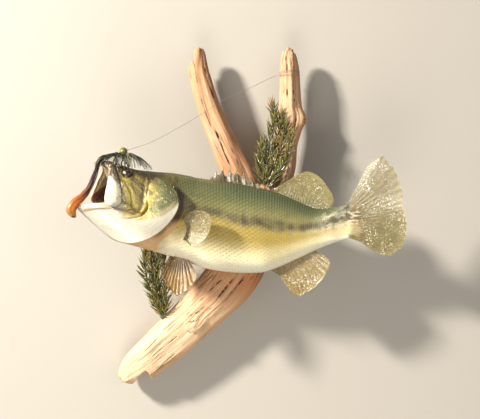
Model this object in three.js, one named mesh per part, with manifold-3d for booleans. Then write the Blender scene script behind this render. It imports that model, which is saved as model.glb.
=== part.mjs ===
// A largemouth bass mounted on a forked piece of driftwood that hangs on a wall.
// The fish faces -X and shows its left side to -Y; the wall is the plane y = 0 and everything
// lies at y < 0. Millimetres, +Z up. The origin is the middle of the hanging face.
import * as THREE from "three";
import { mergeVertices } from "three/addons/utils/BufferGeometryUtils.js";
import Module from "manifold-3d";

const wasm = await Module();
wasm.setup();

// ---------------------------------------------------------------- driving sizes
const GAP = 0.3; // clearance left between touching pieces
const HEAD_YAW = 22; // degrees the head turns out from the wall
const HEAD_PITCH = 26; // degrees the snout is raised
const HEAD_AT = [-149.9, -112, -10.9]; // where the gill covers' middle lies in the plane of symmetry
const EYE_R = 9.4;
const LINE_D = 0.6; // fishing line
const HOOK_D = 1.6;
const FIN_T = 1.4; // thickness of a fin at its root
const FIN_EDGE_T = 0.8;

// ---------------------------------------------------------------- small tools
const V = (x, y, z) => new THREE.Vector3(x, y, z);
const rad = (d) => (d * Math.PI) / 180;
const clamp = (x, a, b) => Math.min(b, Math.max(a, x));
const mix = (a, b, t) => a + (b - a) * t;
const sstep = (a, b, x) => {
  const t = clamp((x - a) / (b - a), 0, 1);
  return t * t * (3 - 2 * t);
};

// A smooth curve through (x, y) stations that never overshoots them (monotone cubic).
function curve(stations) {
  const s = [...stations].sort((p, q) => p[0] - q[0]);
  const n = s.length,
    d = [],
    m = [];
  for (let i = 0; i < n - 1; i++)
    d.push((s[i + 1][1] - s[i][1]) / (s[i + 1][0] - s[i][0]));
  for (let i = 0; i < n; i++)
    if (i === 0) m.push(d[0]);
    else if (i === n - 1) m.push(d[n - 2]);
    else
      m.push(
        d[i - 1] * d[i] <= 0 ? 0 : (2 * d[i - 1] * d[i]) / (d[i - 1] + d[i]),
      );
  return (x) => {
    if (x <= s[0][0]) return s[0][1];
    if (x >= s[n - 1][0]) return s[n - 1][1];
    let i = 0;
    while (x > s[i + 1][0]) i++;
    const h = s[i + 1][0] - s[i][0],
      t = (x - s[i][0]) / h,
      t2 = t * t,
      t3 = t2 * t;
    return (
      (2 * t3 - 3 * t2 + 1) * s[i][1] +
      (t3 - 2 * t2 + t) * h * m[i] +
      (-2 * t3 + 3 * t2) * s[i + 1][1] +
      (t3 - t2) * h * m[i + 1]
    );
  };
}

// A smooth line through points in space; at(0..1) runs over it by point number.
function path(points) {
  const c = new THREE.CatmullRomCurve3(
    points.map((p) => V(...p)),
    false,
    "centripetal",
  );
  return (t) => c.getPoint(clamp(t, 0, 1));
}

function geometryOf(points, faces) {
  const g = new THREE.BufferGeometry();
  g.setAttribute(
    "position",
    new THREE.Float32BufferAttribute(
      points.flatMap((p) => [p.x, p.y, p.z]),
      3,
    ),
  );
  g.setIndex(faces.flat());
  return g;
}

// A closed solid through rings of points, all with the same count, with a fan over each end.
function loft(rings) {
  const n = rings[0].length,
    points = rings.flat(),
    faces = [];
  for (let i = 0; i < rings.length - 1; i++)
    for (let j = 0; j < n; j++) {
      const a = i * n + j,
        b = i * n + ((j + 1) % n);
      faces.push([a, b, b + n], [a, b + n, a + n]);
    }
  [0, rings.length - 1].forEach((r, end) => {
    const c = rings[r]
      .reduce((s, p) => s.clone().add(p), V(0, 0, 0))
      .divideScalar(n);
    points.push(c);
    const k = points.length - 1;
    for (let j = 0; j < n; j++) {
      const a = r * n + j,
        b = r * n + ((j + 1) % n);
      faces.push(end ? [k, a, b] : [k, b, a]);
    }
  });
  return solid(geometryOf(points, faces));
}

// A ring whose tube closes on itself, such as a wrap of line.
function hoop(at, steps, radius, sides) {
  const points = [],
    faces = [];
  for (let i = 0; i < steps; i++) {
    const p = at(i / steps),
      q = at((i + 1) / steps).clone();
    const t = q.sub(p).normalize(),
      a = V(0, 0, 1).cross(t).normalize(),
      b = t.clone().cross(a);
    for (let j = 0; j < sides; j++) {
      const w = (2 * Math.PI * j) / sides;
      points.push(
        p
          .clone()
          .addScaledVector(a, radius * Math.cos(w))
          .addScaledVector(b, radius * Math.sin(w)),
      );
    }
  }
  for (let i = 0; i < steps; i++)
    for (let j = 0; j < sides; j++) {
      const a = i * sides + j,
        b = i * sides + ((j + 1) % sides),
        c = ((i + 1) % steps) * sides + j,
        d = ((i + 1) % steps) * sides + ((j + 1) % sides);
      faces.push([a, b, d], [a, d, c]);
    }
  return solid(geometryOf(points, faces));
}

// A sheet given by at(u, v), made solid: thickness(u, v) thick, half on each side, and its rim
// pushed out by rim millimetres.
function sheet(at, nu, nv, thickness, rim = 0) {
  const e = 1e-3,
    top = [],
    bottom = [],
    faces = [];
  for (let i = 0; i <= nu; i++)
    for (let j = 0; j <= nv; j++) {
      const u = i / nu,
        v = j / nv,
        p = at(u, v);
      const u0 = Math.max(0, u - e),
        u1 = Math.min(1, u + e),
        v0 = Math.max(0, v - e),
        v1 = Math.min(1, v + e);
      const du = at(u1, clamp(v, 0.02, 0.98)).sub(at(u0, clamp(v, 0.02, 0.98))).normalize();
      const dv = at(clamp(u, 0.02, 0.98), v1).sub(at(clamp(u, 0.02, 0.98), v0)).normalize();
      const nrm = du.clone().cross(dv).normalize(),
        h = thickness(u, v) / 2;
      if (i === 0) p.addScaledVector(du, -rim);
      if (i === nu) p.addScaledVector(du, rim);
      if (j === 0) p.addScaledVector(dv, -rim);
      if (j === nv) p.addScaledVector(dv, rim);
      top.push(p.clone().addScaledVector(nrm, h));
      bottom.push(p.clone().addScaledVector(nrm, -h));
    }
  const m = nv + 1,
    off = top.length,
    id = (i, j) => i * m + j;
  for (let i = 0; i < nu; i++)
    for (let j = 0; j < nv; j++) {
      const a = id(i, j),
        b = id(i + 1, j),
        c = id(i + 1, j + 1),
        d = id(i, j + 1);
      faces.push([a, b, c], [a, c, d]);
      faces.push([off + a, off + c, off + b], [off + a, off + d, off + c]);
    }
  const edge = [];
  for (let i = 0; i < nu; i++) edge.push(id(i, 0));
  for (let j = 0; j < nv; j++) edge.push(id(nu, j));
  for (let i = nu; i > 0; i--) edge.push(id(i, nv));
  for (let j = nv; j > 0; j--) edge.push(id(0, j));
  for (let k = 0; k < edge.length; k++) {
    const a = edge[k],
      b = edge[(k + 1) % edge.length];
    faces.push([b, a, off + a], [b, off + a, off + b]);
  }
  return solid(geometryOf([...top, ...bottom], faces));
}

// A tube of changing radius along at(0..1).
function tube(at, steps, sides, radius) {
  const rings = [];
  let side = V(0, 1, 0);
  for (let i = 0; i <= steps; i++) {
    const t = i / steps,
      p = at(t);
    const d = at(Math.min(1, t + 0.01))
      .sub(at(Math.max(0, t - 0.01)))
      .normalize();
    side = side.clone().addScaledVector(d, -side.dot(d)).normalize();
    const up = d.clone().cross(side);
    rings.push(
      Array.from({ length: sides }, (_, j) => {
        const w = (2 * Math.PI * j) / sides,
          r = radius(t);
        return p
          .clone()
          .addScaledVector(side, r * Math.cos(w))
          .addScaledVector(up, r * Math.sin(w));
      }),
    );
  }
  return loft(rings);
}

function solid(geometry) {
  const g = geometry.clone();
  g.deleteAttribute("normal");
  g.deleteAttribute("uv");
  const merged = mergeVertices(g, 1e-4),
    index = merged.index.array,
    kept = [];
  for (let i = 0; i < index.length; i += 3) {
    const [a, b, c] = [index[i], index[i + 1], index[i + 2]];
    if (a !== b && b !== c && a !== c) kept.push(a, b, c);
  }
  const make = (tris) =>
    new wasm.Manifold(
      new wasm.Mesh({
        numProp: 3,
        vertProperties: merged.attributes.position.array,
        triVerts: new Uint32Array(tris),
      }),
    );
  const made = make(kept);
  if (made.volume() >= 0) return made;
  for (let i = 0; i < kept.length; i += 3)
    [kept[i + 1], kept[i + 2]] = [kept[i + 2], kept[i + 1]];
  return make(kept);
}

const biggest = (s) =>
  s
    .decompose()
    .reduce((best, b) => (b.volume() > best.volume() ? b : best));

const group = new THREE.Group();
function show(name, made, material) {
  const m = biggest(made).getMesh(),
    n = m.numProp,
    v = new Float32Array(m.numVert * 3);
  for (let i = 0; i < m.numVert; i++)
    v.set(m.vertProperties.subarray(i * n, i * n + 3), i * 3);
  const g = new THREE.BufferGeometry();
  g.setAttribute("position", new THREE.BufferAttribute(v, 3));
  g.setIndex(new THREE.BufferAttribute(m.triVerts, 1));
  g.computeVertexNormals();
  const mesh = new THREE.Mesh(g, material);
  mesh.name = name;
  group.add(mesh);
}

const paint = (color, roughness, metalness = 0) =>
  new THREE.MeshStandardMaterial({ color, roughness, metalness });
const BACK = paint(0x6b7040, 0.35),
  BELLY = paint(0xe9dfc0, 0.3),
  SIDE = paint(0xa89a5c, 0.32),
  FIN = paint(0x9a9466, 0.25),
  WOOD = paint(0xd8a878, 0.8),
  EYE = paint(0x2a1c12, 0.08),
  MOUTH = paint(0xc99a84, 0.35),
  WEED = paint(0x3c3f1c, 0.45),
  BAIT = paint(0xb8611c, 0.3),
  SKIRT = paint(0x4a5a24, 0.5),
  STEEL = paint(0x8c8c88, 0.3, 1),
  NYLON = paint(0xc8c8b8, 0.2);

// A ring with its widest level at centre: hw to each side, up above and down below it.
function oval(centre, side, rise, hw, up, down, nUp, nDown, sides) {
  return Array.from({ length: sides }, (_, j) => {
    const w = (2 * Math.PI * j) / sides,
      c = Math.cos(w),
      s = Math.sin(w),
      n = s > 0 ? nUp : nDown;
    const x = Math.sign(c) * Math.abs(c) ** (2 / n) * hw,
      y = Math.sign(s) * Math.abs(s) ** (2 / n) * (s > 0 ? up : down);
    return centre
      .clone()
      .addScaledVector(side, x)
      .addScaledVector(rise, y);
  });
}

// ---------------------------------------------------------------- trunk of the fish
// Stations along X: the back, the belly, the middle's distance from the wall, and half the thickness.
const trunkBack = curve([
  [-200, -12], [-188, 12], [-173, 30], [-153, 39.5], [-134, 39.6], [-117, 37.2],
  [-95, 34.1], [-71, 31], [-47, 28], [-23, 23.6], [1, 18.6], [25, 12.4],
  [49, 2.6], [73, -8.4], [96, -15.2], [119, -13.4], [135, -7.5], [147, -3.5],
]);
const trunkBelly = curve([
  [-206, -66], [-187, -76], [-173, -81], [-153, -87.7], [-134, -92.8],
  [-117, -99.9], [-95, -109.2], [-71, -114.6], [-47, -117.6], [-23, -118.9],
  [1, -118.4], [25, -111.8], [49, -101.2], [73, -89.8], [96, -78.6],
  [119, -69.4], [135, -64], [147, -60.6],
]);
const trunkOut = curve([
  [-206, -134.7], [-187, -127], [-173, -121.4], [-153, -113.2], [-134, -105.8],
  [-117, -101], [-95, -97], [-71, -95], [-47, -94], [-23, -94.4], [1, -95.4],
  [25, -97], [49, -100], [73, -104], [96, -109], [119, -115], [142, -121.4],
  [158, -126],
]);
const trunkHalf = curve([
  [-206, 5], [-200, 11], [-188, 20], [-173, 27.5], [-153, 32.5], [-134, 35.5],
  [-117, 37.6], [-95, 39.2], [-71, 39.6], [-47, 39.2], [-23, 38], [1, 35.8],
  [25, 32.2], [49, 27.6], [73, 22.6], [96, 18], [119, 14], [135, 11], [147, 7],
]);
const TRUNK_X = [
  -206, -194, -174, -152, -128, -100, -70, -40, -10, 18, 44, 68, 90, 108, 126,
  147,
];
function trunkFrame(x) {
  const y = trunkOut(x),
    slope = (trunkOut(x + 4) - trunkOut(x - 4)) / 8;
  const side = V(slope, -1, 0).normalize(); // towards the fish's left
  const z = mix(trunkBelly(x), trunkBack(x), 0.53);
  return { centre: V(x, y, z), side, rise: V(0, 0, 1) };
}
// A point on the trunk's surface: turn 0 is the left flank, 90 the back, -90 the belly.
function onTrunk(x, turn, grow = 0) {
  const { centre, side, rise } = trunkFrame(x),
    w = rad(turn),
    c = Math.cos(w),
    s = Math.sin(w);
  const n = s > 0 ? 1.95 : 2.1;
  return centre
    .clone()
    .addScaledVector(
      side,
      Math.sign(c) * Math.abs(c) ** (2 / n) * (trunkHalf(x) + grow),
    )
    .addScaledVector(
      rise,
      Math.sign(s) *
        Math.abs(s) ** (2 / n) *
        ((s > 0 ? trunkBack(x) - centre.z : centre.z - trunkBelly(x)) + grow),
    );
}
function trunkSolid(grow, sides = 20) {
  const rings = TRUNK_X.map((x) =>
    Array.from({ length: sides }, (_, j) =>
      onTrunk(
        x === -206 ? x - grow : x === 147 ? x + grow : x,
        (360 * j) / sides,
        grow,
      ),
    ),
  );
  return loft(rings);
}

// ---------------------------------------------------------------- the head's own frame
const psi = rad(HEAD_YAW),
  phi = rad(HEAD_PITCH);
const FWD = V(
  -Math.cos(psi) * Math.cos(phi),
  -Math.sin(psi) * Math.cos(phi),
  Math.sin(phi),
);
const UP = V(
  Math.cos(psi) * Math.sin(phi),
  Math.sin(psi) * Math.sin(phi),
  Math.cos(phi),
);
const LEFT = V(Math.sin(psi), -Math.cos(psi), 0);
const LEVEL = V(-Math.cos(psi), -Math.sin(psi), 0);
const H0 = V(...HEAD_AT);
// a forward and b up along the raised head, l to the fish's left.
const inHead = (a, b, l) =>
  H0.clone()
    .addScaledVector(FWD, a)
    .addScaledVector(UP, b)
    .addScaledVector(LEFT, l);
// h forward on the level and z up: the frame of the lower jaw and throat.
const inJaw = (h, z, l) =>
  H0.clone().addScaledVector(LEVEL, h).addScaledVector(V(0, 0, 1), z).addScaledVector(LEFT, l);

// ---------------------------------------------------------------- skull, cheeks and snout
const skullTop = curve([
  [-18, 60], [-10, 58], [10, 51.8], [26, 46], [46, 38.5], [60, 33], [72, 29.4],
  [86, 27.2], [97, 25.6], [108, 24.2], [116, 21.8], [120, 17.5],
]);
const skullLow = curve([
  [-18, -36], [10, -44], [25, -47], [40, -47], [54, -44], [66, -38], [76, -30],
  [86, -20], [95, -9], [104, 1], [112, 7.5], [120, 12.5],
]);
const skullMid = curve([
  [-18, 4], [10, -4], [25, -8], [40, -11], [54, -12], [68, -10], [78, -6],
  [87, -1], [96, 4], [105, 9], [114, 13], [120, 15],
]);
const skullHalf = curve([
  [-18, 31], [10, 32.5], [25, 33], [40, 33], [54, 32], [66, 30.5], [76, 29],
  [86, 26.8], [95, 23.6], [104, 19.6], [112, 14.4], [117, 9.5], [120, 4.5],
]);
const SKULL_A = [-18, 4, 26, 46, 62, 76, 88, 98, 107, 114, 118, 120];
const skullSolid = (grow) =>
  loft(
    SKULL_A.map((a) =>
      oval(
        inHead(a === 120 ? a + grow : a, skullMid(a), 0),
        LEFT,
        UP,
        skullHalf(a) + grow,
        skullTop(a) - skullMid(a) + grow,
        skullMid(a) - skullLow(a) + grow,
        2.15,
        2.2,
        16,
      ),
    ),
  );

// ---------------------------------------------------------------- lower jaw and throat
const jawRim = curve([
  [-2, -14], [20, -14], [40, -10], [60, -3], [75, 1.5], [90, 3.5], [105, 3.5], [118, 2.4],
  [128, 1.2], [134, 0], [138, -2.2],
]);
const jawBelly = curve([
  [-2, -76], [18, -71], [40, -64.5], [56, -61], [69, -57.8], [79, -54.5], [88, -49.8],
  [100, -40.5], [112, -29.6], [122, -20.5], [131, -12.6], [138, -5.5],
]);
const jawHalf = curve([
  [-2, 24], [20, 31], [40, 33.5], [60, 34.5], [75, 33.5], [90, 31], [105, 27],
  [118, 21.5], [127, 16], [133, 10.5], [138, 4],
]);
const JAW_H = [-2, 20, 42, 60, 76, 90, 103, 115, 125, 132, 138];
const jawSolid = (grow) =>
  loft(
    JAW_H.map((h) => {
      const top = jawRim(h) + grow,
        low = jawBelly(h) - grow,
        mid = mix(low, top, 0.78);
      return oval(
        inJaw(h === 138 ? h + grow : h, mid, 0),
        LEFT,
        V(0, 0, 1),
        jawHalf(h) + grow,
        top - mid,
        mid - low,
        3.2,
        mix(2.1, 1.7, sstep(60, 110, h)),
        16,
      );
    }),
  );

// ---------------------------------------------------------------- mouth: two hollows
const mouthSolid = loft(
  [
    [140, -20, 24, 30],
    [122, -19.5, 23, 30.5],
    [108, -18, 21.7, 27.5],
    [92, -17, 22, 24],
    [72, -18.8, 21.4, 20],
    [52, -21.8, 17.4, 15.4],
    [36, -24.2, 12, 10],
    [30, -25, 8, 6],
  ].map(([a, b, hw, hh]) =>
    oval(inHead(a, b, 0), LEFT, UP, hw, hh, hh, 2.3, 2.3, 12),
  ),
);
const jawTrough = (grow) =>
  loft(
    [
      [131.5, 6, 3.5, 10],
      [124, 3, 12.2, 15.5],
      [110, 0, 19, 19],
      [94, -1.4, 22.6, 22.6],
      [76, -5.5, 23.2, 22.6],
      [58, -12, 17, 15],
    ].map(([h, z, hw, hh]) =>
      oval(inJaw(h, z, 0), LEFT, V(0, 0, 1), hw + grow, hh + grow, hh + grow, 2.2, 2.4, 12),
    ),
  );

// ---------------------------------------------------------------- upper jaw plates
// The front edge carries the lip; the plate hangs from the snout and is broad at its free end.
function maxillaAt(side) {
  const front = path([
    [111.5, 15.5, 12.5], [108.6, 3, 18.8], [106.6, -12, 24], [104.6, -26, 28],
    [102.4, -35.5, 30.6], [98, -42.5, 31.8],
  ]);
  const back = path([
    [105, 18, 16.2], [96.5, 4.5, 25.6], [90, -6, 29.2], [82, -20.5, 32.6],
    [78.5, -32, 33.8], [83, -41, 33.6],
  ]);
  return (u, v) => {
    const p = front(v).lerp(back(v), u),
      out = 1.5 * Math.sin(Math.PI * u);
    // The arch of the mouth is turned a little further out than the skull.
    return inHead(p.x - 1 - side * 0.14 * p.z, p.y, side * (p.z + out));
  };
}
const maxillaSolid = (side, grow) => {
  const at = maxillaAt(side);
  return sheet(at, 2, 7, (u, v) => 3.2 - 0.8 * u + 2 * grow, grow);
};

// ---------------------------------------------------------------- gill covers
function gillAt(side) {
  const hinge = path([
    [22, 44, 24], [34, 27, 30.5], [38.5, 13, 34], [37, -3, 36.5], [44, -14, 36.5],
    [60, -20, 34.8], [80, -23.5, 30.5], [96, -26, 22.5], [107, -27.5, 14.5],
  ]);
  const edge = path([
    [8, 37, 32.5], [-1.5, 27, 39.5], [-7.5, 15, 44.5], [-7, 0, 47], [-1, -14, 46.5],
    [10, -28.5, 44], [26, -43, 39.5], [46, -53, 33], [64, -56.5, 24.5],
    [80, -52.5, 14.5], [92, -44.5, 8.5], [102, -36.5, 5.5],
  ]);
  return (u, v) => {
    const p = hinge(v).lerp(edge(v), u),
      out = 3.2 * Math.sin(Math.PI * u) * (1 - v * v);
    return inJaw(p.x, p.y, side * (p.z + out));
  };
}
const gillSolid = (side, grow) =>
  sheet(
    gillAt(side),
    3,
    10,
    (u, v) => mix(mix(5, 2.4, u), 1.8, v * v) + 2 * grow,
    grow,
  );

// ---------------------------------------------------------------- flesh, whole, then parted
const box = (x0, x1, y0, y1, z0, z1) => {
  const g = new THREE.BoxGeometry(x1 - x0, y1 - y0, z1 - z0);
  g.translate((x0 + x1) / 2, (y0 + y1) / 2, (z0 + z1) / 2);
  return g;
};
// Everything on the +normal side of a plane, as a big block.
function beyond(point, normal, size = 700) {
  const g = new THREE.BoxGeometry(size, size, size);
  g.translate(0, 0, size / 2);
  const q = new THREE.Quaternion().setFromUnitVectors(
    V(0, 0, 1),
    normal.clone().normalize(),
  );
  g.applyQuaternion(q);
  g.translate(point.x, point.y, point.z);
  return solid(g);
}
const ball = (centre, r, w = 20, h = 12) => {
  const g = new THREE.SphereGeometry(r, w, h);
  g.translate(centre.x, centre.y, centre.z);
  return solid(g);
};
const eyeCentre = (side) => inHead(81, 14.6, side * 15.6);

function fleshSolid(grow) {
  return trunkSolid(grow).add(skullSolid(grow)).add(jawSolid(grow));
}
const mouthHollow = mouthSolid.add(jawTrough(0));
let flesh = fleshSolid(0).subtract(mouthHollow);
for (const side of [1, -1])
  flesh = flesh
    .subtract(gillSolid(side, GAP))
    .subtract(maxillaSolid(side, GAP))
    .subtract(ball(eyeCentre(side), EYE_R + GAP, 12, 7));

const cutAt = (point, normal) => [
  beyond(point.clone().addScaledVector(normal, GAP / 2), normal),
  beyond(
    point.clone().addScaledVector(normal, -GAP / 2),
    normal.clone().negate(),
  ),
];
const [foreHead, behindHead] = cutAt(inHead(12, 0, 0), FWD);
const [belowMouth, aboveMouth] = cutAt(
  inJaw(66, -13, 0),
  V(0, 0, -1).addScaledVector(LEVEL, 0.16).normalize(),
);
const [afterRear, beforeRear] = cutAt(V(8, 0, 0), V(1, 0, 0));
const [afterTail, beforeTail] = cutAt(V(98, 0, 0), V(1, 0, 0));
const isthmusCut = cutAt(inJaw(24, 0, 0), LEVEL);

const front = flesh.intersect(foreHead);
show("head", front.intersect(aboveMouth), SIDE);
show("lower_jaw", front.intersect(belowMouth).intersect(isthmusCut[0]), BELLY);
const body = flesh
  .intersect(behindHead)
  .add(
    front
      .intersect(belowMouth)
      .intersect(isthmusCut[1])
      .intersect(beyond(inHead(12 - 1.2, 0, 0), FWD)),
  );
show("trunk_front", body.intersect(beforeRear), BACK);
show("trunk_rear", body.intersect(afterRear).intersect(beforeTail), BACK);
show("tail_base", body.intersect(afterTail), BACK);

for (const [name, side] of [
  ["left", 1],
  ["right", -1],
]) {
  show("gill_cover_" + name, gillSolid(side, 0), SIDE);
  show(
    "maxilla_" + name,
    maxillaSolid(side, 0).subtract(gillSolid(side, GAP)),
    BELLY,
  );
  show("eye_" + name, ball(eyeCentre(side), EYE_R, 12, 7), EYE);
}

// The tongue lies on the floor of the mouth.
const tongue = loft(
  [
    [66, -20, 5, 2.4],
    [76, -18.6, 9, 3.7],
    [90, -17, 10, 4],
    [102, -14.2, 8.4, 3.2],
    [112, -11.2, 3, 1.4],
  ].map(([h, z, hw, hh]) =>
    oval(inJaw(h, z, 0), LEFT, V(0, 0, 1), hw, hh, hh + 9, 2.2, 2.2, 10),
  ),
).subtract(fleshSolid(GAP).subtract(jawTrough(-GAP)));
show("tongue", tongue, MOUTH);

// ---------------------------------------------------------------- fins
// A fan from a root line to an outer line, cupped by bow millimetres and thin at its edge.
function fan(root, outer, bowOf, nu, nv, cut) {
  const r = path(root),
    o = path(outer);
  const at = (u, v) => {
    const a = r(u),
      b = o(u);
    return a.lerp(b, v).add(bowOf(u, v));
  };
  return sheet(at, nu, nv, (u, v) => mix(FIN_T, FIN_EDGE_T, v)).subtract(cut);
}
const trunkRoom = trunkSolid(GAP);
const outAt = (x) => trunkOut(x);
const Y = (pairs, lean = 0) =>
  pairs.map(([x, z]) => [x, outAt(x) + lean * Math.abs(z), z]);

show(
  "fin_spiny_dorsal",
  fan(
    Y([[-78, 26], [-60, 23], [-38, 20], [-14, 15], [8, 9], [24, 5]]),
    Y([
      [-77.6, 36], [-72.5, 44], [-66, 51], [-58, 53.5], [-50.5, 55.5], [-42, 52.5],
      [-35.5, 52.5], [-28, 48.5], [-21, 45.5], [-13, 40], [-5, 31.5], [3, 25.5],
      [12, 22], [22, 19.5],
    ]),
    (u, v) => V(0, 2.2 * Math.sin(Math.PI * u) * v, 0),
    13, 2, trunkRoom,
  ),
  FIN,
);
show(
  "fin_soft_dorsal",
  fan(
    Y([[24, 6], [44, 0], [64, -9], [84, -19], [103, -22]]),
    Y([
      [24, 17], [35.8, 24.2], [47.9, 31.6], [58.2, 38], [66.7, 42.8], [75.2, 44.8],
      [85.4, 42.3], [97, 33.6], [107.2, 21.6], [115.2, 7.8], [117, -2.5],
      [114.4, -13],
    ]),
    (u, v) => V(0, -5 * Math.sin(Math.PI * u) * v * v, 0),
    12, 2, trunkRoom,
  ),
  FIN,
);
show(
  "fin_anal",
  fan(
    Y([[18, -104], [34, -98], [52, -90], [68, -82], [80, -78]]),
    Y([
      [18.4, -114], [26, -118.5], [32.3, -123.4], [42.6, -138], [53, -149.6],
      [61.6, -154.4], [70.2, -152], [83.8, -144], [97.2, -131.6], [105.7, -117.6],
      [111.4, -103.8], [110.4, -95.6], [103.8, -91.2], [94, -89.6], [80, -88.6],
    ]),
    (u, v) => V(0, -4 * Math.sin(Math.PI * u) * v * v, 0),
    13, 2, trunkRoom,
  ),
  FIN,
);
const tailCurl = (x) => -0.34 * Math.max(0, x - 142) + 0.0012 * Math.max(0, x - 142) ** 2;
const T = (pairs) => pairs.map(([x, z]) => [x, -121.4 + tailCurl(x), z]);
show(
  "fin_caudal",
  fan(
    T([[139, -11], [141, -20], [142.5, -32], [141.5, -45], [139.5, -55]]),
    T([
      [141, -2.6], [153.8, 19.6], [166.6, 47], [177.2, 60.4], [190, 67.6], [200, 59.8],
      [211.2, 42.8], [218, 24.2], [220, 7.4], [219.8, -6.3], [221.6, -16.2],
      [225, -28.1], [227, -43.3], [225.6, -58.4], [220.9, -71.8], [211.3, -83.6],
      [198.2, -88.4], [185.1, -85.8], [170.4, -77.6], [158.8, -69], [141, -61.8],
    ]),
    (u, v) => V(0, 3.5 * Math.sin(3 * Math.PI * u) * v * v, 0),
    20, 2, trunkRoom,
  ),
  FIN,
);
// Paired fins. The left ones flare towards -Y; the right ones mirror them in the body's own plane.
const across = (p, x0) => {
  const m = V(x0, outAt(x0), 0),
    s = trunkFrame(x0).side;
  return p.clone().addScaledVector(s, -2 * p.clone().sub(m).dot(s));
};
function paired(kind, x0, root, outer, bow, swing) {
  const l = root.map((p) => V(...p)),
    o = outer.map((p) => V(...p));
  const asRows = (list) => list.map((p) => [p.x, p.y, p.z]);
  show(
    kind + "_left",
    fan(asRows(l), asRows(o), bow(1), 10, 2, bodyRoom),
    FIN,
  );
  const turn = (p) => {
    const q = across(p, x0);
    return swing(q);
  };
  show(
    kind + "_right",
    fan(asRows(l.map(turn)), asRows(o.map(turn)), bow(-1), 10, 2, bodyRoom),
    FIN,
  );
}
let bodyRoom = fleshSolid(GAP);
for (const side of [1, -1]) bodyRoom = bodyRoom.add(gillSolid(side, GAP));
const rootOut = onTrunk(-122, -16);
paired(
  "fin_pectoral",
  -122,
  [
    [-124, rootOut.y + 7, -42], [-122.5, rootOut.y + 6, -47], [-121, rootOut.y + 6, -53],
    [-119, rootOut.y + 7, -59],
  ],
  [
    [-118, -148, -30], [-111, -150, -24], [-103, -152.5, -19.5], [-95, -154, -17.4],
    [-86, -155.5, -18], [-78.5, -156, -22.5], [-74.4, -156, -31], [-74, -155.5, -41],
    [-77, -154, -51], [-83, -152, -60], [-90, -150, -67.5], [-98, -148, -73.4],
    [-107, -146, -73.2], [-114, -143.5, -66],
  ],
  (s) => (u, v) => V(0, -s * 5 * Math.sin(Math.PI * u) * v, 0),
  (q) => V(q.x, mix(onTrunk(-110, 180).y, q.y, 0.72) , q.z),
);
const pelvicY = -112;
paired(
  "fin_pelvic",
  -118,
  [
    [-130, pelvicY + 3, -86], [-126, pelvicY + 1, -88], [-121, pelvicY, -90.5],
    [-115, pelvicY + 1, -93.5],
  ],
  [
    [-137.5, -117, -97], [-142.4, -119, -108.4], [-146, -121, -120], [-145, -122, -130],
    [-141.3, -123, -138], [-135.8, -124, -147.2], [-129, -124.5, -151.6], [-121.4, -124, -149.2],
    [-112.6, -123, -141.5], [-105, -121.5, -133], [-99.6, -120, -121],
    [-104, -118, -110.5], [-111, -116, -103.5],
  ],
  (s) => (u, v) => V(0, -s * 4 * Math.sin(Math.PI * u) * v * v, 0),
  (q) => V(q.x - 4, q.y + 3, q.z + 3),
);

// ---------------------------------------------------------------- driftwood
// A length of wood: stations along its middle line, each with half its width and half its depth.
const ripple = (t, w, seed) =>
  0.05 * Math.sin(3 * w + seed + 5 * t) +
  0.035 * Math.sin(5 * w + 2.1 * seed - 9 * t) +
  0.03 * Math.sin(2 * w - 7 * t + seed);
function woodAt(stations, seed) {
  const n = stations.length - 1;
  const at = [0, 1, 2, 3, 4].map((k) =>
    curve(stations.map((s, i) => [i / n, s[k]])),
  );
  const point = (t) => V(at[0](t), at[1](t), at[2](t));
  return (t, w, grow = 0) => {
    const d = point(Math.min(1, t + 0.02)).sub(point(Math.max(0, t - 0.02)));
    const across_ = V(d.z, 0, -d.x).normalize(),
      deep = V(0, 1, 0);
    const r = 1 + ripple(t, w, seed);
    const c = Math.cos(w),
      s = Math.sin(w);
    return point(t)
      .addScaledVector(
        across_,
        (at[3](t) * r + grow) * Math.sign(c) * Math.abs(c) ** 0.88,
      )
      .addScaledVector(
        deep,
        (at[4](t) * r + grow) * Math.sign(s) * Math.abs(s) ** 0.88,
      );
  };
}
const woodSolid = (at, steps, sides, grow = 0) =>
  loft(
    Array.from({ length: steps + 1 }, (_, i) =>
      Array.from({ length: sides }, (_, j) =>
        at(i / steps, (2 * Math.PI * j) / sides, grow),
      ),
    ),
  );
// x, y, z, half width, half depth
const logAt = woodAt(
  [
    [-230, -28, -303.5, 6, 7], [-227.5, -28, -301, 12.5, 13], [-221, -28, -295.5, 20, 18],
    [-209, -28, -285, 28, 21], [-188, -28, -269, 33, 24], [-163, -28, -246.5, 34.5, 26.5],
    [-136, -28, -222.5, 35.5, 28.5], [-107, -28.5, -194.5, 36.3, 31], [-78, -29, -165, 38.5, 34],
    [-52, -30, -136, 42, 36], [-33, -31, -104, 44, 37.5], [-19, -31.5, -70, 44, 38.5],
    [-8, -31, -36, 41, 38.5], [-1, -30.5, -10, 36, 37], [3, -30.5, 6, 31, 34.5], [5, -31, 15, 23, 29],
    [6, -31, 20, 14, 22],
  ],
  0.7,
);
const branchLeftAt = woodAt(
  [
    [-6, -30, -22, 20, 23], [-18, -31, 6, 21.5, 23.5], [-31.5, -33, 38, 22.4, 22],
    [-45, -35, 66, 22.8, 20], [-59, -36, 96, 22, 18.5], [-74, -36.5, 131, 20.2, 17.5],
    [-87, -37, 167, 18.4, 17], [-96, -37, 199, 17.4, 16], [-101, -37, 221, 16.2, 14.5],
    [-100.5, -37, 236, 12.5, 12], [-99.5, -37, 247, 9.2, 9.5], [-98.4, -37, 254, 4.5, 5.5],
  ],
  2.3,
);
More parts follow.
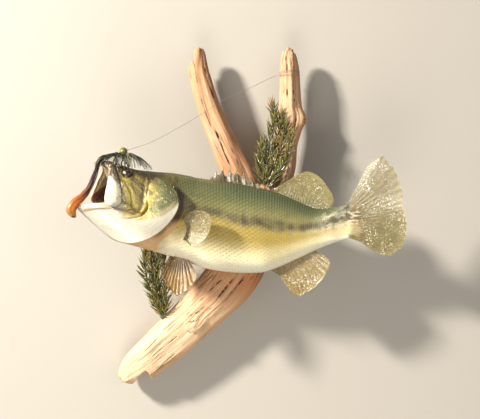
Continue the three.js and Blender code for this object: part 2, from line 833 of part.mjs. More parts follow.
const branchRightAt = woodAt(
  [
    [4, -30, -24, 20, 22], [18, -31.5, 2, 23, 23], [34, -34, 30, 21.5, 21.5],
    [44, -37, 58, 18.8, 19], [46.5, -38.5, 90, 18.2, 17.5], [52, -39, 118, 20, 17],
    [55, -39, 137, 21.8, 17], [53, -39, 154, 19.2, 16.5], [52, -39, 182, 17.2, 16],
    [51, -39, 212, 16.2, 15], [50, -39, 232, 14.4, 13], [50.5, -39, 246, 10.6, 10],
    [54, -39, 253, 4.5, 5],
  ],
  4.1,
);
// A straight-sided cut through the wood's whole depth, its outline given in x and z.
function cutThrough(outline) {
  const shape = new THREE.Shape(outline.map(([x, z]) => new THREE.Vector2(x, z)));
  const g = new THREE.ExtrudeGeometry(shape, { depth: 120, bevelEnabled: false, steps: 1 });
  g.applyMatrix4(
    new THREE.Matrix4().set(1, 0, 0, 0, 0, 0, -1, 20, 0, 1, 0, 0, 0, 0, 0, 1),
  );
  return solid(g);
}
// Weather has split both ends: the log's foot and the left branch's top each end in two prongs.
const footSplit = cutThrough([
  [-188, -284.5], [-199, -295], [-214, -313], [-214, -345], [-150, -345], [-160, -299],
  [-174, -301.5], [-180.5, -298.5], [-182.5, -288.5],
]);
const topSplit = cutThrough([
  [-104.6, 219], [-106.8, 236.5], [-108.6, 247], [-110, 265], [-135, 265], [-135, 228],
  [-118, 219.5], [-110.8, 232.5],
]);
const fishRoom = (() => {
  let s = fleshSolid(GAP);
  for (const side of [1, -1]) s = s.add(gillSolid(side, GAP));
  return s;
})();
const wallSide = beyond(V(0, 0, 0), V(0, 1, 0)); // what would lie in the wall
const logWhole = woodSolid(logAt, 14, 12).subtract(footSplit);
const leftWhole = woodSolid(branchLeftAt, 10, 9).subtract(topSplit);
const rightWhole = woodSolid(branchRightAt, 11, 9);
const logRoom = woodSolid(logAt, 14, 12, GAP);
const leftRoom = woodSolid(branchLeftAt, 10, 9, GAP);

// ---------------------------------------------------------------- hanger
// A keyhole plate lies in a pocket of the planed back, held by two screws.
const PLATE = { x: -8, z: -38, w: 42, h: 15, t: 1.4, back: -2.2 };
const SCREW = { d: 3.2, head: 7, headT: 1.5, long: 12, apart: 30 };
const KEY = { d: 8.4, slot: 4.4, rise: 4 };
const rod = (r, y0, y1, x, z, sides = 10) => {
  const g = new THREE.CylinderGeometry(r, r, y1 - y0, sides);
  g.translate(x, (y0 + y1) / 2, z);
  return solid(g);
};
const plateBox = (grow, y0, y1) =>
  solid(
    box(
      PLATE.x - PLATE.w / 2 - grow, PLATE.x + PLATE.w / 2 + grow, y0, y1,
      PLATE.z - PLATE.h / 2 - grow, PLATE.z + PLATE.h / 2 + grow,
    ),
  );
const screwX = [-1, 1].map((k) => PLATE.x + (k * SCREW.apart) / 2);
let woodCut = plateBox(0.6, PLATE.back - PLATE.t - GAP, 5).add(
  solid(
    box(PLATE.x - 7, PLATE.x + 7, -11, -2, PLATE.z - 6.5, PLATE.z + 7),
  ),
);
let plate = plateBox(0, PLATE.back - PLATE.t, PLATE.back)
  .subtract(rod(KEY.d / 2, -9, 1, PLATE.x, PLATE.z - 2, 10))
  .subtract(
    solid(
      box(
        PLATE.x - KEY.slot / 2, PLATE.x + KEY.slot / 2, -9, 1, PLATE.z - 2,
        PLATE.z - 2 + KEY.d / 2 + KEY.rise,
      ),
    ),
  );
screwX.forEach((x, i) => {
  const low = PLATE.back - SCREW.long;
  woodCut = woodCut.add(rod(SCREW.d / 2 + GAP, low - GAP, 0, x, PLATE.z, 8));
  plate = plate.subtract(rod(SCREW.d / 2 + GAP, -9, 1, x, PLATE.z, 8));
  show(
    "hanger_screw_" + (i + 1),
    rod(SCREW.d / 2, low, PLATE.back + 1, x, PLATE.z, 8)
      .add(rod(SCREW.head / 2, PLATE.back + GAP, PLATE.back + GAP + SCREW.headT, x, PLATE.z, 8))
      .subtract(solid(box(x - 0.5, x + 0.5, PLATE.back + GAP + SCREW.headT - 0.7, 1, PLATE.z - 4, PLATE.z + 4))),
    STEEL,
  );
});
show("hanger_plate", plate, STEEL);

const trimWood = (s) => s.subtract(fishRoom).subtract(wallSide).subtract(woodCut);
show("driftwood_trunk", trimWood(logWhole), WOOD);
show("driftwood_branch_left", trimWood(leftWhole.subtract(logRoom)), WOOD);
show(
  "driftwood_branch_right",
  trimWood(rightWhole.subtract(logRoom).subtract(leftRoom)),
  WOOD,
);
const woodRoom = logRoom.add(leftRoom).add(woodSolid(branchRightAt, 11, 9, GAP));

// ---------------------------------------------------------------- water plants
// A blade, widest a third of the way along it.
function blade(from, to, half, sides = 3) {
  const d = to.clone().sub(from),
    s = V(0, 1, 0).cross(d).normalize(),
    t = d.clone().cross(s).normalize(),
    points = [from, to],
    faces = [];
  for (let j = 0; j < sides; j++) {
    const w = (2 * Math.PI * j) / sides;
    points.push(
      from
        .clone()
        .addScaledVector(d, 0.35)
        .addScaledVector(s, half * Math.cos(w))
        .addScaledVector(t, 0.55 * half * Math.sin(w)),
    );
  }
  for (let j = 0; j < sides; j++) {
    const a = 2 + j,
      b = 2 + ((j + 1) % sides);
    faces.push([0, b, a], [1, a, b]);
  }
  return solid(geometryOf(points, faces));
}
// A stem with blades that leave it at a slant, each turned a golden angle from the one before.
function plant(stems) {
  let all = null;
  for (const { along, thick, blades, long, seed, lean } of stems) {
    const at = path(along);
    let s = tube(at, 5, 4, (t) => mix(thick, 0.6 * thick, t));
    for (let i = 0; i < blades; i++) {
      const t = mix(0.08, 0.97, i / (blades - 1)),
        p = at(t),
        d = at(Math.min(1, t + 0.02)).sub(at(Math.max(0, t - 0.02))).normalize();
      const w = seed + i * 2.4,
        out = V(Math.cos(w), lean * Math.sin(w), 0);
      const q = p
        .clone()
        .addScaledVector(d, 0.72 * long)
        .addScaledVector(out, 0.7 * long);
      s = s.add(blade(p.clone().addScaledVector(d, -1), q, 1.3));
    }
    all = all ? all.add(s) : s;
  }
  return all;
}
const plantCut = fishRoom.add(woodRoom);
show(
  "plant_upper",
  plant([
    {
      along: [[12, -64, 24], [12, -63, 48], [13.5, -62, 72], [20, -61.5, 108], [25.5, -61, 130], [24, -60.5, 152]],
      thick: 1.3, blades: 8, long: 21, seed: 0.4, lean: 0.35,
    },
    {
      along: [[13, -64, 26], [22, -64, 44], [33, -63.5, 72], [42, -62.5, 98], [46, -62, 118]],
      thick: 1.2, blades: 7, long: 18, seed: 1.9, lean: 0.3,
    },
  ]).subtract(plantCut),
  WEED,
);
show(
  "plant_lower",
  plant([
    {
      along: [[-163, -40, -196], [-165, -46, -172], [-171, -52, -140], [-176, -55, -110], [-178, -57, -82]],
      thick: 1.3, blades: 8, long: 20, seed: 0.9, lean: 0.5,
    },
    {
      along: [[-160, -42, -197], [-155, -50, -178], [-153.5, -55, -148], [-154, -58, -116], [-158, -60, -88]],
      thick: 1.3, blades: 6, long: 18, seed: 2.2, lean: 0.5,
    },
    {
      along: [[-162.5, -40, -193], [-160.5, -42, -198.5]],
      thick: 2.2, blades: 2, long: 5, seed: 0, lean: 0.5,
    },
  ]).subtract(plantCut),
  WEED,
);

// ---------------------------------------------------------------- lure, its trailer and the line
const BEAD = V(-210.8, -146, 73);
const BEAD_R = 6.3;
const headRoom = fishRoom.add(maxillaSolid(1, GAP)).add(maxillaSolid(-1, GAP));
show(
  "lure_head",
  ball(BEAD, BEAD_R, 10, 7).add(
    tube(path([[-210.8, -146, 70], [-211, -145.4, 66], [-211.4, -144.8, 62.5]]), 1, 8, (t) => mix(4.4, 3.6, t)),
  ),
  SKIRT,
);
const beadRoom = ball(BEAD, BEAD_R + GAP, 10, 7).add(
  tube(path([[-210.8, -146, 70], [-211, -145.4, 66], [-211.6, -144.6, 61.5]]), 1, 8, (t) => mix(4.4, 3.6, t) + GAP),
);
// The hook's shank and its guard straddle the snout.
const hookAt = path([
  [-216.5, -142.5, 47], [-214.6, -143.2, 54], [-212.6, -143.8, 58.6], [-210.6, -143.8, 59.4],
  [-207.6, -143.2, 57], [-202.6, -141, 46.5],
]);
show("lure_hook", tube(hookAt, 6, 5, () => HOOK_D / 2).subtract(headRoom).subtract(beadRoom), STEEL);
// Strands of the skirt fall both ways over the snout from the collar under the bead.
const collar = V(-211.2, -145.2, 65);
const STRANDS = [
  [-252, -147, 53], [-245, -161, 51], [-242, -139, 60], [-230, -168, 52], [-226, -126, 56],
  [-170, -132, 47], [-184, -154, 50], [-188, -121, 55],
];
function skirtSolid(grow) {
  let s = tube(
    path([[-210.9, -145.7, 68.2 + grow], [-211.2, -145.2, 65], [-211.4, -144.8, 62 - grow]]),
    1, 7, (t) => mix(5.4, 6.2, t) + grow,
  );
  STRANDS.forEach(([x, y, z], i) => {
    const end = V(x, y, z),
      mid = collar.clone().lerp(end, 0.45).add(V(0, 0, 4.5 + (i % 3)));
    const at = path([[collar.x, collar.y, collar.z], [mid.x, mid.y, mid.z], [x, y, z]]);
    s = s.add(tube(at, 2, 3, (t) => mix(1.7, 0.8, t) + 2 * grow));
  });
  return s;
}
const hookRoom = tube(hookAt, 6, 5, () => HOOK_D / 2 + GAP + 0.1);
show("lure_skirt", skirtSolid(0).subtract(headRoom).subtract(beadRoom).subtract(hookRoom), SKIRT);
// The soft trailer hangs past the open mouth and curls over the chin.
const trailerAt = path([
  [-236, -148.5, 67], [-243, -152.5, 63.5], [-248, -156, 55], [-250.5, -158, 44], [-255, -159, 31], [-262, -161.5, 15],
  [-270.5, -165.5, 3], [-281.5, -170.5, -8], [-285.8, -172, -18], [-280.5, -170.5, -28.5],
]);
const trailerR = curve([[0, 1.6], [0.15, 2.6], [0.4, 3], [0.62, 3.4], [0.75, 5.4], [0.86, 6], [0.95, 4], [1, 1.4]]);
show(
  "lure_trailer",
  tube(trailerAt, 12, 6, trailerR).subtract(headRoom).subtract(skirtSolid(GAP)),
  BAIT,
);
const LINE = [
  [-204.6, -144.9, 75.4], [-172, -129.6, 88], [-121.5, -109.6, 117.5], [-97, -100, 133.5], [-56.5, -82, 161.5],
  [-14, -65.2, 183.5], [14, -53, 199], [31.8, -45.5, 207.9],
];
{
  const c = new THREE.CatmullRomCurve3(LINE.map((p) => V(...p)));
  const ring = new THREE.Shape();
  ring.absarc(0, 0, LINE_D / 2, 0, 2 * Math.PI);
  const g = new THREE.ExtrudeGeometry(ring, { steps: 13, extrudePath: c, curveSegments: 4 });
  show("fishing_line", solid(g), NYLON);
}
// The line ends in two turns round the right branch.
const turnsAt = (t) => branchRightAt(0.743 + 0.008 * Math.sin(2 * Math.PI * t), 2 * Math.PI * t, GAP + 2 * LINE_D);
show("line_wrap", hoop(turnsAt, 11, LINE_D * 0.8, 4), NYLON);

export default group;
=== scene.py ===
# A largemouth bass mounted on driftwood: skin, scales, eyes, fins, wood, plants and lure.
# Everything is computed in millimetres and written to Blender in metres.
import math
import time

import bpy
import numpy as np
import openvdb
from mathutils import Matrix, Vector
from mathutils.bvhtree import BVHTree


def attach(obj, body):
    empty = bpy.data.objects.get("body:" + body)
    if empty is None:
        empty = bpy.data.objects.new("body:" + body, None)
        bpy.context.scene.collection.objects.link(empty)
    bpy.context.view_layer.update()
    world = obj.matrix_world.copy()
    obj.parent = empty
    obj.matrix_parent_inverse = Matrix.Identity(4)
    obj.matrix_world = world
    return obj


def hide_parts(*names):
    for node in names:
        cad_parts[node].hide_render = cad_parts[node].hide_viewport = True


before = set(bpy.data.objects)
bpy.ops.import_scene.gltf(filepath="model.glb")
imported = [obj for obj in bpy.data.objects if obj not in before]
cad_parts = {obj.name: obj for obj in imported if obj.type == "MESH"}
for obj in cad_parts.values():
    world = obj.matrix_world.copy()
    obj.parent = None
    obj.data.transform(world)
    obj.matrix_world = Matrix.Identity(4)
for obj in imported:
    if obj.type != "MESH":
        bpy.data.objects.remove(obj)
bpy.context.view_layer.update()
MM = 0.001
T0 = time.time()


def tick(what):
    print(f"[{time.time() - T0:6.1f} s] {what}")


# ============================================================== camera
cam_data = bpy.data.cameras.new("camera")
cam_data.sensor_width = 36.0
cam_data.lens = 60.94
cam_data.clip_start, cam_data.clip_end = 0.05, 50
cam = bpy.data.objects.new("camera", cam_data)
cam.location = (-0.031, -1.400, -0.0164)
cam.rotation_euler = (math.pi / 2, 0, 0)
bpy.context.scene.collection.objects.link(cam)
bpy.context.scene.camera = cam


# ============================================================== numbers and curves
def mix(a, b, t):
    return a + (b - a) * t


def sstep(a, b, x):
    t = np.clip((np.asarray(x, float) - a) / (b - a), 0, 1)
    return t * t * (3 - 2 * t)


def bell(x, centre, width):
    return np.exp(-(((np.asarray(x, float) - centre) / width) ** 2))


def vec(*p):
    return np.array(p, float)


def unit(v):
    v = np.asarray(v, float)
    return v / np.maximum(np.linalg.norm(v, axis=-1, keepdims=True), 1e-12)


def curve(stations):
    """A monotone cubic through (x, y) stations."""
    s = np.array(sorted(stations), float)
    x, y = s[:, 0], s[:, 1]
    d = np.diff(y) / np.diff(x)
    m = np.empty(len(x))
    m[0], m[-1] = d[0], d[-1]
    for i in range(1, len(x) - 1):
        m[i] = 0 if d[i - 1] * d[i] <= 0 else 2 * d[i - 1] * d[i] / (d[i - 1] + d[i])

    def f(q):
        q = np.clip(np.asarray(q, float), x[0], x[-1])
        i = np.clip(np.searchsorted(x, q, side="right") - 1, 0, len(x) - 2)
        h = x[i + 1] - x[i]
        t = (q - x[i]) / h
        t2, t3 = t * t, t * t * t
        return (
            (2 * t3 - 3 * t2 + 1) * y[i]
            + (t3 - 2 * t2 + t) * h * m[i]
            + (-2 * t3 + 3 * t2) * y[i + 1]
            + (t3 - t2) * h * m[i + 1]
        )

    return f


def path(points):
    """A centripetal Catmull-Rom line; t runs 0..1 by point number."""
    P = np.array(points, float)
    n = len(P)
    ext = np.vstack([2 * P[0] - P[1], P, 2 * P[-1] - P[-2]])

    def f(t):
        t = np.clip(np.asarray(t, float), 0, 1)
        q = t * (n - 1)
        i = np.minimum(q.astype(int), n - 2)
        w = (q - i)[..., None]
        p0, p1, p2, p3 = ext[i], ext[i + 1], ext[i + 2], ext[i + 3]
        d0 = np.sqrt(np.linalg.norm(p1 - p0, axis=-1, keepdims=True))
        d1 = np.sqrt(np.linalg.norm(p2 - p1, axis=-1, keepdims=True))
        d2 = np.sqrt(np.linalg.norm(p3 - p2, axis=-1, keepdims=True))
        d1 = np.where(d1 < 1e-4, 1, d1)
        d0 = np.where(d0 < 1e-4, d1, d0)
        d2 = np.where(d2 < 1e-4, d1, d2)
        t1 = ((p1 - p0) / d0 - (p2 - p0) / (d0 + d1) + (p2 - p1) / d1) * d1
        t2 = ((p2 - p1) / d1 - (p3 - p1) / (d1 + d2) + (p3 - p2) / d2) * d1
        c2 = -3 * p1 + 3 * p2 - 2 * t1 - t2
        c3 = 2 * p1 - 2 * p2 + t1 + t2
        return p1 + t1 * w + c2 * w * w + c3 * w * w * w

    return f


def hash01(*k):
    """A repeatable number from 0 to 1 for each integer key."""
    h = np.zeros(np.broadcast(*[np.asarray(a) for a in k]).shape, np.uint32)
    with np.errstate(over="ignore"):
        for j, a in enumerate(k):
            h = h ^ (np.asarray(a).astype(np.int64).astype(np.uint32) * np.uint32(2654435761 + 40503 * j))
            h = (h ^ (h >> np.uint32(15))) * np.uint32(2246822519)
            h = (h ^ (h >> np.uint32(13))) * np.uint32(3266489917)
            h = h ^ (h >> np.uint32(16))
    return h.astype(np.float64) / 4294967295.0


def noise(p, seed=0):
    """Smooth value noise, -1..1, of points (N, k)."""
    p = np.asarray(p, float)
    i = np.floor(p).astype(np.int64)
    f = p - i
    f = f * f * (3 - 2 * f)
    k = p.shape[-1]
    out = 0
    for c in range(2**k):
        w = 1.0
        key = []
        for a in range(k):
            b = (c >> a) & 1
            w = w * (f[..., a] if b else 1 - f[..., a])
            key.append(i[..., a] + b)
        out = out + w * hash01(*key, np.full(i[..., 0].shape, seed))
    return out * 2 - 1


def fbm(p, seed=0, octaves=3, gain=0.5):
    p = np.asarray(p, float)
    out, amp, tot = 0, 1.0, 0
    for o in range(octaves):
        out = out + amp * noise(p * 2**o + 13.7 * o, seed + o)
        tot += amp
        amp *= gain
    return out / tot


# ============================================================== meshes
def raw_mesh(name, v, quads=None, tris=None, smooth=True):
    v = np.asarray(v, np.float32) * np.float32(MM)
    loops, sizes = [], []
    for f, k in ((quads, 4), (tris, 3)):
        if f is not None and len(f):
            f = np.asarray(f, np.int32).reshape(-1, k)
            loops.append(f.ravel())
            sizes.append(np.full(len(f), k, np.int32))
    L, S = np.concatenate(loops), np.concatenate(sizes)
    me = bpy.data.meshes.new(name)
    me.vertices.add(len(v))
    me.vertices.foreach_set("co", v.ravel())
    me.loops.add(len(L))
    me.loops.foreach_set("vertex_index", L)
    me.polygons.add(len(S))
    me.polygons.foreach_set("loop_start", np.concatenate([[0], np.cumsum(S)[:-1]]).astype(np.int32))
    me.update(calc_edges=True)
    me.validate()
    if smooth:
        me.shade_smooth()
    else:
        me.shade_flat()
    return me


def add_object(name, me, material=None, ride=True):
    o = bpy.data.objects.new(name, me)
    bpy.context.scene.collection.objects.link(o)
    if material is not None:
        me.materials.append(material)
    if ride:
        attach(o, "root")
    return o


def attribute(me, name, values):
    values = np.asarray(values, np.float32)
    if values.ndim == 1:
        a = me.attributes.new(name, "FLOAT", "POINT")
        a.data.foreach_set("value", values)
    else:
        a = me.attributes.new(name, "FLOAT_COLOR", "POINT")
        rgba = np.ones((len(values), 4), np.float32)
        rgba[:, :3] = values[:, :3]
        a.data.foreach_set("color", rgba.ravel())


def coords(me):
    v = np.empty(len(me.vertices) * 3, np.float32)
    me.vertices.foreach_get("co", v)
    return v.reshape(-1, 3).astype(float) / MM


def normals(me):
    v = np.empty(len(me.vertices) * 3, np.float32)
    me.vertex_normals.foreach_get("vector", v)
    return v.reshape(-1, 3).astype(float)


def grid_quads(nu, nv, closed_v=False, off=0):
    """Quads of a grid of nu by nv points; v closes on itself if closed_v."""
    i = np.arange(nu - 1)[:, None]
    j = np.arange(nv if closed_v else nv - 1)[None, :]
    k = (j + 1) % nv
    a, b = i * nv + j, i * nv + k
    c, d = (i + 1) * nv + k, (i + 1) * nv + j
    return np.stack([a, b, c, d], -1).reshape(-1, 4) + off


def grid_quads_closed(nu, nv):
    """Quads of a ring of nu sections of nv points that closes both ways."""
    i, j = np.arange(nu)[:, None], np.arange(nv)[None, :]
    i2, j2 = (i + 1) % nu, (j + 1) % nv
    return np.stack([i * nv + j, i * nv + j2, i2 * nv + j2, i2 * nv + j], -1).reshape(-1, 4)


def loft_arrays(rings):
    """Closed loft through rings (R, S, 3): points, quads, tris."""
    R, S = rings.shape[:2]
    pts = np.vstack([rings.reshape(-1, 3), rings[0].mean(0), rings[-1].mean(0)])
    quads = grid_quads(R, S, True)
    j = np.arange(S)
    k = (j + 1) % S
    t0 = np.stack([np.full(S, R * S), k, j], -1)
    t1 = np.stack([np.full(S, R * S + 1), (R - 1) * S + j, (R - 1) * S + k], -1)
    return pts, quads, np.vstack([t0, t1])


def sheet_arrays(at, nu, nv, thickness, rim=0.0, u_range=(0, 1), v_range=(0, 1), shift=0.0):
    """Closed sheet as the CAD makes it; shift moves it along its own normal."""
    U, Vv = np.meshgrid(np.linspace(*u_range, nu + 1), np.linspace(*v_range, nv + 1), indexing="ij")
    e = 1e-3
    P = at(U, Vv)
    Vc, Uc = np.clip(Vv, 0.02, 0.98), np.clip(U, 0.02, 0.98)
    du = unit(at(np.clip(U + e, *u_range), Vc) - at(np.clip(U - e, *u_range), Vc))
    dv = unit(at(Uc, np.clip(Vv + e, *v_range)) - at(Uc, np.clip(Vv - e, *v_range)))
    n = unit(np.cross(du, dv))
    P = P + n * shift
    P[0] -= du[0] * rim
    P[-1] += du[-1] * rim
    P[:, 0] -= dv[:, 0] * rim
    P[:, -1] += dv[:, -1] * rim
    h = (thickness(U, Vv) / 2)[..., None]
    top, bot = (P + n * h).reshape(-1, 3), (P - n * h).reshape(-1, 3)
    m = nv + 1
    q = grid_quads(nu + 1, m)
    off = len(top)
    edge = (
        [i * m for i in range(nu)]
        + [nu * m + j for j in range(nv)]
        + [i * m + nv for i in range(nu, 0, -1)]
        + [j for j in range(nv, 0, -1)]
    )
    a = np.array(edge)
    b = np.roll(a, -1)
    side = np.stack([a, b, b + off, a + off], -1)
    quads = np.vstack([q[:, ::-1], q + off, side])
    return np.vstack([top, bot]), quads, None


# ============================================================== the fish's own curves
HEAD_YAW, HEAD_PITCH = 22, 26
HEAD_AT = vec(-149.9, -112, -10.9)
EYE_R = 9.4

def flowing(stations, sigma=4.0):
    """The same curve with its kinks rubbed down, so that no hoop shows on the skin."""
    f = curve(stations)
    lo, hi = min(p[0] for p in stations), max(p[0] for p in stations)
    x = np.arange(lo - 20, hi + 20.01, 0.5)
    y = f(x)
    slope0, slope1 = (f(lo + 1) - f(lo)), (f(hi) - f(hi - 1))
    y = np.where(x < lo, f(lo) + (x - lo) * slope0, np.where(x > hi, f(hi) + (x - hi) * slope1, y))
    k = np.exp(-0.5 * (np.arange(-24, 25) * 0.5 / sigma) ** 2)
    z = np.convolve(y, k / k.sum(), "same")
    near = np.minimum(x - lo, hi - x)
    z = mix(y, z, sstep(0, 10, near))
    return lambda q: np.interp(np.clip(q, lo, hi), x, z)


trunkBack = flowing([(-200, -12), (-188, 12), (-173, 30), (-153, 39.5), (-134, 39.6), (-117, 37.2), (-95, 34.1),
                   (-71, 31), (-47, 28), (-23, 23.6), (1, 18.6), (25, 12.4), (49, 2.6), (73, -8.4), (96, -15.2),
                   (119, -13.4), (135, -7.5), (147, -3.5)])
trunkBelly = flowing([(-206, -66), (-187, -76), (-173, -81), (-153, -87.7), (-134, -92.8), (-117, -99.9),
                    (-95, -109.2), (-71, -114.6), (-47, -117.6), (-23, -118.9), (1, -118.4), (25, -111.8),
                    (49, -101.2), (73, -89.8), (96, -78.6), (119, -69.4), (135, -64), (147, -60.6)])
trunkOut = flowing([(-206, -134.7), (-187, -127), (-173, -121.4), (-153, -113.2), (-134, -105.8), (-117, -101),
                  (-95, -97), (-71, -95), (-47, -94), (-23, -94.4), (1, -95.4), (25, -97), (49, -100), (73, -104),
                  (96, -109), (119, -115), (142, -121.4), (158, -126)])
trunkHalf = flowing([(-206, 5), (-200, 11), (-188, 20), (-173, 27.5), (-153, 32.5), (-134, 35.5), (-117, 37.6),
                   (-95, 39.2), (-71, 39.6), (-47, 39.2), (-23, 38), (1, 35.8), (25, 32.2), (49, 27.6),
                   (73, 22.6), (96, 18), (119, 14), (135, 11), (147, 7)])


def trunk_slope(x):
    return (trunkOut(np.asarray(x) + 4) - trunkOut(np.asarray(x) - 4)) / 8


def trunk_mid(x):
    return mix(trunkBelly(x), trunkBack(x), 0.53)


def spow(c, p):
    return np.sign(c) * np.abs(c) ** p


def on_trunk(x, turn, grow=0.0):
    """turn 0 is the left flank, 90 the back, -90 the belly (degrees)."""
    x, turn = np.broadcast_arrays(np.asarray(x, float), np.asarray(turn, float))
    sl = trunk_slope(x)
    n_ = np.sqrt(1 + sl * sl)
    c, s = np.cos(np.radians(turn)), np.sin(np.radians(turn))
    n = np.where(s > 0, 1.95, 2.1)
    zc = trunk_mid(x)
    k = spow(c, 2 / n) * (trunkHalf(x) + grow)
    h = spow(s, 2 / n) * (np.where(s > 0, trunkBack(x) - zc, zc - trunkBelly(x)) + grow)
    return np.stack([x + k * sl / n_, trunkOut(x) - k / n_, zc + h], -1)


def trunk_coords(p):
    """Station, side distance and height of points against the trunk, and its half sizes there."""
    x, y, z = p[..., 0], p[..., 1], p[..., 2]
    s = x.copy()
    for _ in range(4):
        s = x + (y - trunkOut(s)) * trunk_slope(s)
    sl = trunk_slope(s)
    k = (trunkOut(s) - y) * np.sqrt(1 + sl * sl)
    zc = trunk_mid(s)
    return s, k, z - zc, trunkHalf(s), trunkBack(s) - zc, zc - trunkBelly(s)


psi, phi = math.radians(HEAD_YAW), math.radians(HEAD_PITCH)
FWD = vec(-math.cos(psi) * math.cos(phi), -math.sin(psi) * math.cos(phi), math.sin(phi))
UP = vec(math.cos(psi) * math.sin(phi), math.sin(psi) * math.sin(phi), math.cos(phi))
LEFT = vec(math.sin(psi), -math.cos(psi), 0)
LEVEL = vec(-math.cos(psi), -math.sin(psi), 0)
ZUP = vec(0, 0, 1)


def in_head(a, b, l):
    a, b, l = (np.asarray(q, float)[..., None] for q in (a, b, l))
    return HEAD_AT + FWD * a + UP * b + LEFT * l


def in_jaw(h, z, l):
    h, z, l = (np.asarray(q, float)[..., None] for q in (h, z, l))
    return HEAD_AT + LEVEL * h + ZUP * z + LEFT * l


def head_coords(p):
    d = p - HEAD_AT
    return d @ FWD, d @ UP, d @ LEFT


def jaw_coords(p):
    d = p - HEAD_AT
    return d @ LEVEL, d[..., 2], d @ LEFT


skullTop = flowing([(-18, 60), (-10, 58), (10, 51.8), (26, 46), (46, 38.5), (60, 33), (72, 29.4), (86, 27.2), (97, 25.6),
                  (108, 24.2), (116, 21.8), (120, 17.5)])
skullLow = flowing([(-18, -36), (10, -44), (25, -47), (40, -47), (54, -44), (66, -38), (76, -30), (86, -20), (95, -9),
                  (104, 1), (112, 7.5), (120, 12.5)])
skullMid = flowing([(-18, 4), (10, -4), (25, -8), (40, -11), (54, -12), (68, -10), (78, -6), (87, -1), (96, 4), (105, 9),
                  (114, 13), (120, 15)])
skullHalf = flowing([(-18, 31), (10, 32.5), (25, 33), (40, 33), (54, 32), (66, 30.5), (76, 29), (86, 26.8), (95, 23.6),
                   (104, 19.6), (112, 14.4), (117, 9.5), (120, 4.5)])
jawRim = curve([(-2, -14), (20, -14), (40, -10), (60, -3), (75, 1.5), (90, 3.5), (105, 3.5), (118, 2.4), (128, 1.2),
                (134, 0), (138, -2.2)])
jawBelly = flowing([(-2, -76), (18, -71), (40, -64.5), (56, -61), (69, -57.8), (79, -54.5), (88, -49.8), (100, -40.5),
                  (112, -29.6), (122, -20.5), (131, -12.6), (138, -5.5)])
jawHalf = flowing([(-2, 24), (20, 31), (40, 33.5), (60, 34.5), (75, 33.5), (90, 31), (105, 27), (118, 21.5), (127, 16),
                 (133, 10.5), (138, 4)])


def oval_ring(centre, side, rise, hw, up, down, nu, nd, sides):
    w = 2 * np.pi * np.arange(sides) / sides
    c, s = np.cos(w), np.sin(w)
    n = np.where(s > 0, nu, nd)
    x = spow(c, 2 / n) * hw
    y = spow(s, 2 / n) * np.where(s > 0, up, down)
    return centre + side * x[:, None] + rise * y[:, None]


def maxilla_at(side):
    front = path([(111.5, 15.5, 12.5), (108.6, 3, 18.8), (106.6, -12, 24), (104.6, -26, 28), (102.4, -35.5, 30.6),
                  (98, -42.5, 31.8)])
    back = path([(105, 18, 16.2), (96.5, 4.5, 25.6), (90, -6, 29.2), (82, -20.5, 32.6), (78.5, -32, 33.8),
                 (83, -41, 33.6)])

    def at(u, v):
        f, b = front(v), back(v)
        p = f + (b - f) * np.asarray(u)[..., None]
        out = 1.5 * np.sin(np.pi * np.asarray(u))
        return in_head(p[..., 0] - 1 - side * 0.14 * p[..., 2], p[..., 1], side * (p[..., 2] + out))

    return at


def gill_at(side):
    hinge = path([(22, 44, 24), (34, 27, 30.5), (38.5, 13, 34), (37, -3, 36.5), (44, -14, 36.5), (60, -20, 34.8),
                  (80, -23.5, 30.5), (96, -26, 22.5), (107, -27.5, 14.5)])
    edge = path([(8, 37, 32.5), (-1.5, 27, 39.5), (-7.5, 15, 44.5), (-7, 0, 47), (-1, -14, 46.5), (10, -28.5, 44),
                 (26, -43, 39.5), (46, -53, 33), (64, -56.5, 24.5), (80, -52.5, 14.5), (92, -44.5, 8.5),
                 (102, -36.5, 5.5)])

    def at(u, v):
        a, b = hinge(v), edge(v)
        u = np.asarray(u, float)
        p = a + (b - a) * u[..., None]
        out = 3.2 * np.sin(np.pi * np.clip(u, 0, 1)) * (1 - np.asarray(v) ** 2)
        return in_jaw(p[..., 0], p[..., 1], side * (p[..., 2] + out))

    return at


def eye_centre(side):
    return in_head(81, 14.6, side * 15.6)


# ============================================================== distance fields
class Grid:
    def __init__(self, lo, hi, vox, band=9):
        self.lo, self.vox, self.band = np.array(lo, float), vox, band
        self.shape = tuple(np.ceil((np.array(hi, float) - self.lo) / vox).astype(int) + 1)

    def points(self):
        ax = [self.lo[i] + self.vox * np.arange(self.shape[i]) for i in range(3)]
        return np.meshgrid(*ax, indexing="ij", copy=False)

    def level(self, pts, quads, tris=None):
        """Signed distance to a closed mesh, in mm, clipped to the band."""
        p = ((np.asarray(pts, float) - self.lo) / self.vox).astype(np.float32)
        t = np.empty((0, 3), np.uint32) if tris is None else np.asarray(tris, np.uint32)
        g = openvdb.FloatGrid.createLevelSetFromPolygons(
            points=p, triangles=t, quads=np.asarray(quads, np.uint32),
            transform=openvdb.createLinearTransform(1.0), halfWidth=float(self.band))
        out = np.full(self.shape, self.band, np.float32)
        g.copyToArray(out, ijk=(0, 0, 0))
        return out * np.float32(self.vox)

    def mesh(self, d):
        """The surface d = 0 as points in mm and quads facing out."""
        g = openvdb.FloatGrid(3.0 * self.vox)
        g.copyFromArray(np.ascontiguousarray(np.clip(d, -3 * self.vox, 3 * self.vox), np.float32), tolerance=0)
        pts, quads = g.convertToQuads(0.0)
        return pts.astype(float) * self.vox + self.lo, quads.astype(np.int64)

    def sample(self, d, p):
        """Trilinear values of field d at points p in mm."""
        q = (p - self.lo) / self.vox
        i = np.clip(np.floor(q).astype(int), 0, np.array(self.shape) - 2)
        f = np.clip(q - i, 0, 1)
        out = 0
        for c in range(8):
            o = [(c >> a) & 1 for a in range(3)]
            w = np.prod([f[:, a] if o[a] else 1 - f[:, a] for a in range(3)], axis=0)
            out = out + w * d[i[:, 0] + o[0], i[:, 1] + o[1], i[:, 2] + o[2]]
        return out


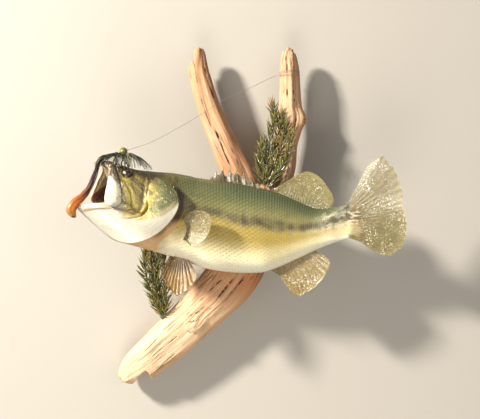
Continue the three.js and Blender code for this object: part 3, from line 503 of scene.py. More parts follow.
def smin(a, b, k):
    h = np.clip(0.5 + 0.5 * (b - a) / k, 0, 1)
    return b + (a - b) * h - k * h * (1 - h)


def smax(a, b, k):
    return -smin(-a, -b, k)


# ============================================================== the fishing line, a cord of the row
LINE_AT = path([(-204.6, -144.9, 75.4), (-172, -129.6, 88), (-121.5, -109.6, 117.5), (-97, -100, 133.5), (-56.5, -82, 161.5),
                (-14, -65.2, 183.5), (14, -53, 199), (31.8, -45.5, 207.9)])
line_pts = LINE_AT(np.linspace(0, 1, 33))
cu = bpy.data.curves.new("fishing_line_cord", "CURVE")
cu.dimensions = "3D"
# a point's radius scales the bevel and also widens the curve's box, so it is kept small: 0.3 m of bevel by 0.001 is 0.3 mm
cu.bevel_depth = 0.3
cu.bevel_resolution = 3
cu.use_fill_caps = True
sp = cu.splines.new("POLY")
sp.points.add(len(line_pts) - 1)
for k_, q_ in enumerate(line_pts * MM):
    sp.points[k_].co = (*q_, 1.0)
    sp.points[k_].radius = 0.001
line_obj = bpy.data.objects.new("fishing_line_cord", cu)
bpy.context.scene.collection.objects.link(line_obj)
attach(line_obj, "root")
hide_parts("fishing_line")


# ============================================================== the fish as one distance field
VOX = 1.0
G = Grid((-289, -186, -128), (153, -46, 66), VOX, band=9)


def tube_arrays(P, R, sides=10):
    """Closed tube along points P (n, 3) with radii R (n,)."""
    P = np.asarray(P, float)
    R = np.broadcast_to(np.asarray(R, float), (len(P),))
    T = unit(np.gradient(P, axis=0))
    side = np.empty_like(P)
    s = np.cross(T[0], [0.3, 0.2, 0.93])
    for i in range(len(P)):
        s = s - T[i] * (s @ T[i])
        s = s / max(np.linalg.norm(s), 1e-9)
        side[i] = s
    up = np.cross(T, side)
    w = 2 * np.pi * np.arange(sides) / sides
    rings = P[:, None] + R[:, None, None] * (side[:, None] * np.cos(w)[:, None] + up[:, None] * np.sin(w)[:, None])
    return loft_arrays(rings)


def trunk_rings(grow=0.0, n=190, sides=144):
    x = np.concatenate([[-206 - grow], np.linspace(-205.5, 146.5, n), [147 + grow]])
    return on_trunk(x[:, None], 360 * np.arange(sides)[None, :] / sides, grow)


def skull_rings(grow=0.0, sides=96):
    a = np.concatenate([np.linspace(-18, 112, 80), np.linspace(112.7, 120, 14)])
    return np.stack([oval_ring(in_head(q, skullMid(q), 0), LEFT, UP, skullHalf(q) + grow,
                               skullTop(q) - skullMid(q) + grow, skullMid(q) - skullLow(q) + grow, 2.15, 2.2, sides)
                     for q in a])


def jaw_rings(grow=0.0, sides=96):
    out = []
    for h in np.concatenate([np.linspace(-2, 128, 80), np.linspace(128.8, 138, 14)]):
        top, low = jawRim(h) + grow, jawBelly(h) - grow
        mid = mix(low, top, 0.78)
        out.append(oval_ring(in_jaw(h, mid, 0), LEFT, ZUP, jawHalf(h) + grow, top - mid, mid - low, 3.2,
                             mix(2.1, 1.7, float(sstep(60, 110, h))), sides))
    return np.stack(out)


def smooth_rings(stations, make, n):
    """Rings at n places along a few stations, each column run through as a smooth line."""
    s = np.array(stations, float)
    t = np.linspace(0, 1, len(s))
    cols = [curve(list(zip(t, s[:, j]))) for j in range(s.shape[1])]
    return np.stack([make(*[float(c(q)) for c in cols]) for q in np.linspace(0, 1, n)])


MOUTH = [[140, -20, 24, 30], [122, -19.5, 23, 30.5], [108, -18, 21.7, 27.5], [92, -17, 22, 24], [72, -18.8, 21.4, 20],
         [52, -21.8, 17.4, 15.4], [36, -24.2, 12, 10], [30, -25, 8, 6]]
TROUGH = [[129.5, 7, 3.0, 8.5], [124, 3.4, 11.6, 15], [110, 0, 19, 19], [94, -1.4, 22.6, 22.6], [76, -5.5, 23.2, 22.6],
          [58, -12, 17, 15]]

d_trunk = G.level(*loft_arrays(trunk_rings()))
d_skull = G.level(*loft_arrays(skull_rings()))
d_jaw = G.level(*loft_arrays(jaw_rings()))
d_mouth = G.level(*loft_arrays(smooth_rings(
    MOUTH, lambda a, b, hw, hh: oval_ring(in_head(a, b, 0), LEFT, UP, hw, hh, hh, 2.3, 2.3, 64), 50)))
d_trough = G.level(*loft_arrays(smooth_rings(
    TROUGH, lambda h, z, hw, hh: oval_ring(in_jaw(h, z, 0), LEFT, ZUP, hw, hh, hh, 2.2, 2.4, 64), 40)))
tick("fish lofts")

X, Y, Z = [q.astype(np.float32) for q in G.points()]
dx, dy, dz = X - np.float32(HEAD_AT[0]), Y - np.float32(HEAD_AT[1]), Z - np.float32(HEAD_AT[2])
HA = dx * FWD[0] + dy * FWD[1] + dz * FWD[2]
HB = dx * UP[0] + dy * UP[1] + dz * UP[2]
HL = dx * LEFT[0] + dy * LEFT[1]
JH = dx * LEVEL[0] + dy * LEVEL[1]
JZ = dz
AL = np.abs(HL)
del dx, dy, dz
near_head = slice(0, int((-128 - G.lo[0]) / VOX))

# coat depth over the scaled body, nothing on the face
depth = np.where(HA < 8, 0.55, 0.1).astype(np.float32)
body = smin(d_trunk, d_skull, 7.0)
body = smin(body, d_jaw, 3.0) + depth

# the mandible: a rounded lip over a shallow groove, and pleats of the gill membrane under the throat
h_ = np.linspace(62, 131, 34)
half_ = np.maximum(jawHalf(h_) - 2.7, 0)
for side in (1, -1):
    lip = np.vstack([in_jaw(h_, jawRim(h_) - 0.9, side * half_), in_jaw([133.6, 134.8], [-1.4, -1.7], side * vec(5.0, 0))])
    body = smin(body, G.level(*tube_arrays(lip, np.concatenate([np.linspace(1.7, 2.6, 34), [2.6, 2.5]]))), 2.2)
rim = jawRim(np.clip(JH, -2, 138)).astype(np.float32)
groove = bell(JZ, rim - 8.6, 1.5) * sstep(48, 62, JH) * (1 - sstep(118, 132, JH)) * sstep(9, 15, AL)
fold = bell(JZ, rim - 13.5, 1.2) * sstep(44, 56, JH) * (1 - sstep(92, 112, JH)) * sstep(9, 15, AL)
body += (1.1 * groove + 0.5 * fold).astype(np.float32)
throat = (np.sin(AL * 1.15 - JH * 0.10) * 0.5 + 0.5) ** 2 * sstep(24, 40, JH) * (1 - sstep(96, 116, JH))
throat = throat * (1 - sstep(-44, -36, JZ)) * (1 - sstep(20, 26, AL))
body += (0.45 * throat).astype(np.float32)

# eye sockets, orbital rims, nostrils and the ridges over the snout
for side in (1, -1):
    c = eye_centre(side)
    ax = unit(LEFT * side + 0.10 * FWD + 0.10 * UP)
    px, py, pz = X - np.float32(c[0]), Y - np.float32(c[1]), Z - np.float32(c[2])
    t = px * ax[0] + py * ax[1] + pz * ax[2]
    rho = np.sqrt(np.maximum(px * px + py * py + pz * pz - t * t, 0))
    out = sstep(1, 5, t)
    body += (out * (2.0 * np.exp(-((rho / 8.8) ** 4)) - 0.75 * bell(rho, 9.4, 1.6) + 0.35 * bell(rho, 12.2, 1.3))).astype(np.float32)
    for (na, nb, nl, nr) in ((98.5, 20.2, 14.2, 1.5), (93.4, 21.6, 16.6, 1.7)):
        n0 = in_head(na, nb, side * nl)
        r = np.sqrt((X - n0[0]) ** 2 + (Y - n0[1]) ** 2 + (Z - n0[2]) ** 2)
        body -= (0.8 * bell(r, nr + 2.2, 1.2)).astype(np.float32)
        body += (2.6 * np.exp(-((r / nr) ** 2))).astype(np.float32)
del px, py, pz, t, rho
brow = bell(AL, 11.5 + 0.06 * (96 - HA), 2.0) * sstep(52, 66, HA) * (1 - sstep(104, 114, HA)) * sstep(16, 22, HB)
body -= (0.9 * brow).astype(np.float32)
body += (0.8 * bell(AL, 0, 4.5) * sstep(58, 72, HA) * (1 - sstep(100, 112, HA)) * sstep(16, 22, HB)).astype(np.float32)

# cheek: the preopercle's raised rim, a hollow before it, and a second fold below the eye
edge_l = path([(50.5, 27, 0), (50.5, 22.9, 0), (45.8, 4.6, 0), (40.3, -9.7, 0), (36.5, -19.5, 0), (38, -31, 0), (50, -43.5, 0), (66, -50, 0), (80, -50, 0)])
fold_l = path([(74, 3, 0), (66, -4, 0), (60, -12, 0), (54, -22, 0), (51, -33, 0), (60, -42, 0)])
q_ = np.linspace(0, 1, 160)
E, F_ = edge_l(q_)[:, :2], fold_l(q_)[:, :2]


def near_line(pts, L):
    """Distance from (N, 2) points to a dense line, its place along it, and which side they are on."""
    best = np.full(len(pts), 1e9)
    place = np.zeros(len(pts))
    sgn = np.zeros(len(pts))
    T = np.gradient(L, axis=0)
    for i in range(len(L)):
        v = pts - L[i]
        d = (v**2).sum(1)
        m = d < best
        best[m] = d[m]
        place[m] = i / (len(L) - 1)
        sgn[m] = np.sign(T[i, 0] * v[m, 1] - T[i, 1] * v[m, 0])
    return np.sqrt(best), place, sgn


ha = np.arange(16, 100, 1.0)
hb = np.arange(-62, 34, 1.0)
A2, B2 = np.meshgrid(ha, hb, indexing="ij")
flat = np.stack([A2.ravel(), B2.ravel()], -1)


def lookup(table):
    """Reads a table over (a, b) at every grid point of the head."""
    ia = np.clip((HA[near_head] - ha[0]), 0, len(ha) - 1.001)
    ib = np.clip((HB[near_head] - hb[0]), 0, len(hb) - 1.001)
    i, j = ia.astype(np.int32), ib.astype(np.int32)
    u, v = ia - i, ib - j
    t = table.astype(np.float32)
    return (t[i, j] * (1 - u) * (1 - v) + t[i + 1, j] * u * (1 - v) + t[i, j + 1] * (1 - u) * v + t[i + 1, j + 1] * u * v)


dE, pE, sE = near_line(flat, E)
dF, pF, sF = near_line(flat, F_)
ends = sstep(0, 0.1, pE) * (1 - sstep(0.86, 1, pE))
signed = dE * sE
wob = 0.75 + 0.5 * noise(flat / 9.0, 91)
relief = (-0.95 * bell(signed, 0.0, 2.2) + 0.75 * bell(signed, 3.8, 2.6) + 0.6 * bell(signed, -4.0, 2.3)) * ends * wob
relief += 0.45 * fbm(flat / 6.5, 92, 3) * sstep(-62, -50, flat[:, 1])
relief += (-0.3 * bell(dF * sF, 0, 2.4) + 0.3 * bell(dF * sF, 4, 2.6)) * sstep(0, 0.15, pF) * (1 - sstep(0.85, 1, pF))
relief -= 1.2 * bell(flat[:, 0], 62, 11) * bell(flat[:, 1], -20, 13)  # the cheek muscle
field = lookup(relief.reshape(A2.shape))
body[near_head] += (field * sstep(14, 22, AL[near_head])).astype(np.float32)
MAXF = np.full(G.shape, 9, np.float32)
GILLF = np.full(G.shape, 9, np.float32)
tick("face relief")

# mouth
hollow = np.minimum(d_mouth, d_trough)
body = smax(body, -hollow, 1.6)

# premaxilla: the upper lip, run across the snout
for_lip = []
for side in (-1, 1):
    f = path([(111.5, 15.5, 12.5), (108.6, 3, 18.8), (106.6, -12, 24), (104.6, -26, 28), (102.4, -35.5, 30.6),
              (98, -42.5, 31.8)])(np.linspace(0.42, 0.0, 14))
    L = in_head(f[:, 0] - 1.6 - side * 0.14 * f[:, 2], f[:, 1], side * (f[:, 2] - 0.8))
    for_lip.append(L)
lip = np.vstack([for_lip[0], in_head([115.4, 117.4, 117.9, 117.2, 114.4], [15.4, 15.2, 15.0, 15.2, 15.4],
                                     [-7.5, -3.5, 0, 3.5, 7.5]), for_lip[1][::-1]])
r_ = 1.5 + 1.0 * np.sin(np.pi * np.linspace(0, 1, len(lip))) ** 0.7
body = smin(body, G.level(*tube_arrays(lip, r_, 12)), 1.6)

# the skin of the cheek, from behind each upper jaw plate to the muscle and down to the jaw's corner
for side in (1, -1):
    hind = path([(104, 16.5, 15.8), (96.5, 4.5, 24.0), (90, -6, 27.8), (83, -20.5, 30.6), (80, -32, 31.6), (84, -43, 31.0)])
    cheek = path([(101, 15.5, 18.0), (92, 3, 26.0), (80, -3, 29.6), (67, -14, 32.0), (60, -28, 32.6), (64, -44, 31.0)])

    def cheek_at(u, v, side=side, hind=hind, cheek=cheek):
        p = hind(v) + (cheek(v) - hind(v)) * np.asarray(u)[..., None]
        turn = (1 - np.asarray(u)) * side * 0.14 * p[..., 2]
        return in_head(p[..., 0] - (1 - np.asarray(u)) - turn, p[..., 1], side * (p[..., 2] - 0.6 * np.sin(np.pi * np.asarray(u)) - 1.9 * np.asarray(u) ** 2))

    body = smin(body, G.level(*sheet_arrays(cheek_at, 24, 60, lambda u, v: 3.4 - 2.2 * u, 0.5)), 4.5)

# upper jaw plates: bedded in the cheek with a crease round them and a line along the extra bone
for side in (1, -1):
    at = maxilla_at(side)
    d_max = G.level(*sheet_arrays(at, 30, 80, lambda u, v: 3.3 - 1.3 * u + 0 * v, 0.0))
    body = smax(body, -(d_max - 1.0), 0.9)
    vv = np.linspace(0.22, 0.93, 60)
    uu = 0.66 + 0.10 * np.sin(np.pi * (vv - 0.22) / 0.71)
    seam = at(uu, vv) + LEFT * side * 1.9
    d_max = smax(d_max, -G.level(*tube_arrays(seam, 0.85, 8)), 0.6)
    edge = at(np.full(60, 0.02), np.linspace(0.0, 0.97, 60))
    d_max = smin(d_max, G.level(*tube_arrays(edge, 1.75, 10)), 1.0)
    body = smin(body, d_max, 0.7)
    MAXF = np.minimum(MAXF, d_max).astype(np.float32)

# gill covers: a slit under the free edge, then the plate with its bony rim and membrane
for side in (1, -1):
    at = gill_at(side)
    slit = G.level(*sheet_arrays(at, 14, 120, lambda u, v: 3.4 + 0 * u, 0.8, (0.62, 1.0), (0.02, 0.93), -side * 2.9))
    body = smax(body, -slit, 0.8)
    plate = G.level(*sheet_arrays(at, 40, 140, lambda u, v: mix(mix(4.6, 1.9, u), 1.5, v * v), 0.2))
    body = smin(body, plate, 1.2)
    GILLF = np.minimum(GILLF, plate)
    vv = np.linspace(0.04, 0.90, 120)
    rimline = at(np.full(120, 0.985), vv)
    body = smin(body, G.level(*tube_arrays(rimline, np.linspace(1.25, 0.9, 120), 8)), 1.0)
    # rays of the membrane: three shallow pleats that run to the chin
    for k, uu in enumerate((0.52, 0.66, 0.80)):
        vv = np.linspace(0.46 + 0.02 * k, 0.93, 60)
        ray = at(np.full(60, uu), vv) + LEFT * side * 0.9
        body = smax(body, -(G.level(*tube_arrays(ray + LEFT * side * 0.75, 0.10 + 0.42 * np.sin(np.pi * np.linspace(0, 1, 60)) ** 0.6, 8))), 0.9)

# tongue
tongue = G.level(*loft_arrays(smooth_rings(
    [[62, -21, 4, 2.4], [76, -18.6, 9, 3.7], [90, -17, 10, 4], [102, -14.2, 8.4, 3.2], [110, -11.6, 4, 2]],
    lambda h, z, hw, hh: oval_ring(in_jaw(h, z, 0), LEFT, ZUP, hw, hh, hh + 9, 2.2, 2.2, 40), 40)))
tongue = np.maximum(tongue, -d_trough - 40)
body = smin(body, np.maximum(tongue, smin(d_jaw, d_skull, 1.0) + 1.0), 2.0)

# ridges of the palate in the dark of the throat
pal = (np.abs(np.sin(AL * 0.55)) ** 3 * 0.8 * sstep(60, 80, HA) * (1 - sstep(112, 118, HA)) * sstep(0, 6, HB)).astype(np.float32)
inside = sstep(-2.5, -0.2, -hollow).astype(np.float32)
body += pal * inside * 0.6

# room for the glass eyes
for side in (1, -1):
    c = eye_centre(side)
    r = np.sqrt((X - c[0]) ** 2 + (Y - c[1]) ** 2 + (Z - c[2]) ** 2)
    body = smax(body, -(r - (EYE_R + 0.12)), 0.5).astype(np.float32)

# the tail's root thins to a wedge in the fin, with a round margin
ix = np.s_[int(96 - G.lo[0]):]
pq = np.stack([np.broadcast_to(q[ix], body[ix].shape) for q in (X, Y, Z)], -1).reshape(-1, 3)
near_t = body[ix].ravel() < 3.0
ts, tk, th_, tW, tU, tD = trunk_coords(pq[near_t])
wedge = np.full(len(pq), -9.0)
wedge[near_t] = np.abs(tk) - mix(tW + 1.5, 0.75, sstep(100, 149, ts))
body[ix] = smax(body[ix], wedge.reshape(body[ix].shape).astype(np.float32), 3.0)
mid_z = (Z + 33.0) / 24.0
body = smax(body, (X - (150.5 - 7.5 * mid_z**2)).astype(np.float32) * 0.8, 2.0)
del pq, near_t, wedge
FISH = body.astype(np.float32)
HOLLOW = hollow.astype(np.float32)
del JH, JZ, AL, HB
tick("fish field")

sv, sq = G.mesh(FISH)
tick(f"skin mesh {len(sv)} points {len(sq)} quads")


def biggest_part(v, q):
    """Keeps the largest connected part of a quad mesh."""
    lab = np.arange(len(v))
    e = np.vstack([q[:, [0, 1]], q[:, [1, 2]], q[:, [2, 3]], q[:, [3, 0]]])
    for _ in range(400):
        m = np.minimum(lab[e[:, 0]], lab[e[:, 1]])
        new = lab.copy()
        np.minimum.at(new, e[:, 0], m)
        np.minimum.at(new, e[:, 1], m)
        new = new[new]
        new = new[new]
        if (new == lab).all():
            break
        lab = new
    ids, count = np.unique(lab, return_counts=True)
    keep = lab == ids[count.argmax()]
    new_id = np.cumsum(keep) - 1
    q = q[keep[q[:, 0]]]
    return v[keep], new_id[q]


sv, sq = biggest_part(sv, sq)
tick("skin parted")


# ============================================================== markings, shared by the skin and the scales
def rgb(r, g, b):
    """A colour by its display values, made linear."""
    c = np.array([r, g, b], float) / 255
    return np.where(c <= 0.04045, c / 12.92, ((c + 0.055) / 1.055) ** 2.4)


def lay(base, colour, mask):
    m = np.clip(np.asarray(mask, float), 0, 1)[..., None]
    return base * (1 - m) + colour * m


BACK_DARK, BACK_MID, FLANK = rgb(58, 74, 38), rgb(104, 112, 58), rgb(148, 140, 78)
GOLD, CREAM, BELLY_WHITE = rgb(200, 172, 70), rgb(250, 234, 182), rgb(255, 250, 230)
BAND = rgb(62, 46, 16)
CROWN, CHEEK, GILL_GREEN, GILL_GOLD = rgb(88, 80, 46), rgb(182, 164, 76), rgb(98, 106, 52), rgb(134, 128, 72)
CHEEK_DARK = rgb(84, 66, 34)
JAW_WHITE, JAW_TAN, MOUTH_PINK, MOUTH_DEPTH_SHADE = rgb(238, 232, 218), rgb(214, 188, 154), rgb(146, 88, 62), rgb(58, 26, 18)
band_z = curve([(-160, -4), (-112, -12.5), (-70, -20.3), (-37, -30.0), (0, -35.3), (38, -42.8), (68, -43.4), (96, -40.8),
                (119, -33.9), (144, -29)])
max_back = curve([(-41, 83), (-32, 78.5), (-20.5, 82), (-6, 90), (4.5, 96.5), (18, 105)])
white_z = curve([(-30, 10), (-8, 4), (3.7, -4.8), (20, -15.5), (42, -21.6), (65, -20.5), (85, -17), (110, -12), (138, -8)])


gill_edge = curve([(-72, 48), (-68, 40), (-56, 19), (-40, 3.5), (-25, -7.5), (-9.5, -11.5), (5, -11), (15, -8), (28, 2)])
gill_lean = curve([(-72, 0.36), (-68, 0.42), (-55, 0.66), (-40, 0.76), (-25, 0.9), (-9.5, 1.0), (28, 0.9)])


def behind_gill(jh, z):
    """How far a place on the shoulder lies behind the free edge of the gill cover."""
    return (gill_edge(z) - jh) * gill_lean(z)


def markings(p):
    """Base colour, shine (0 dull, 1 metallic) of the fish at points p (N, 3) in mm."""
    s, k, h, W, U, D = trunk_coords(p)
    a, b, l = head_coords(p)
    jh, jz, _ = jaw_coords(p)
    al = np.abs(l)
    v = np.where(h > 0, h / U, h / D)
    side = np.where(k > 0, 1.0, -1.0)
    n_big = fbm(np.stack([s / 34, p[:, 2] / 20, side * 3], -1), 11, 3)
    n_mid = fbm(np.stack([s / 9, p[:, 2] / 7, side * 5], -1), 23, 3)
    n_fine = fbm(np.stack([s / 3.2, p[:, 2] / 2.6, side * 7], -1), 37, 2)

    # trunk: back, flank, gold, cream
    rise = v + 0.05 * n_big
    col = np.broadcast_to(FLANK, (len(p), 3)).copy()
    col = lay(col, BACK_MID, sstep(0.12, 0.62, rise) * (0.85 + 0.15 * n_mid))
    # the greenest, darkest saddle lies under the two fins of the back
    saddle = sstep(-95, -30, s) * (1 - sstep(92, 130, s))
    col = lay(col, BACK_DARK, sstep(0.36, 0.92, rise) * (0.45 + 0.50 * saddle))
    col = lay(col, BACK_DARK, 0.45 * sstep(0.45, 0.8, rise) * sstep(0.1, 0.7, n_mid))
    col = lay(col, rgb(118, 116, 60), 0.5 * sstep(0.05, 0.5, n_big) * (1 - sstep(0.3, 0.75, rise)))
    bz = band_z(s)
    below = (bz - 5 - p[:, 2]) / np.maximum(bz - 5 - trunkBelly(s), 8)  # 0 at the band's foot, 1 at the belly line
    warm = sstep(-0.02, 0.16, below)
    col = lay(col, GOLD, warm * (0.80 + 0.12 * n_mid))
    col = lay(col, rgb(206, 172, 90), 0.30 * warm * (1 - sstep(0.25, 0.6, below)) * (1 - sstep(-60, 30, s)))
    col = lay(col, CREAM, 0.85 * warm * sstep(96, 132, s))
    col = lay(col, CREAM, sstep(0.30, 0.72, below + 0.03 * n_mid + 0.12 * sstep(20, 90, s)))
    col = lay(col, BELLY_WHITE, sstep(0.62, 0.98, below + 0.02 * n_mid + 0.10 * sstep(20, 90, s)))
    # a pale line of silver under the band at the rear
    col = lay(col, rgb(232, 222, 176), 0.45 * bell(p[:, 2], bz - 9, 5) * sstep(30, 90, s))
    # painted glints as pale flecks over the tail's root, among dark mottles, and its own colour taking over from the
    # flank
    flecks = sstep(76, 112, s) * bell(p[:, 2], bz - 1 + 0.10 * (s - 100), 14)
    col = lay(col, rgb(140, 118, 70), 0.78 * sstep(134, 149, s + 3.5 * n_mid))
    # painted glints: pale flecks that stand in for the lacquer's sparkle on the tail's root
    col = lay(col, rgb(250, 246, 228), 0.80 * sstep(0.08, 0.30, n_fine) * flecks)
    col = lay(col, rgb(82, 64, 34), 0.70 * sstep(0.08, 0.30, -n_fine) * flecks)

    # the dark band: blotches that run together towards the tail
    width = curve([(-160, 4), (-100, 6.4), (-40, 8.2), (20, 8.4), (70, 6.6), (110, 4.6), (150, 3.6)])(s)
    off = (p[:, 2] - bz - 3.4 * n_mid - 2.0 * n_big) / width
    blot = fbm(np.stack([s / 8.5, p[:, 2] / 9.0, side * 2], -1), 51, 2)
    dots = mix(0.35, 1.0, sstep(-0.32, 0.26, blot + 0.30 * sstep(20, 110, s)))
    strength = curve([(-160, 0.10), (-130, 0.50), (-80, 0.80), (-20, 0.92), (40, 0.96), (100, 0.84), (135, 0.50), (150, 0.2)])(s)
    band = np.exp(-np.abs(off) ** 2.6) * dots * strength
    col = lay(col, BAND, band)
    # small dark flecks in rows above and below it
    row_hi = bell(np.mod(p[:, 2] - bz + 400, 6.4), 3.2, 1.3)
    fleck = sstep(0.20, 0.62, n_fine + 0.25 * n_mid) * row_hi
    col = lay(col, BAND, 0.40 * fleck * (np.abs(p[:, 2] - bz) < 26) * sstep(-150, -110, s) * (1 - 0.6 * sstep(0.25, 0.6, below)))
    col = lay(col, BACK_DARK, 0.30 * sstep(0.25, 0.6, n_fine) * sstep(0.1, 0.4, v))
    shine = 0.35 + 0.35 * np.exp(-((v / 0.7) ** 2))

    # head
    head = sstep(-14, 6, a) * (jz > -90)
    hb = fbm(np.stack([a / 13, b / 10, l / 14], -1), 71, 3)
    hf = fbm(np.stack([a / 3.6, b / 3.2, l / 4], -1), 83, 2)
    hc = np.broadcast_to(CHEEK, (len(p), 3)).copy()
    hc = lay(hc, CROWN, sstep(9, 27, b + 3 * hb) * 0.95)
    hc = lay(hc, rgb(60, 54, 32), sstep(0.0, 0.6, hb) * sstep(16, 26, b) * 0.7)
    # bands that slant back and down from the eye
    for (a0, b0, a1, b1, w, m) in ((74, 12, 40, 3, 5.0, 0.75), (70, 2, 44, -12, 4.0, 0.60), (62, 22, 30, 22, 4.5, 0.5)):
        t = np.clip(((a - a0) * (a1 - a0) + (b - b0) * (b1 - b0)) / ((a1 - a0) ** 2 + (b1 - b0) ** 2), 0, 1)
        d = np.hypot(a - a0 - t * (a1 - a0), b - b0 - t * (b1 - b0)) + 2.2 * hb
        hc = lay(hc, CHEEK_DARK, m * (1 - sstep(w * 0.45, w * 1.35, d)) * (al > 14))
    # snout and the strip in front of the eye: dark, freckled; the dark is partly the snout's own colour and partly
    # painted shadow of the lure's skirt
    snout = sstep(84, 94, a) * sstep(2, 10, b)
    hc = lay(hc, rgb(66, 52, 34), snout * 0.9)
    hc = lay(hc, rgb(184, 158, 108), snout * 0.65 * sstep(0.18, 0.5, hf))
    # bright flecks behind the upper jaw plate and a speckled patch on the cheek are painted glints; along the
    # preopercle a dark band is painted shade in its groove and a pale line a painted highlight on its rim
    spot = sstep(0.10, 0.45, hf + 0.3 * hb)
    rear_m = a - max_back(b)
    hc = lay(hc, rgb(96, 88, 54), 0.7 * bell(rear_m, -5, 5.5) * (b < 10) * (b > -40))
    # painted glints behind the upper jaw plate
    hc = lay(hc, rgb(252, 246, 222), 0.95 * spot * bell(rear_m, -6.0, 7.0) * (b < 10) * (b > -42))
    # painted glints on the cheek
    hc = lay(hc, rgb(236, 214, 138), 0.75 * sstep(0.0, 0.4, hf) * bell(b, -23, 7) * bell(a, 52, 12))
    # painted shade in the groove before the preopercle's rim
    hc = lay(hc, rgb(92, 76, 36), 0.55 * bell(a, 48.5 + 0.2 * (b + 10), 4.2) * (b < 18) * (b > -28))
    # painted highlight on the preopercle's rim
    hc = lay(hc, rgb(250, 240, 196), 0.85 * bell(a, 41 + 0.2 * (b + 10), 3.2) * (b < 24) * (b > -30) * sstep(-0.2, 0.4, hf))
    # opercle
    oper = (1 - sstep(30, 37, a - 0.12 * b)) * sstep(-30, -18, a)
    oc = np.broadcast_to(GILL_GREEN, (len(p), 3)).copy()
    oc = lay(oc, rgb(98, 98, 48), sstep(0.0, 0.5, hb) * 0.65)
    oc = lay(oc, GILL_GOLD, 0.70 * sstep(0.05, 0.50, hf) * (b < 20))
    oc = lay(oc, rgb(160, 148, 84), 0.5 * bell(a, 30, 7) * (b < 18))
    oc = lay(oc, rgb(236, 226, 178), 0.55 * sstep(0.22, 0.50, hf - 0.2 * hb) * (b < 12))
    oc = lay(oc, rgb(112, 106, 60), sstep(18, 34, b) * 0.8)
    oc = lay(oc, rgb(44, 40, 24), 0.85 * bell(a, -1.5, 4.5) * bell(b, 12.5, 6.0))  # the dark ear spot
    hc = lay(hc, oc, oper)
    # white lower face
    wz = white_z(jh)
    low = 1 - sstep(-3.2, 3.4, jz - wz + 2.0 * hb + 1.2 * hf)
    hc = lay(hc, rgb(232, 214, 150), 0.7 * bell(jz, wz + 4.5, 4.5) * sstep(-10, 6, jh))
    hc = lay(hc, JAW_WHITE, low)
    lower = sstep(70, 82, jh) * (1 - sstep(1.0, 5.0, jz - jawRim(jh)))
    hc = lay(hc, JAW_WHITE, lower)
    # painted shade: a brown line in the groove under the overhanging lower lip
    hc = lay(hc, rgb(118, 84, 56), 0.90 * bell(jz, jawRim(jh) - 7.6, 2.7) * sstep(50, 66, jh) * (1 - sstep(128, 136, jh)))
    hc = lay(hc, JAW_TAN, 0.50 * bell(jz, jawRim(jh) - 5.2, 3.0) * sstep(46, 60, jh))
    hc = lay(hc, JAW_TAN, 0.35 * sstep(0.15, 0.5, hf) * bell(jz, jawRim(jh) - 4, 4) * sstep(46, 60, jh))
    col = lay(col, hc, head)
    # upper jaw plates: white, grey-green along their top edge
    m = 1 - sstep(0.3, 1.2, G.sample(MAXF, p))
    mc = np.broadcast_to(rgb(240, 235, 222), (len(p), 3)).copy()
    rear = a - max_back(b)
    mc = lay(mc, rgb(150, 140, 98), 0.6 * (1 - sstep(0.0, 5.0, rear + 6.5 * hf + 3.0 * hb)))
    mc = lay(mc, rgb(64, 58, 36), 0.6 * sstep(0.16, 0.40, hf) * (1 - sstep(1.0, 6.0, rear)))
    # above, where the plate slides under the snout, it is as dark and freckled as the snout, partly its own colour and
    # partly painted shadow of the lure's skirt
    top = sstep(-2.0, 2.5, p[:, 2] - (33.5 - 0.70 * np.maximum(104 - a, 0)) + 2.0 * hf)
    mc = lay(mc, rgb(62, 48, 30), 0.96 * top)
    mc = lay(mc, rgb(184, 160, 112), 0.50 * top * sstep(0.22, 0.46, hf))
    # the inner face: cream along the lip, red behind it and darker red further in, the darkening painted shade of the
    # mouth's depth
    inward = p[:, 0] - (-246.8 - (52.1 - p[:, 2]) * 0.386)
    lip_w = curve([(-10, 0.0), (4, 1.5), (9, 4.5), (15, 9.0), (22, 14.0), (30, 19.0), (40, 23.0), (52, 24.0)])(p[:, 2])
    facing = -np.sign(l) * (G.sample(FISH, p + LEFT * 1.3) - G.sample(FISH, p - LEFT * 1.3))
    faces_in = sstep(-1.2, -0.3, facing)
    ic = np.broadcast_to(rgb(252, 230, 198), (len(p), 3)).copy()
    ic = lay(ic, rgb(176, 104, 66), sstep(lip_w - 0.8, lip_w + 0.8, inward + 1.2 * hb))
    # darker red further in: painted shade
    ic = lay(ic, rgb(104, 52, 34), sstep(lip_w + 3.0, lip_w + 9.0, inward + 3.0 * hf))
    mc = lay(mc, ic, faces_in)
    col = lay(col, mc, m * (a > 60))
    # the gill membrane's lower half is white too
    gm = (1 - sstep(0.4, 1.4, G.sample(GILLF, p))) * (1 - sstep(-3.0, 3.0, jz - white_z(jh) + 1.5 * hb))
    col = lay(col, JAW_WHITE, gm)
    # mouth: pink just inside the lips, darkening towards the throat as painted shade of its depth
    q = G.sample(HOLLOW, p)
    wet = (1 - sstep(0.0, 1.2, q)) * (a > 20) * (m < 0.5)
    # deeper in the lining turns dark: painted shade of the mouth's depth
    lining = MOUTH_PINK * sstep(70, 118, a)[..., None] + MOUTH_DEPTH_SHADE * (1 - sstep(70, 118, a))[..., None]
    lining = lay(lining, rgb(150, 92, 70), 0.35 * sstep(0, 0.5, hf))
    # the far lip shows its cream inner face
    lining = lay(lining, rgb(240, 216, 184), 0.92 * (1 - sstep(lip_w - 2.0, lip_w + 1.0, inward + 1.5 * hb)) * (l < 2) * (p[:, 2] > 2))
    # painted shade: a dark line just behind the far lip's cream face
    lining = lay(lining, rgb(70, 30, 22), 0.6 * bell(inward, lip_w + 2.5, 2.0) * (l < 2) * (p[:, 2] > 2))
    col = lay(col, lining, wet)
    col = lay(col, ic, sstep(0.7, 1.5, facing) * (al > 2) * (a > 62) * (p[:, 2] > 0) * (m < 0.5))
    # dark red in the gill slit, partly painted shade, and painted shadow of the gill cover as a brownish band on the
    # shoulder behind it
    gf = G.sample(GILLF, p)
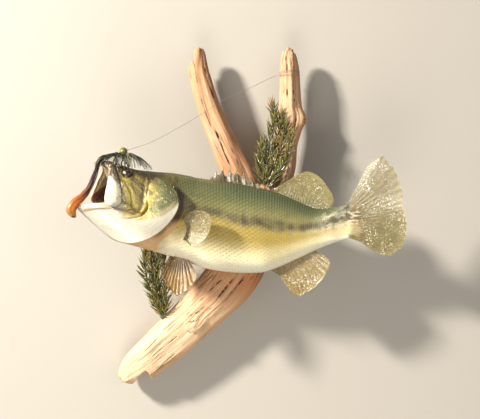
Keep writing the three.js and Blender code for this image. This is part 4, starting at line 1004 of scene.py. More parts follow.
    # the open slit behind the cover: dark red above, partly painted shade, and tan membrane without scales below, with
    # a brown strip of painted shadow just behind the cover's edge
    gd = behind_gill(jh, p[:, 2])
    bare = (gf > 2.0) * sstep(-16, -6, gd)
    low_g = 1 - sstep(-44, -30, p[:, 2] + 3 * hb)
    col = lay(col, rgb(224, 180, 128), 0.90 * bare * low_g * (1 - sstep(10.0, 13.5, gd + 2.5 * hb)))
    # painted shadow of the gill cover: a brown strip just behind its edge, low down
    col = lay(col, rgb(118, 74, 46), 0.75 * bare * low_g * (1 - sstep(0.5, 6.0, gd + 1.5 * hb)) * sstep(-66, -52, p[:, 2]))
    # the gills' dark red, deepened as painted shade of the slit
    col = lay(col, rgb(58, 34, 22), 0.93 * bare * (1 - low_g) * (1 - sstep(6.0, 10.5, gd + 2.0 * hb)) * (1 - sstep(14, 26, p[:, 2])))
    slit = (1 - sstep(0.5, 4.0, gf)) * sstep(0.7, 1.8, gf) * (a < 20)
    # painted shadow of the gill cover on the shoulder, over the membrane's own colour
    behind = sstep(0.9, 1.8, gf) * (1 - sstep(3.0, 8.6, gf)) * (a < 30)
    col = lay(col, rgb(104, 76, 44), behind * 0.72)
    col = lay(col, rgb(176, 128, 84), behind * 0.6 * (1 - sstep(-52, -34, p[:, 2])))
    # the slit painted dark: the gills' red and painted shade
    col = lay(col, rgb(60, 36, 24), slit * 0.9)
    # painted shade under the gill covers: a brownish tint on the breast
    breast = sstep(-6, 14, -(p[:, 0] + 142)) * (1 - sstep(-30, -14, p[:, 2])) * (1 - head)
    col = lay(col, rgb(196, 158, 116), 0.35 * breast)
    shine = mix(shine, 0.45 + 0.35 * oper, head) * (1 - wet) + 0.1 * wet
    return np.clip(col, 0, 1), np.clip(shine, 0, 1), wet, head


# ============================================================== materials
def material(name):
    m = bpy.data.materials.new(name)
    m.use_nodes = True
    nt = m.node_tree
    nt.nodes.clear()
    out = nt.nodes.new("ShaderNodeOutputMaterial")
    bsdf = nt.nodes.new("ShaderNodeBsdfPrincipled")
    nt.links.new(bsdf.outputs[0], out.inputs[0])
    return m, nt, bsdf, out


def node(nt, kind, **kw):
    n = nt.nodes.new("ShaderNode" + kind)
    for k, v in kw.items():
        if k in n.inputs:
            n.inputs[k].default_value = v
        else:
            setattr(n, k, v)
    return n


def put(bsdf, **kw):
    for k, v in kw.items():
        bsdf.inputs[k.replace("_", " ")].default_value = v


def attr(nt, name):
    n = nt.nodes.new("ShaderNodeAttribute")
    n.attribute_type = "GEOMETRY"
    n.attribute_name = name
    return n


def position(nt):
    """Object space in millimetres, so that textures have real sizes."""
    tc = nt.nodes.new("ShaderNodeTexCoord")
    sc = nt.nodes.new("ShaderNodeVectorMath")
    sc.operation = "SCALE"
    sc.inputs["Scale"].default_value = 1000.0
    nt.links.new(tc.outputs["Object"], sc.inputs[0])
    return sc.outputs[0]


def noise_node(nt, pos, scale, detail=2.0, rough=0.5, stretch=None):
    """scale is in features per millimetre."""
    v = pos
    if stretch is not None:
        mp = nt.nodes.new("ShaderNodeMapping")
        mp.inputs["Scale"].default_value = stretch
        nt.links.new(pos, mp.inputs["Vector"])
        v = mp.outputs[0]
    n = nt.nodes.new("ShaderNodeTexNoise")
    n.inputs["Scale"].default_value = scale
    n.inputs["Detail"].default_value = detail
    n.inputs["Roughness"].default_value = rough
    nt.links.new(v, n.inputs["Vector"])
    return n.outputs["Fac"]


def ramp(nt, fac, stops):
    n = nt.nodes.new("ShaderNodeValToRGB")
    cr = n.color_ramp
    while len(cr.elements) < len(stops):
        cr.elements.new(0.5)
    for e, (p, c) in zip(cr.elements, stops):
        e.position = p
        e.color = (*c, 1) if len(c) == 3 else c
    nt.links.new(fac, n.inputs[0])
    return n.outputs[0]


def grey(v):
    return (v, v, v)


def math_node(nt, op, a, b=None, c=None, clamp=False):
    n = nt.nodes.new("ShaderNodeMath")
    n.operation = op
    n.use_clamp = clamp
    for i, q in enumerate((a, b, c)):
        if q is None:
            continue
        if isinstance(q, (int, float)):
            n.inputs[i].default_value = q
        else:
            nt.links.new(q, n.inputs[i])
    return n.outputs[0]


def mix_color(nt, fac, a, b, blend="MIX"):
    n = nt.nodes.new("ShaderNodeMix")
    n.data_type = "RGBA"
    n.blend_type = blend
    for sock, q in ((n.inputs[0], fac), (n.inputs[6], a), (n.inputs[7], b)):
        if isinstance(q, (int, float)):
            sock.default_value = q
        elif isinstance(q, (tuple, list, np.ndarray)):
            sock.default_value = (*[float(x) for x in q[:3]], 1)
        else:
            nt.links.new(q, sock)
    return n.outputs[2]


def bump_node(nt, height, strength, distance_mm, normal=None):
    n = nt.nodes.new("ShaderNodeBump")
    n.inputs["Strength"].default_value = strength
    n.inputs["Distance"].default_value = distance_mm * MM
    nt.links.new(height, n.inputs["Height"])
    if normal is not None:
        nt.links.new(normal, n.inputs["Normal"])
    return n.outputs[0]


def fish_material(name, scales=False):
    m, nt, bs, out = material(name)
    pos = position(nt)
    col = attr(nt, "paint").outputs["Color"]
    fine = noise_node(nt, pos, 0.9, 3, 0.6)
    mid = noise_node(nt, pos, 0.22, 3, 0.55)
    speck = nt.nodes.new("ShaderNodeTexVoronoi")
    speck.inputs["Scale"].default_value = 0.75
    nt.links.new(pos, speck.inputs["Vector"])
    # mottling in hand-laid paint, and dark pin-point freckles
    c = mix_color(nt, ramp(nt, fine, [(0.30, grey(0.0)), (0.72, grey(0.34))]), col, (0.86, 0.80, 0.62), "MULTIPLY")
    c = mix_color(nt, ramp(nt, mid, [(0.40, grey(0.0)), (0.75, grey(0.22))]), c, (0.60, 0.62, 0.42), "MULTIPLY")
    c = mix_color(nt, ramp(nt, speck.outputs["Distance"], [(0.0, grey(0.30)), (0.16, grey(0.0))]), c, (0.35, 0.30, 0.16), "MULTIPLY")
    if scales:
        # painted shade at each scale's root, where it tucks under its neighbour; a thin darker line at the free edge
        # and a lighter band just inside it
        tip = attr(nt, "tip").outputs["Fac"]
        c = mix_color(nt, ramp(nt, tip, [(0.0, grey(0.05)), (0.4, grey(0.0)), (0.90, grey(0.0)), (1.0, grey(0.08))]), c,
                      (0.40, 0.36, 0.22), "MULTIPLY")
        c = mix_color(nt, ramp(nt, tip, [(0.50, grey(0.0)), (0.80, grey(0.10)), (0.97, grey(0.0))]), c, (1.0, 0.96, 0.82), "SCREEN")
    nt.links.new(c, bs.inputs["Base Color"])
    shine = attr(nt, "shine").outputs["Fac"]
    nt.links.new(math_node(nt, "MULTIPLY", shine, 0.30), bs.inputs["Metallic"])
    r = math_node(nt, "MULTIPLY_ADD", fine, 0.22, 0.26)
    nt.links.new(r, bs.inputs["Roughness"])
    ripple = noise_node(nt, pos, 0.33, 2, 0.5)
    hd = attr(nt, "hd").outputs["Fac"]
    pits = noise_node(nt, pos, 0.36, 2, 0.5)
    b0 = bump_node(nt, math_node(nt, "MULTIPLY", pits, hd), 0.5, 1.2)
    b1 = bump_node(nt, fine, 0.32, 0.28, b0)
    b2 = bump_node(nt, speck.outputs["Distance"], 0.10, 0.16, b1)
    nt.links.new(b2, bs.inputs["Normal"])
    # brushed lacquer lies in low waves over everything
    cb = bump_node(nt, ripple, 0.5, 0.34)
    cb = bump_node(nt, math_node(nt, "MULTIPLY", pits, hd), 1.0, 4.2, cb)
    cb2 = bump_node(nt, fine, 0.22, 0.22, cb)
    nt.links.new(cb2, bs.inputs["Coat Normal"])
    # the lacquer is thick and wet on the head and the tail's root, and thin and satin along the flank
    nt.links.new(math_node(nt, "MULTIPLY_ADD", hd, 0.65, 0.35, clamp=True), bs.inputs["Coat Weight"])
    nt.links.new(math_node(nt, "MULTIPLY_ADD", hd, -0.19, 0.25), bs.inputs["Coat Roughness"])
    put(bs, Coat_IOR=1.52, Subsurface_Weight=0.06, Subsurface_Scale=0.002, Specular_IOR_Level=0.35)
    bs.inputs["Subsurface Radius"].default_value = (1.0, 0.6, 0.35)
    return m


FLESH = ["head", "lower_jaw", "trunk_front", "trunk_rear", "tail_base", "gill_cover_left", "gill_cover_right",
         "maxilla_left", "maxilla_right", "tongue"]
me = raw_mesh("fish_skin", sv, sq)
skin = add_object("fish_skin", me, None)
dec = skin.modifiers.new("thin", "DECIMATE")
dec.ratio = 0.53
dg = bpy.context.evaluated_depsgraph_get()
me2 = bpy.data.meshes.new_from_object(skin.evaluated_get(dg))
skin.modifiers.clear()
skin.data = me2
me2.name = "fish_skin"
me2.shade_smooth()
tick(f"skin thinned to {len(me2.polygons)} faces")
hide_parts(*FLESH)
P = coords(me2)
col, shine, wet, headness = markings(P)
a_h, b_h, _ = head_coords(P)
jaw_h, jaw_z, _ = jaw_coords(P)
rough_head = headness * sstep(-3, 3, jaw_z - white_z(jaw_h)) * (1 - wet)
attribute(me2, "hd", 0.10 + 0.9 * rough_head)
attribute(me2, "paint", col)
attribute(me2, "shine", shine)
SKIN_MAT = fish_material("fish_skin")
me2.materials.append(SKIN_MAT)
tick("skin painted")


def grad(p, e=1.2):
    g = np.stack([G.sample(FISH, p + np.eye(3)[i] * e) - G.sample(FISH, p - np.eye(3)[i] * e) for i in range(3)], -1)
    return unit(g)


def onto_skin(p, steps=4):
    for _ in range(steps):
        p = p - grad(p) * G.sample(FISH, p)[:, None]
    return p


# ============================================================== scales
def scale_pieces(name, roots, nrm, back, across_size, along_size, lift, uv, split, soft):
    """Closed lens-shaped scales, their roots sunk and their free edges raised. One mesh for each split group."""
    nu_, nw = 5, 4
    u = np.linspace(-1, 1, nu_ + 1)
    w = np.array([0.0, 0.34, 0.62, 0.84, 1.0])
    Ug, Wg = np.meshgrid(u, w, indexing="ij")  # (6, 5)
    # a shield: straight flanks, round free edge
    reach = 1 - 0.24 * np.abs(Ug) ** 2.4 * sstep(0.3, 1.0, Wg)
    narrow = np.cos(0.5 * np.pi * 0.62 * Wg**3)
    px_ = Ug * narrow * (0.78 + 0.22 * sstep(0, 0.35, Wg))
    pw_ = Wg * reach
    rise_ = mix(-0.62, 1.0, sstep(0, 1, Wg) * 0.35 + 0.65 * Wg) - 0.30 * Ug**2 * (0.4 + 0.6 * Wg)
    nP = (nu_ + 1) * (nw + 1)
    idx = np.arange(nP).reshape(nu_ + 1, nw + 1)
    quads = np.stack([idx[:-1, :-1], idx[1:, :-1], idx[1:, 1:], idx[:-1, 1:]], -1).reshape(-1, 4)
    ringi = np.concatenate([idx[:, 0], idx[-1, 1:], idx[-2::-1, -1], idx[0, -2:0:-1]])
    # the underside: a fan from one low point
    bottom = np.stack([np.full(len(ringi), nP), np.roll(ringi, -1), ringi], -1)
    right = unit(np.cross(back, nrm))
    n = len(roots)
    W_, A_, L_ = across_size[:, None, None], along_size[:, None, None], lift[:, None, None]
    local = (roots[:, None, None] + right[:, None, None] * (px_[None] * W_)[..., None]
             + back[:, None, None] * ((pw_ - 0.36)[None] * A_)[..., None]
             + nrm[:, None, None] * (rise_[None] * L_)[..., None])
    # follow the curve of the body across each scale
    flatp = local.reshape(-1, 3)
    base = G.sample(FISH, flatp)
    want = (np.broadcast_to(rise_[None] * L_, local.shape[:3])).reshape(-1)
    flatp = flatp - np.repeat(nrm, nP, 0) * (base - want)[:, None]
    flatp = flatp - np.repeat(nrm, nP, 0) * (G.sample(FISH, flatp) - want)[:, None]
    # a scale that can't lie flat there is left out
    miss = np.abs(G.sample(FISH, flatp) - want).reshape(n, nP).max(1)
    flat_enough = miss < 0.16
    flatp = flatp.reshape(n, nP, 3)
    # the underside's low point is well inside the body, so that no underside shows
    low = roots + back * (0.12 * along_size)[:, None]
    was = G.sample(FISH, low) - 0.55 * lift
    low = low - nrm * (G.sample(FISH, low) + np.maximum(0.55 * lift, 0.5))[:, None]
    tick(f"scales: {int((~flat_enough).sum())} of {n} left out, {int((was > -0.03).sum())} low points were shallow")
    allp = np.concatenate([flatp, low[:, None]], 1)
    col, shine, _, _ = markings(roots)
    jit = 0.94 + 0.12 * hash01(np.arange(n), np.full(n, 5))
    col = np.clip(col * jit[:, None], 0, 1)
    # blend each vertex with its own place, so that markings don't break into steps
    vcol, vsh, _, _ = markings(flatp.reshape(-1, 3))
    vcol = vcol.reshape(n, nP, 3) * 0.45 + col[:, None] * 0.55
    tip = np.broadcast_to(np.clip(Wg * (1 - 0.12 * Ug**2), 0, 1).ravel(), (n, nP))
    pieces = []
    for g in np.unique(split):
        m = np.where((split == g) & flat_enough)[0]
        c = len(m)
        off = (np.arange(c) * (nP + 1))[:, None, None]
        me = raw_mesh(f"{name}_{g}", allp[m].reshape(-1, 3), (quads[None] + off).reshape(-1, 4),
                      (bottom[None] + off).reshape(-1, 3))
        attribute(me, "paint", np.concatenate([vcol[m], col[m][:, None]], 1).reshape(-1, 3))
        attribute(me, "shine", np.repeat(shine[m], nP + 1))
        glint = 0.9 if "head" in str(g) else 0.10 + 0.9 * sstep(60, 112, roots[m][:, 0]) * bell(roots[m][:, 2], band_z(roots[m][:, 0]) + 1, 15)
        attribute(me, "hd", np.repeat(np.broadcast_to(glint, (len(m),)), nP + 1))
        # the top of a scale is shaded almost as one with the body, so that the rows stay quiet
        grid = flatp[m].reshape(-1, nu_ + 1, nw + 1, 3)
        gn = np.cross(np.gradient(grid, axis=1), np.gradient(grid, axis=2)).reshape(len(m), nP, 3)
        gn = unit(gn + 1e-9 * nrm[m][:, None])
        quiet = unit(nrm[m][:, None] * (1 - soft[m])[:, None, None] + gn * soft[m][:, None, None])
        vn = np.concatenate([quiet, -nrm[m][:, None]], 1)
        me.normals_split_custom_set_from_vertices(vn.reshape(-1, 3).astype(np.float32))
        attribute(me, "tip", np.concatenate([tip[m], np.full((c, 1), 0.2)], 1).ravel())
        # each scale is a small patch on an unwrap of the body
        layer = me.uv_layers.new(name="OFBake")
        loc = np.stack([px_.ravel() * 0.0015, (pw_.ravel() - 0.5) * 0.003], -1)
        loc = np.vstack([loc, [0, 0]])
        vuv = (uv[m][:, None] + loc[None]).reshape(-1, 2)
        li = np.empty(len(me.loops), np.int32)
        me.loops.foreach_get("vertex_index", li)
        layer.data.foreach_set("uv", np.ascontiguousarray(vuv[li], np.float32).ravel())
        o = add_object(me.name, me, SCALE_MAT)
        pieces.append(o)
    return pieces


SCALE_MAT = fish_material("fish_scales", scales=True)
ROWS = 27
girth = []
xs_probe = np.linspace(-178, 146, 120)
turn_fine = np.linspace(-90, 90, 181)
for x in xs_probe:
    q = on_trunk(np.full(181, x), turn_fine)
    girth.append(np.linalg.norm(np.diff(q, axis=0), axis=1).sum())
girth = np.interp(np.arange(-178, 147), xs_probe, girth)
stations, x = [], -174.0
while x < 149:
    stations.append(x)
    x += 4.9 * (np.interp(x, np.arange(-178, 147), girth) / girth.max()) ** 0.62
roots, backs, sizes_u, sizes_w, uvs, groups = [], [], [], [], [], []
for ci, x in enumerate(stations):
    g = np.interp(x, np.arange(-178, 147), girth)
    step = 4.9 * (g / girth.max()) ** 0.62
    for side in (1, -1):
        tf = turn_fine if side > 0 else 180 - turn_fine
        q = on_trunk(np.full(181, x), tf, 0.0)
        arc = np.concatenate([[0], np.cumsum(np.linalg.norm(np.diff(q, axis=0), axis=1))])
        row = (np.arange(ROWS) + (0.5 if ci % 2 else 0.0) + 0.25) / ROWS
        row = row + 0.004 * (hash01(np.arange(ROWS), np.full(ROWS, ci), np.full(ROWS, side + 3)) - 0.5)
        t = np.interp(row * arc[-1], arc, tf)
        # rows lean back towards the belly and the back, as scale rows do
        lean = 3.0 * np.abs(row - 0.5)
        roots.append(on_trunk(x + lean + 0 * t, t, 0.6))
        backs.append(on_trunk(x + lean + 1.0, t) - on_trunk(x + lean - 1.0, t))
        sizes_u.append(np.full(ROWS, 0.90 * arc[-1] / ROWS))
        sizes_w.append(np.full(ROWS, 2.25 * step))
        uvs.append(np.stack([0.02 + 0.46 * (x + 180) / 330 + (0.5 if side < 0 else 0) + 0 * row, 0.03 + 0.92 * row], -1))
        groups.append(np.full(ROWS, (0 if side > 0 else 2) + (1 if x > -30 else 0)))
roots, backs = np.vstack(roots), np.vstack(backs)
sizes_u, sizes_w = np.concatenate(sizes_u), np.concatenate(sizes_w)
uvs, groups = np.vstack(uvs), np.concatenate(groups)
roots = onto_skin(roots)
nrm = grad(roots, 2.5)
backs = unit(backs - nrm * (backs * nrm).sum(1)[:, None])
a_, b_, l_ = head_coords(roots)
open_air = np.minimum(G.sample(FISH, roots + nrm * 3.0), G.sample(FISH, roots + nrm * 5.0 + backs * 1.0)) > 2.2
ok = (a_ < 9 + 14 * sstep(32, 44, b_)) & open_air & (np.abs(G.sample(FISH, roots)) < 0.3) & (roots[:, 0] < 149.5 - 7.5 * ((roots[:, 2] + 33) / 24) ** 2)
ok &= G.sample(GILLF, roots) > 1.6
jh_, jz_, _ = jaw_coords(roots)
ok &= behind_gill(jh_, roots[:, 2]) > mix(11.0, 5.0, sstep(-34, -24, roots[:, 2])) * (1 - sstep(10, 24, roots[:, 2]))
roots, backs, nrm, sizes_u, sizes_w, uvs, groups = (q[ok] for q in (roots, backs, nrm, sizes_u, sizes_w, uvs, groups))
rear_ = sstep(60, 118, roots[:, 0])
lift = 0.05 + 0.19 * rear_
names = {0: "front_left", 1: "rear_left", 2: "front_right", 3: "rear_right"}
body_scales = scale_pieces("scales", roots, nrm, backs, sizes_u, sizes_w, lift, uvs, np.array([names[g] for g in groups]), 0.08 + 0.58 * rear_)
tick(f"{len(roots)} body scales")

# small scales on the cheeks and gill covers
cr, cb, cu, cw, cuv, cg = [], [], [], [], [], []
for side in (1, -1):
    k = 0
    for ri, bb in enumerate(np.arange(-46, 40, 2.7)):
        for aa in np.arange(-14, 72, 3.3) + (1.65 if ri % 2 else 0):
            on_cheek = 43 < aa < 70 - 0.10 * (bb + 20) and -40 < bb < 2 + 0.05 * aa
            on_gill = (-9 < aa < 31 and -24 < bb < 33) and (aa - 0.12 * bb) < 31
            if on_cheek or on_gill:
                cr.append(in_head(aa + 0.5 * (hash01(ri, k) - 0.5), bb, side * 52))
                cu.append(1.75 if on_cheek else 2.15)
                cw.append(4.0 if on_cheek else 4.9)
                cuv.append((0.02 + 0.2 * (aa + 14) / 86 + (0.5 if side < 0 else 0), 0.02 + 0.5 * (bb + 46) / 86))
                cg.append("head_left" if side > 0 else "head_right")
                k += 1
cr = np.array(cr)
sgn = np.where(np.array(cg) == "head_left", 1.0, -1.0)
for _ in range(26):
    d = G.sample(FISH, cr)
    cr = cr - LEFT * (sgn * np.clip(d, -2, 6) * 0.9)[:, None]
cr = onto_skin(cr, 2)
cn = grad(cr, 1.5)
cback = np.broadcast_to(-FWD, cr.shape)
cback = unit(cback - cn * (cback * cn).sum(1)[:, None])
hcu, hcw = np.array(cu), np.array(cw)
okc = (np.abs(G.sample(FISH, cr)) < 0.25) & ((cn @ LEFT) * sgn > 0.45) & (G.sample(FISH, cr + cn * 3) > 2.2)
okc &= G.sample(MAXF, cr) > 2.0
jh_, jz_, _ = jaw_coords(cr)
okc &= jz_ > white_z(jh_) + 2
hs = scale_pieces("scales", cr[okc], cn[okc], cback[okc], hcu[okc], hcw[okc], np.full(okc.sum(), 0.20),
                  np.array(cuv)[okc] + [0, 0.0], np.array(cg)[okc], np.full(okc.sum(), 0.45))
tick(f"{int(okc.sum())} head scales")


# ============================================================== glass eyes
def eye_material():
    m, nt, bs, out = material("glass_eye")
    ang = attr(nt, "ring").outputs["Fac"]  # 0 at the pupil's middle, 1 at the rim
    pos = position(nt)
    n = noise_node(nt, pos, 1.3, 4, 0.65)
    wob = math_node(nt, "MULTIPLY_ADD", n, 0.16, -0.08)
    r = math_node(nt, "ADD", ang, wob)
    iris = ramp(nt, r, [(0.0, rgb(30, 18, 8)), (0.46, rgb(44, 24, 12)), (0.56, rgb(76, 42, 20)), (0.66, rgb(38, 22, 12)),
                        (0.78, rgb(86, 50, 24)), (0.90, rgb(34, 20, 12)), (1.0, rgb(14, 10, 8))])
    pupil = ramp(nt, ang, [(0.0, grey(1.0)), (0.405, grey(1.0)), (0.43, grey(0.0))])
    ringg = ramp(nt, ang, [(0.425, grey(0.0)), (0.445, grey(1.0)), (0.485, grey(1.0)), (0.51, grey(0.0))])
    c = mix_color(nt, ringg, iris, rgb(142, 94, 44))
    c = mix_color(nt, pupil, c, rgb(5, 4, 4))
    nt.links.new(c, bs.inputs["Base Color"])
    nt.links.new(math_node(nt, "MULTIPLY_ADD", n, 0.25, 0.18), bs.inputs["Roughness"])
    fib = noise_node(nt, pos, 2.6, 2, 0.5)
    nt.links.new(bump_node(nt, fib, 0.35, 0.12), bs.inputs["Normal"])
    put(bs, Coat_Weight=1.0, Coat_Roughness=0.01, Coat_IOR=1.6, Metallic=0.15)
    return m


EYE_MAT = eye_material()
for side, nm in ((1, "left"), (-1, "right")):
    c = eye_centre(side)
    ax = unit(LEFT * side + 0.16 * FWD + 0.10 * UP)
    e1 = unit(np.cross(ax, UP))
    e2 = np.cross(ax, e1)
    R_, S_ = 48, 64
    th = np.pi * np.linspace(0, 1, R_) ** 1.15
    ph = 2 * np.pi * np.arange(S_) / S_
    rr = EYE_R + 0.35 * np.exp(-((th / 0.5) ** 2)) - 0.10  # the cornea stands a little proud
    rings = (c + ax * (rr * np.cos(th))[:, None, None]
             + (rr * np.sin(th))[:, None, None] * (e1 * np.cos(ph)[:, None] + e2 * np.sin(ph)[:, None]))
    pts = np.vstack([rings[1:-1].reshape(-1, 3), c + ax * rr[0], c - ax * rr[-1]])
    n_in = R_ - 2
    q = grid_quads(n_in, S_, True)
    j = np.arange(S_)
    t = np.vstack([np.stack([np.full(S_, n_in * S_), (j + 1) % S_, j], -1),
                   np.stack([np.full(S_, n_in * S_ + 1), (n_in - 1) * S_ + j, (n_in - 1) * S_ + (j + 1) % S_], -1)])
    me = raw_mesh("glass_eye_" + nm, pts, q, t)
    ring = np.concatenate([np.repeat(th[1:-1], S_), [0, np.pi]])
    # a bass has a pupil that comes to a soft point towards the snout
    d = unit(pts - c)
    ring = ring * (1 - 0.12 * np.clip((d @ FWD), 0, 1))
    attribute(me, "ring", np.clip(ring / 0.88, 0, 1))
    o = add_object("glass_eye_" + nm, me, EYE_MAT)
    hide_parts("eye_" + nm)
tick("eyes")


# ============================================================== teeth: bands of small cones behind both lips
def tooth_band(points, inward, down, count, rows, size, seed):
    P = []
    F = []
    k = 0
    rngv = hash01(np.arange(count * rows * 4), np.full(count * rows * 4, seed))
    for r in range(rows):
        for i in range(count):
            t = (i + 0.5 + 0.5 * (r % 2) + 0.3 * (rngv[4 * k] - 0.5)) / (count + 0.5)
            p = points(np.array([t]))[0] + inward(t) * (r * size * 1.15)
            h = size * (0.9 + 0.7 * rngv[4 * k + 1])
            tip = p + down * h + inward(t) * h * 0.45
            s = unit(np.cross(down, inward(t)))
            f = inward(t)
            base = len(P)
            for j in range(5):
                w = 2 * np.pi * j / 5
                P.append(p - down * 0.5 + (s * math.cos(w) + f * math.sin(w)) * size * 0.30)
            P.append(tip)
            P.append(p - down * 0.6)
            for j in range(5):
                F.append((base + j, base + (j + 1) % 5, base + 5))
                F.append((base + (j + 1) % 5, base + j, base + 6))
            k += 1
    return np.array(P), np.array(F)


def jaw_line(t):
    t = np.asarray(t)
    w = (t - 0.5) * 2
    h = 133.0 - 62 * np.abs(w) ** 1.7
    half = np.maximum(np.minimum(jawHalf(h) - 4.2, 60), 0)
    half = np.where(np.abs(w) < 0.12, half * np.abs(w) / 0.12, half)
    return in_jaw(h - 2.2, jawRim(h) + 1.0, np.sign(w) * half)


def upper_line(t):
    t = np.asarray(t)
    w = (t - 0.5) * 2
    f = path([(112.5, 12.5, 0), (111.5, 12.5, 8), (108.5, 9.5, 12.2), (105, 0, 18.2), (103.4, -12, 22.6), (101.5, -24, 26.0)])(np.abs(w))
    s = np.sign(w)
    return in_head(f[:, 0] - 2.0 - s * 0.14 * f[:, 2], f[:, 1] - 0.6, s * f[:, 2])


tp1, tf1 = tooth_band(jaw_line, lambda t: unit(-LEVEL * (1 - abs(t - 0.5)) - LEFT * (t - 0.5) * 2.2), ZUP, 74, 3, 0.85, 3)
tp2, tf2 = tooth_band(upper_line, lambda t: unit(-FWD * (1 - abs(t - 0.5)) - LEFT * (t - 0.5) * 1.6), -UP, 74, 3, 0.85, 4)
me = raw_mesh("teeth", np.vstack([tp1, tp2]), None, np.vstack([tf1, tf2 + len(tp1)]))
m, nt, bs, out = material("teeth")
nt.links.new(mix_color(nt, noise_node(nt, position(nt), 0.8, 2), rgb(236, 224, 196), rgb(206, 184, 142)), bs.inputs["Base Color"])
put(bs, Roughness=0.3, Coat_Weight=0.5, Coat_Roughness=0.1)
add_object("teeth", me, m)


# ============================================================== fins
def fin_material(name, base, root_col, rim_col, ray_col, gloss=1.0, tone=(0.60, 0.57, 0.32), flesh=False):
    m, nt, bs, out = material(name)
    pos = position(nt)
    fv, ray = attr(nt, "fv").outputs["Fac"], attr(nt, "ray").outputs["Fac"]
    blotch = attr(nt, "blotch").outputs["Fac"]
    fine = noise_node(nt, pos, 0.8, 3, 0.6)
    mid = noise_node(nt, pos, 0.12, 3, 0.55)
    c = mix_color(nt, ramp(nt, fv, [(0.0, grey(1)), (0.30, grey(0.55)), (0.72, grey(0.0))]), base, root_col)
    c = mix_color(nt, ramp(nt, mid, [(0.35, grey(0.0)), (0.72, grey(0.55))]), c, rim_col)
    c = mix_color(nt, ramp(nt, fv, [(0.86, grey(0.0)), (0.975, grey(0.75))]), c, rim_col)
    c = mix_color(nt, math_node(nt, "MULTIPLY", ray, 0.42), c, ray_col)
    c = mix_color(nt, math_node(nt, "MULTIPLY", blotch, 0.5), c, tuple(q * 0.42 for q in ray_col))
    c = mix_color(nt, ramp(nt, fine, [(0.35, grey(0.0)), (0.8, grey(0.35))]), c, tuple(min(1, q * 1.25) for q in base))
    c = mix_color(nt, 1.0, c, tone, "MULTIPLY")
    # painted glints: pale flecks in drifts that stand in for the lacquer's sparkle on the rays
    fleck = math_node(nt, "MULTIPLY", ramp(nt, noise_node(nt, pos, 0.44, 2, 0.5), [(0.57, grey(0.0)), (0.64, grey(0.80))]),
                      ramp(nt, noise_node(nt, pos, 0.045, 2, 0.5), [(0.40, grey(0.12)), (0.60, grey(1.0))]))
    c = mix_color(nt, fleck, c, rgb(244, 240, 216))
    if flesh:
        c = mix_color(nt, attr(nt, "fleshy").outputs["Fac"], c, attr(nt, "paint").outputs["Color"])
    nt.links.new(c, bs.inputs["Base Color"])
    nt.links.new(math_node(nt, "MULTIPLY_ADD", fine, 0.25, 0.22), bs.inputs["Roughness"])
    segs = attr(nt, "seg").outputs["Fac"]
    b = bump_node(nt, math_node(nt, "MULTIPLY", segs, ray), 0.35, 0.25)
    b = bump_node(nt, fine, 0.35, 0.25, b)
    nt.links.new(b, bs.inputs["Normal"])
    drip = noise_node(nt, pos, 0.17, 2, 0.5)
    cb = bump_node(nt, drip, 1.0, 3.6)
    grit = noise_node(nt, pos, 0.42, 2, 0.5)
    cb = bump_node(nt, grit, 1.0, 1.5, cb)
    cb = bump_node(nt, ray, 1.0, 0.7, cb)
    nt.links.new(cb, bs.inputs["Coat Normal"])
    put(bs, Coat_Weight=gloss, Coat_Roughness=0.05, Coat_IOR=1.55, Subsurface_Weight=0.30, Subsurface_Scale=0.002)
    bs.inputs["Subsurface Radius"].default_value = (1.0, 0.8, 0.4)
    return m


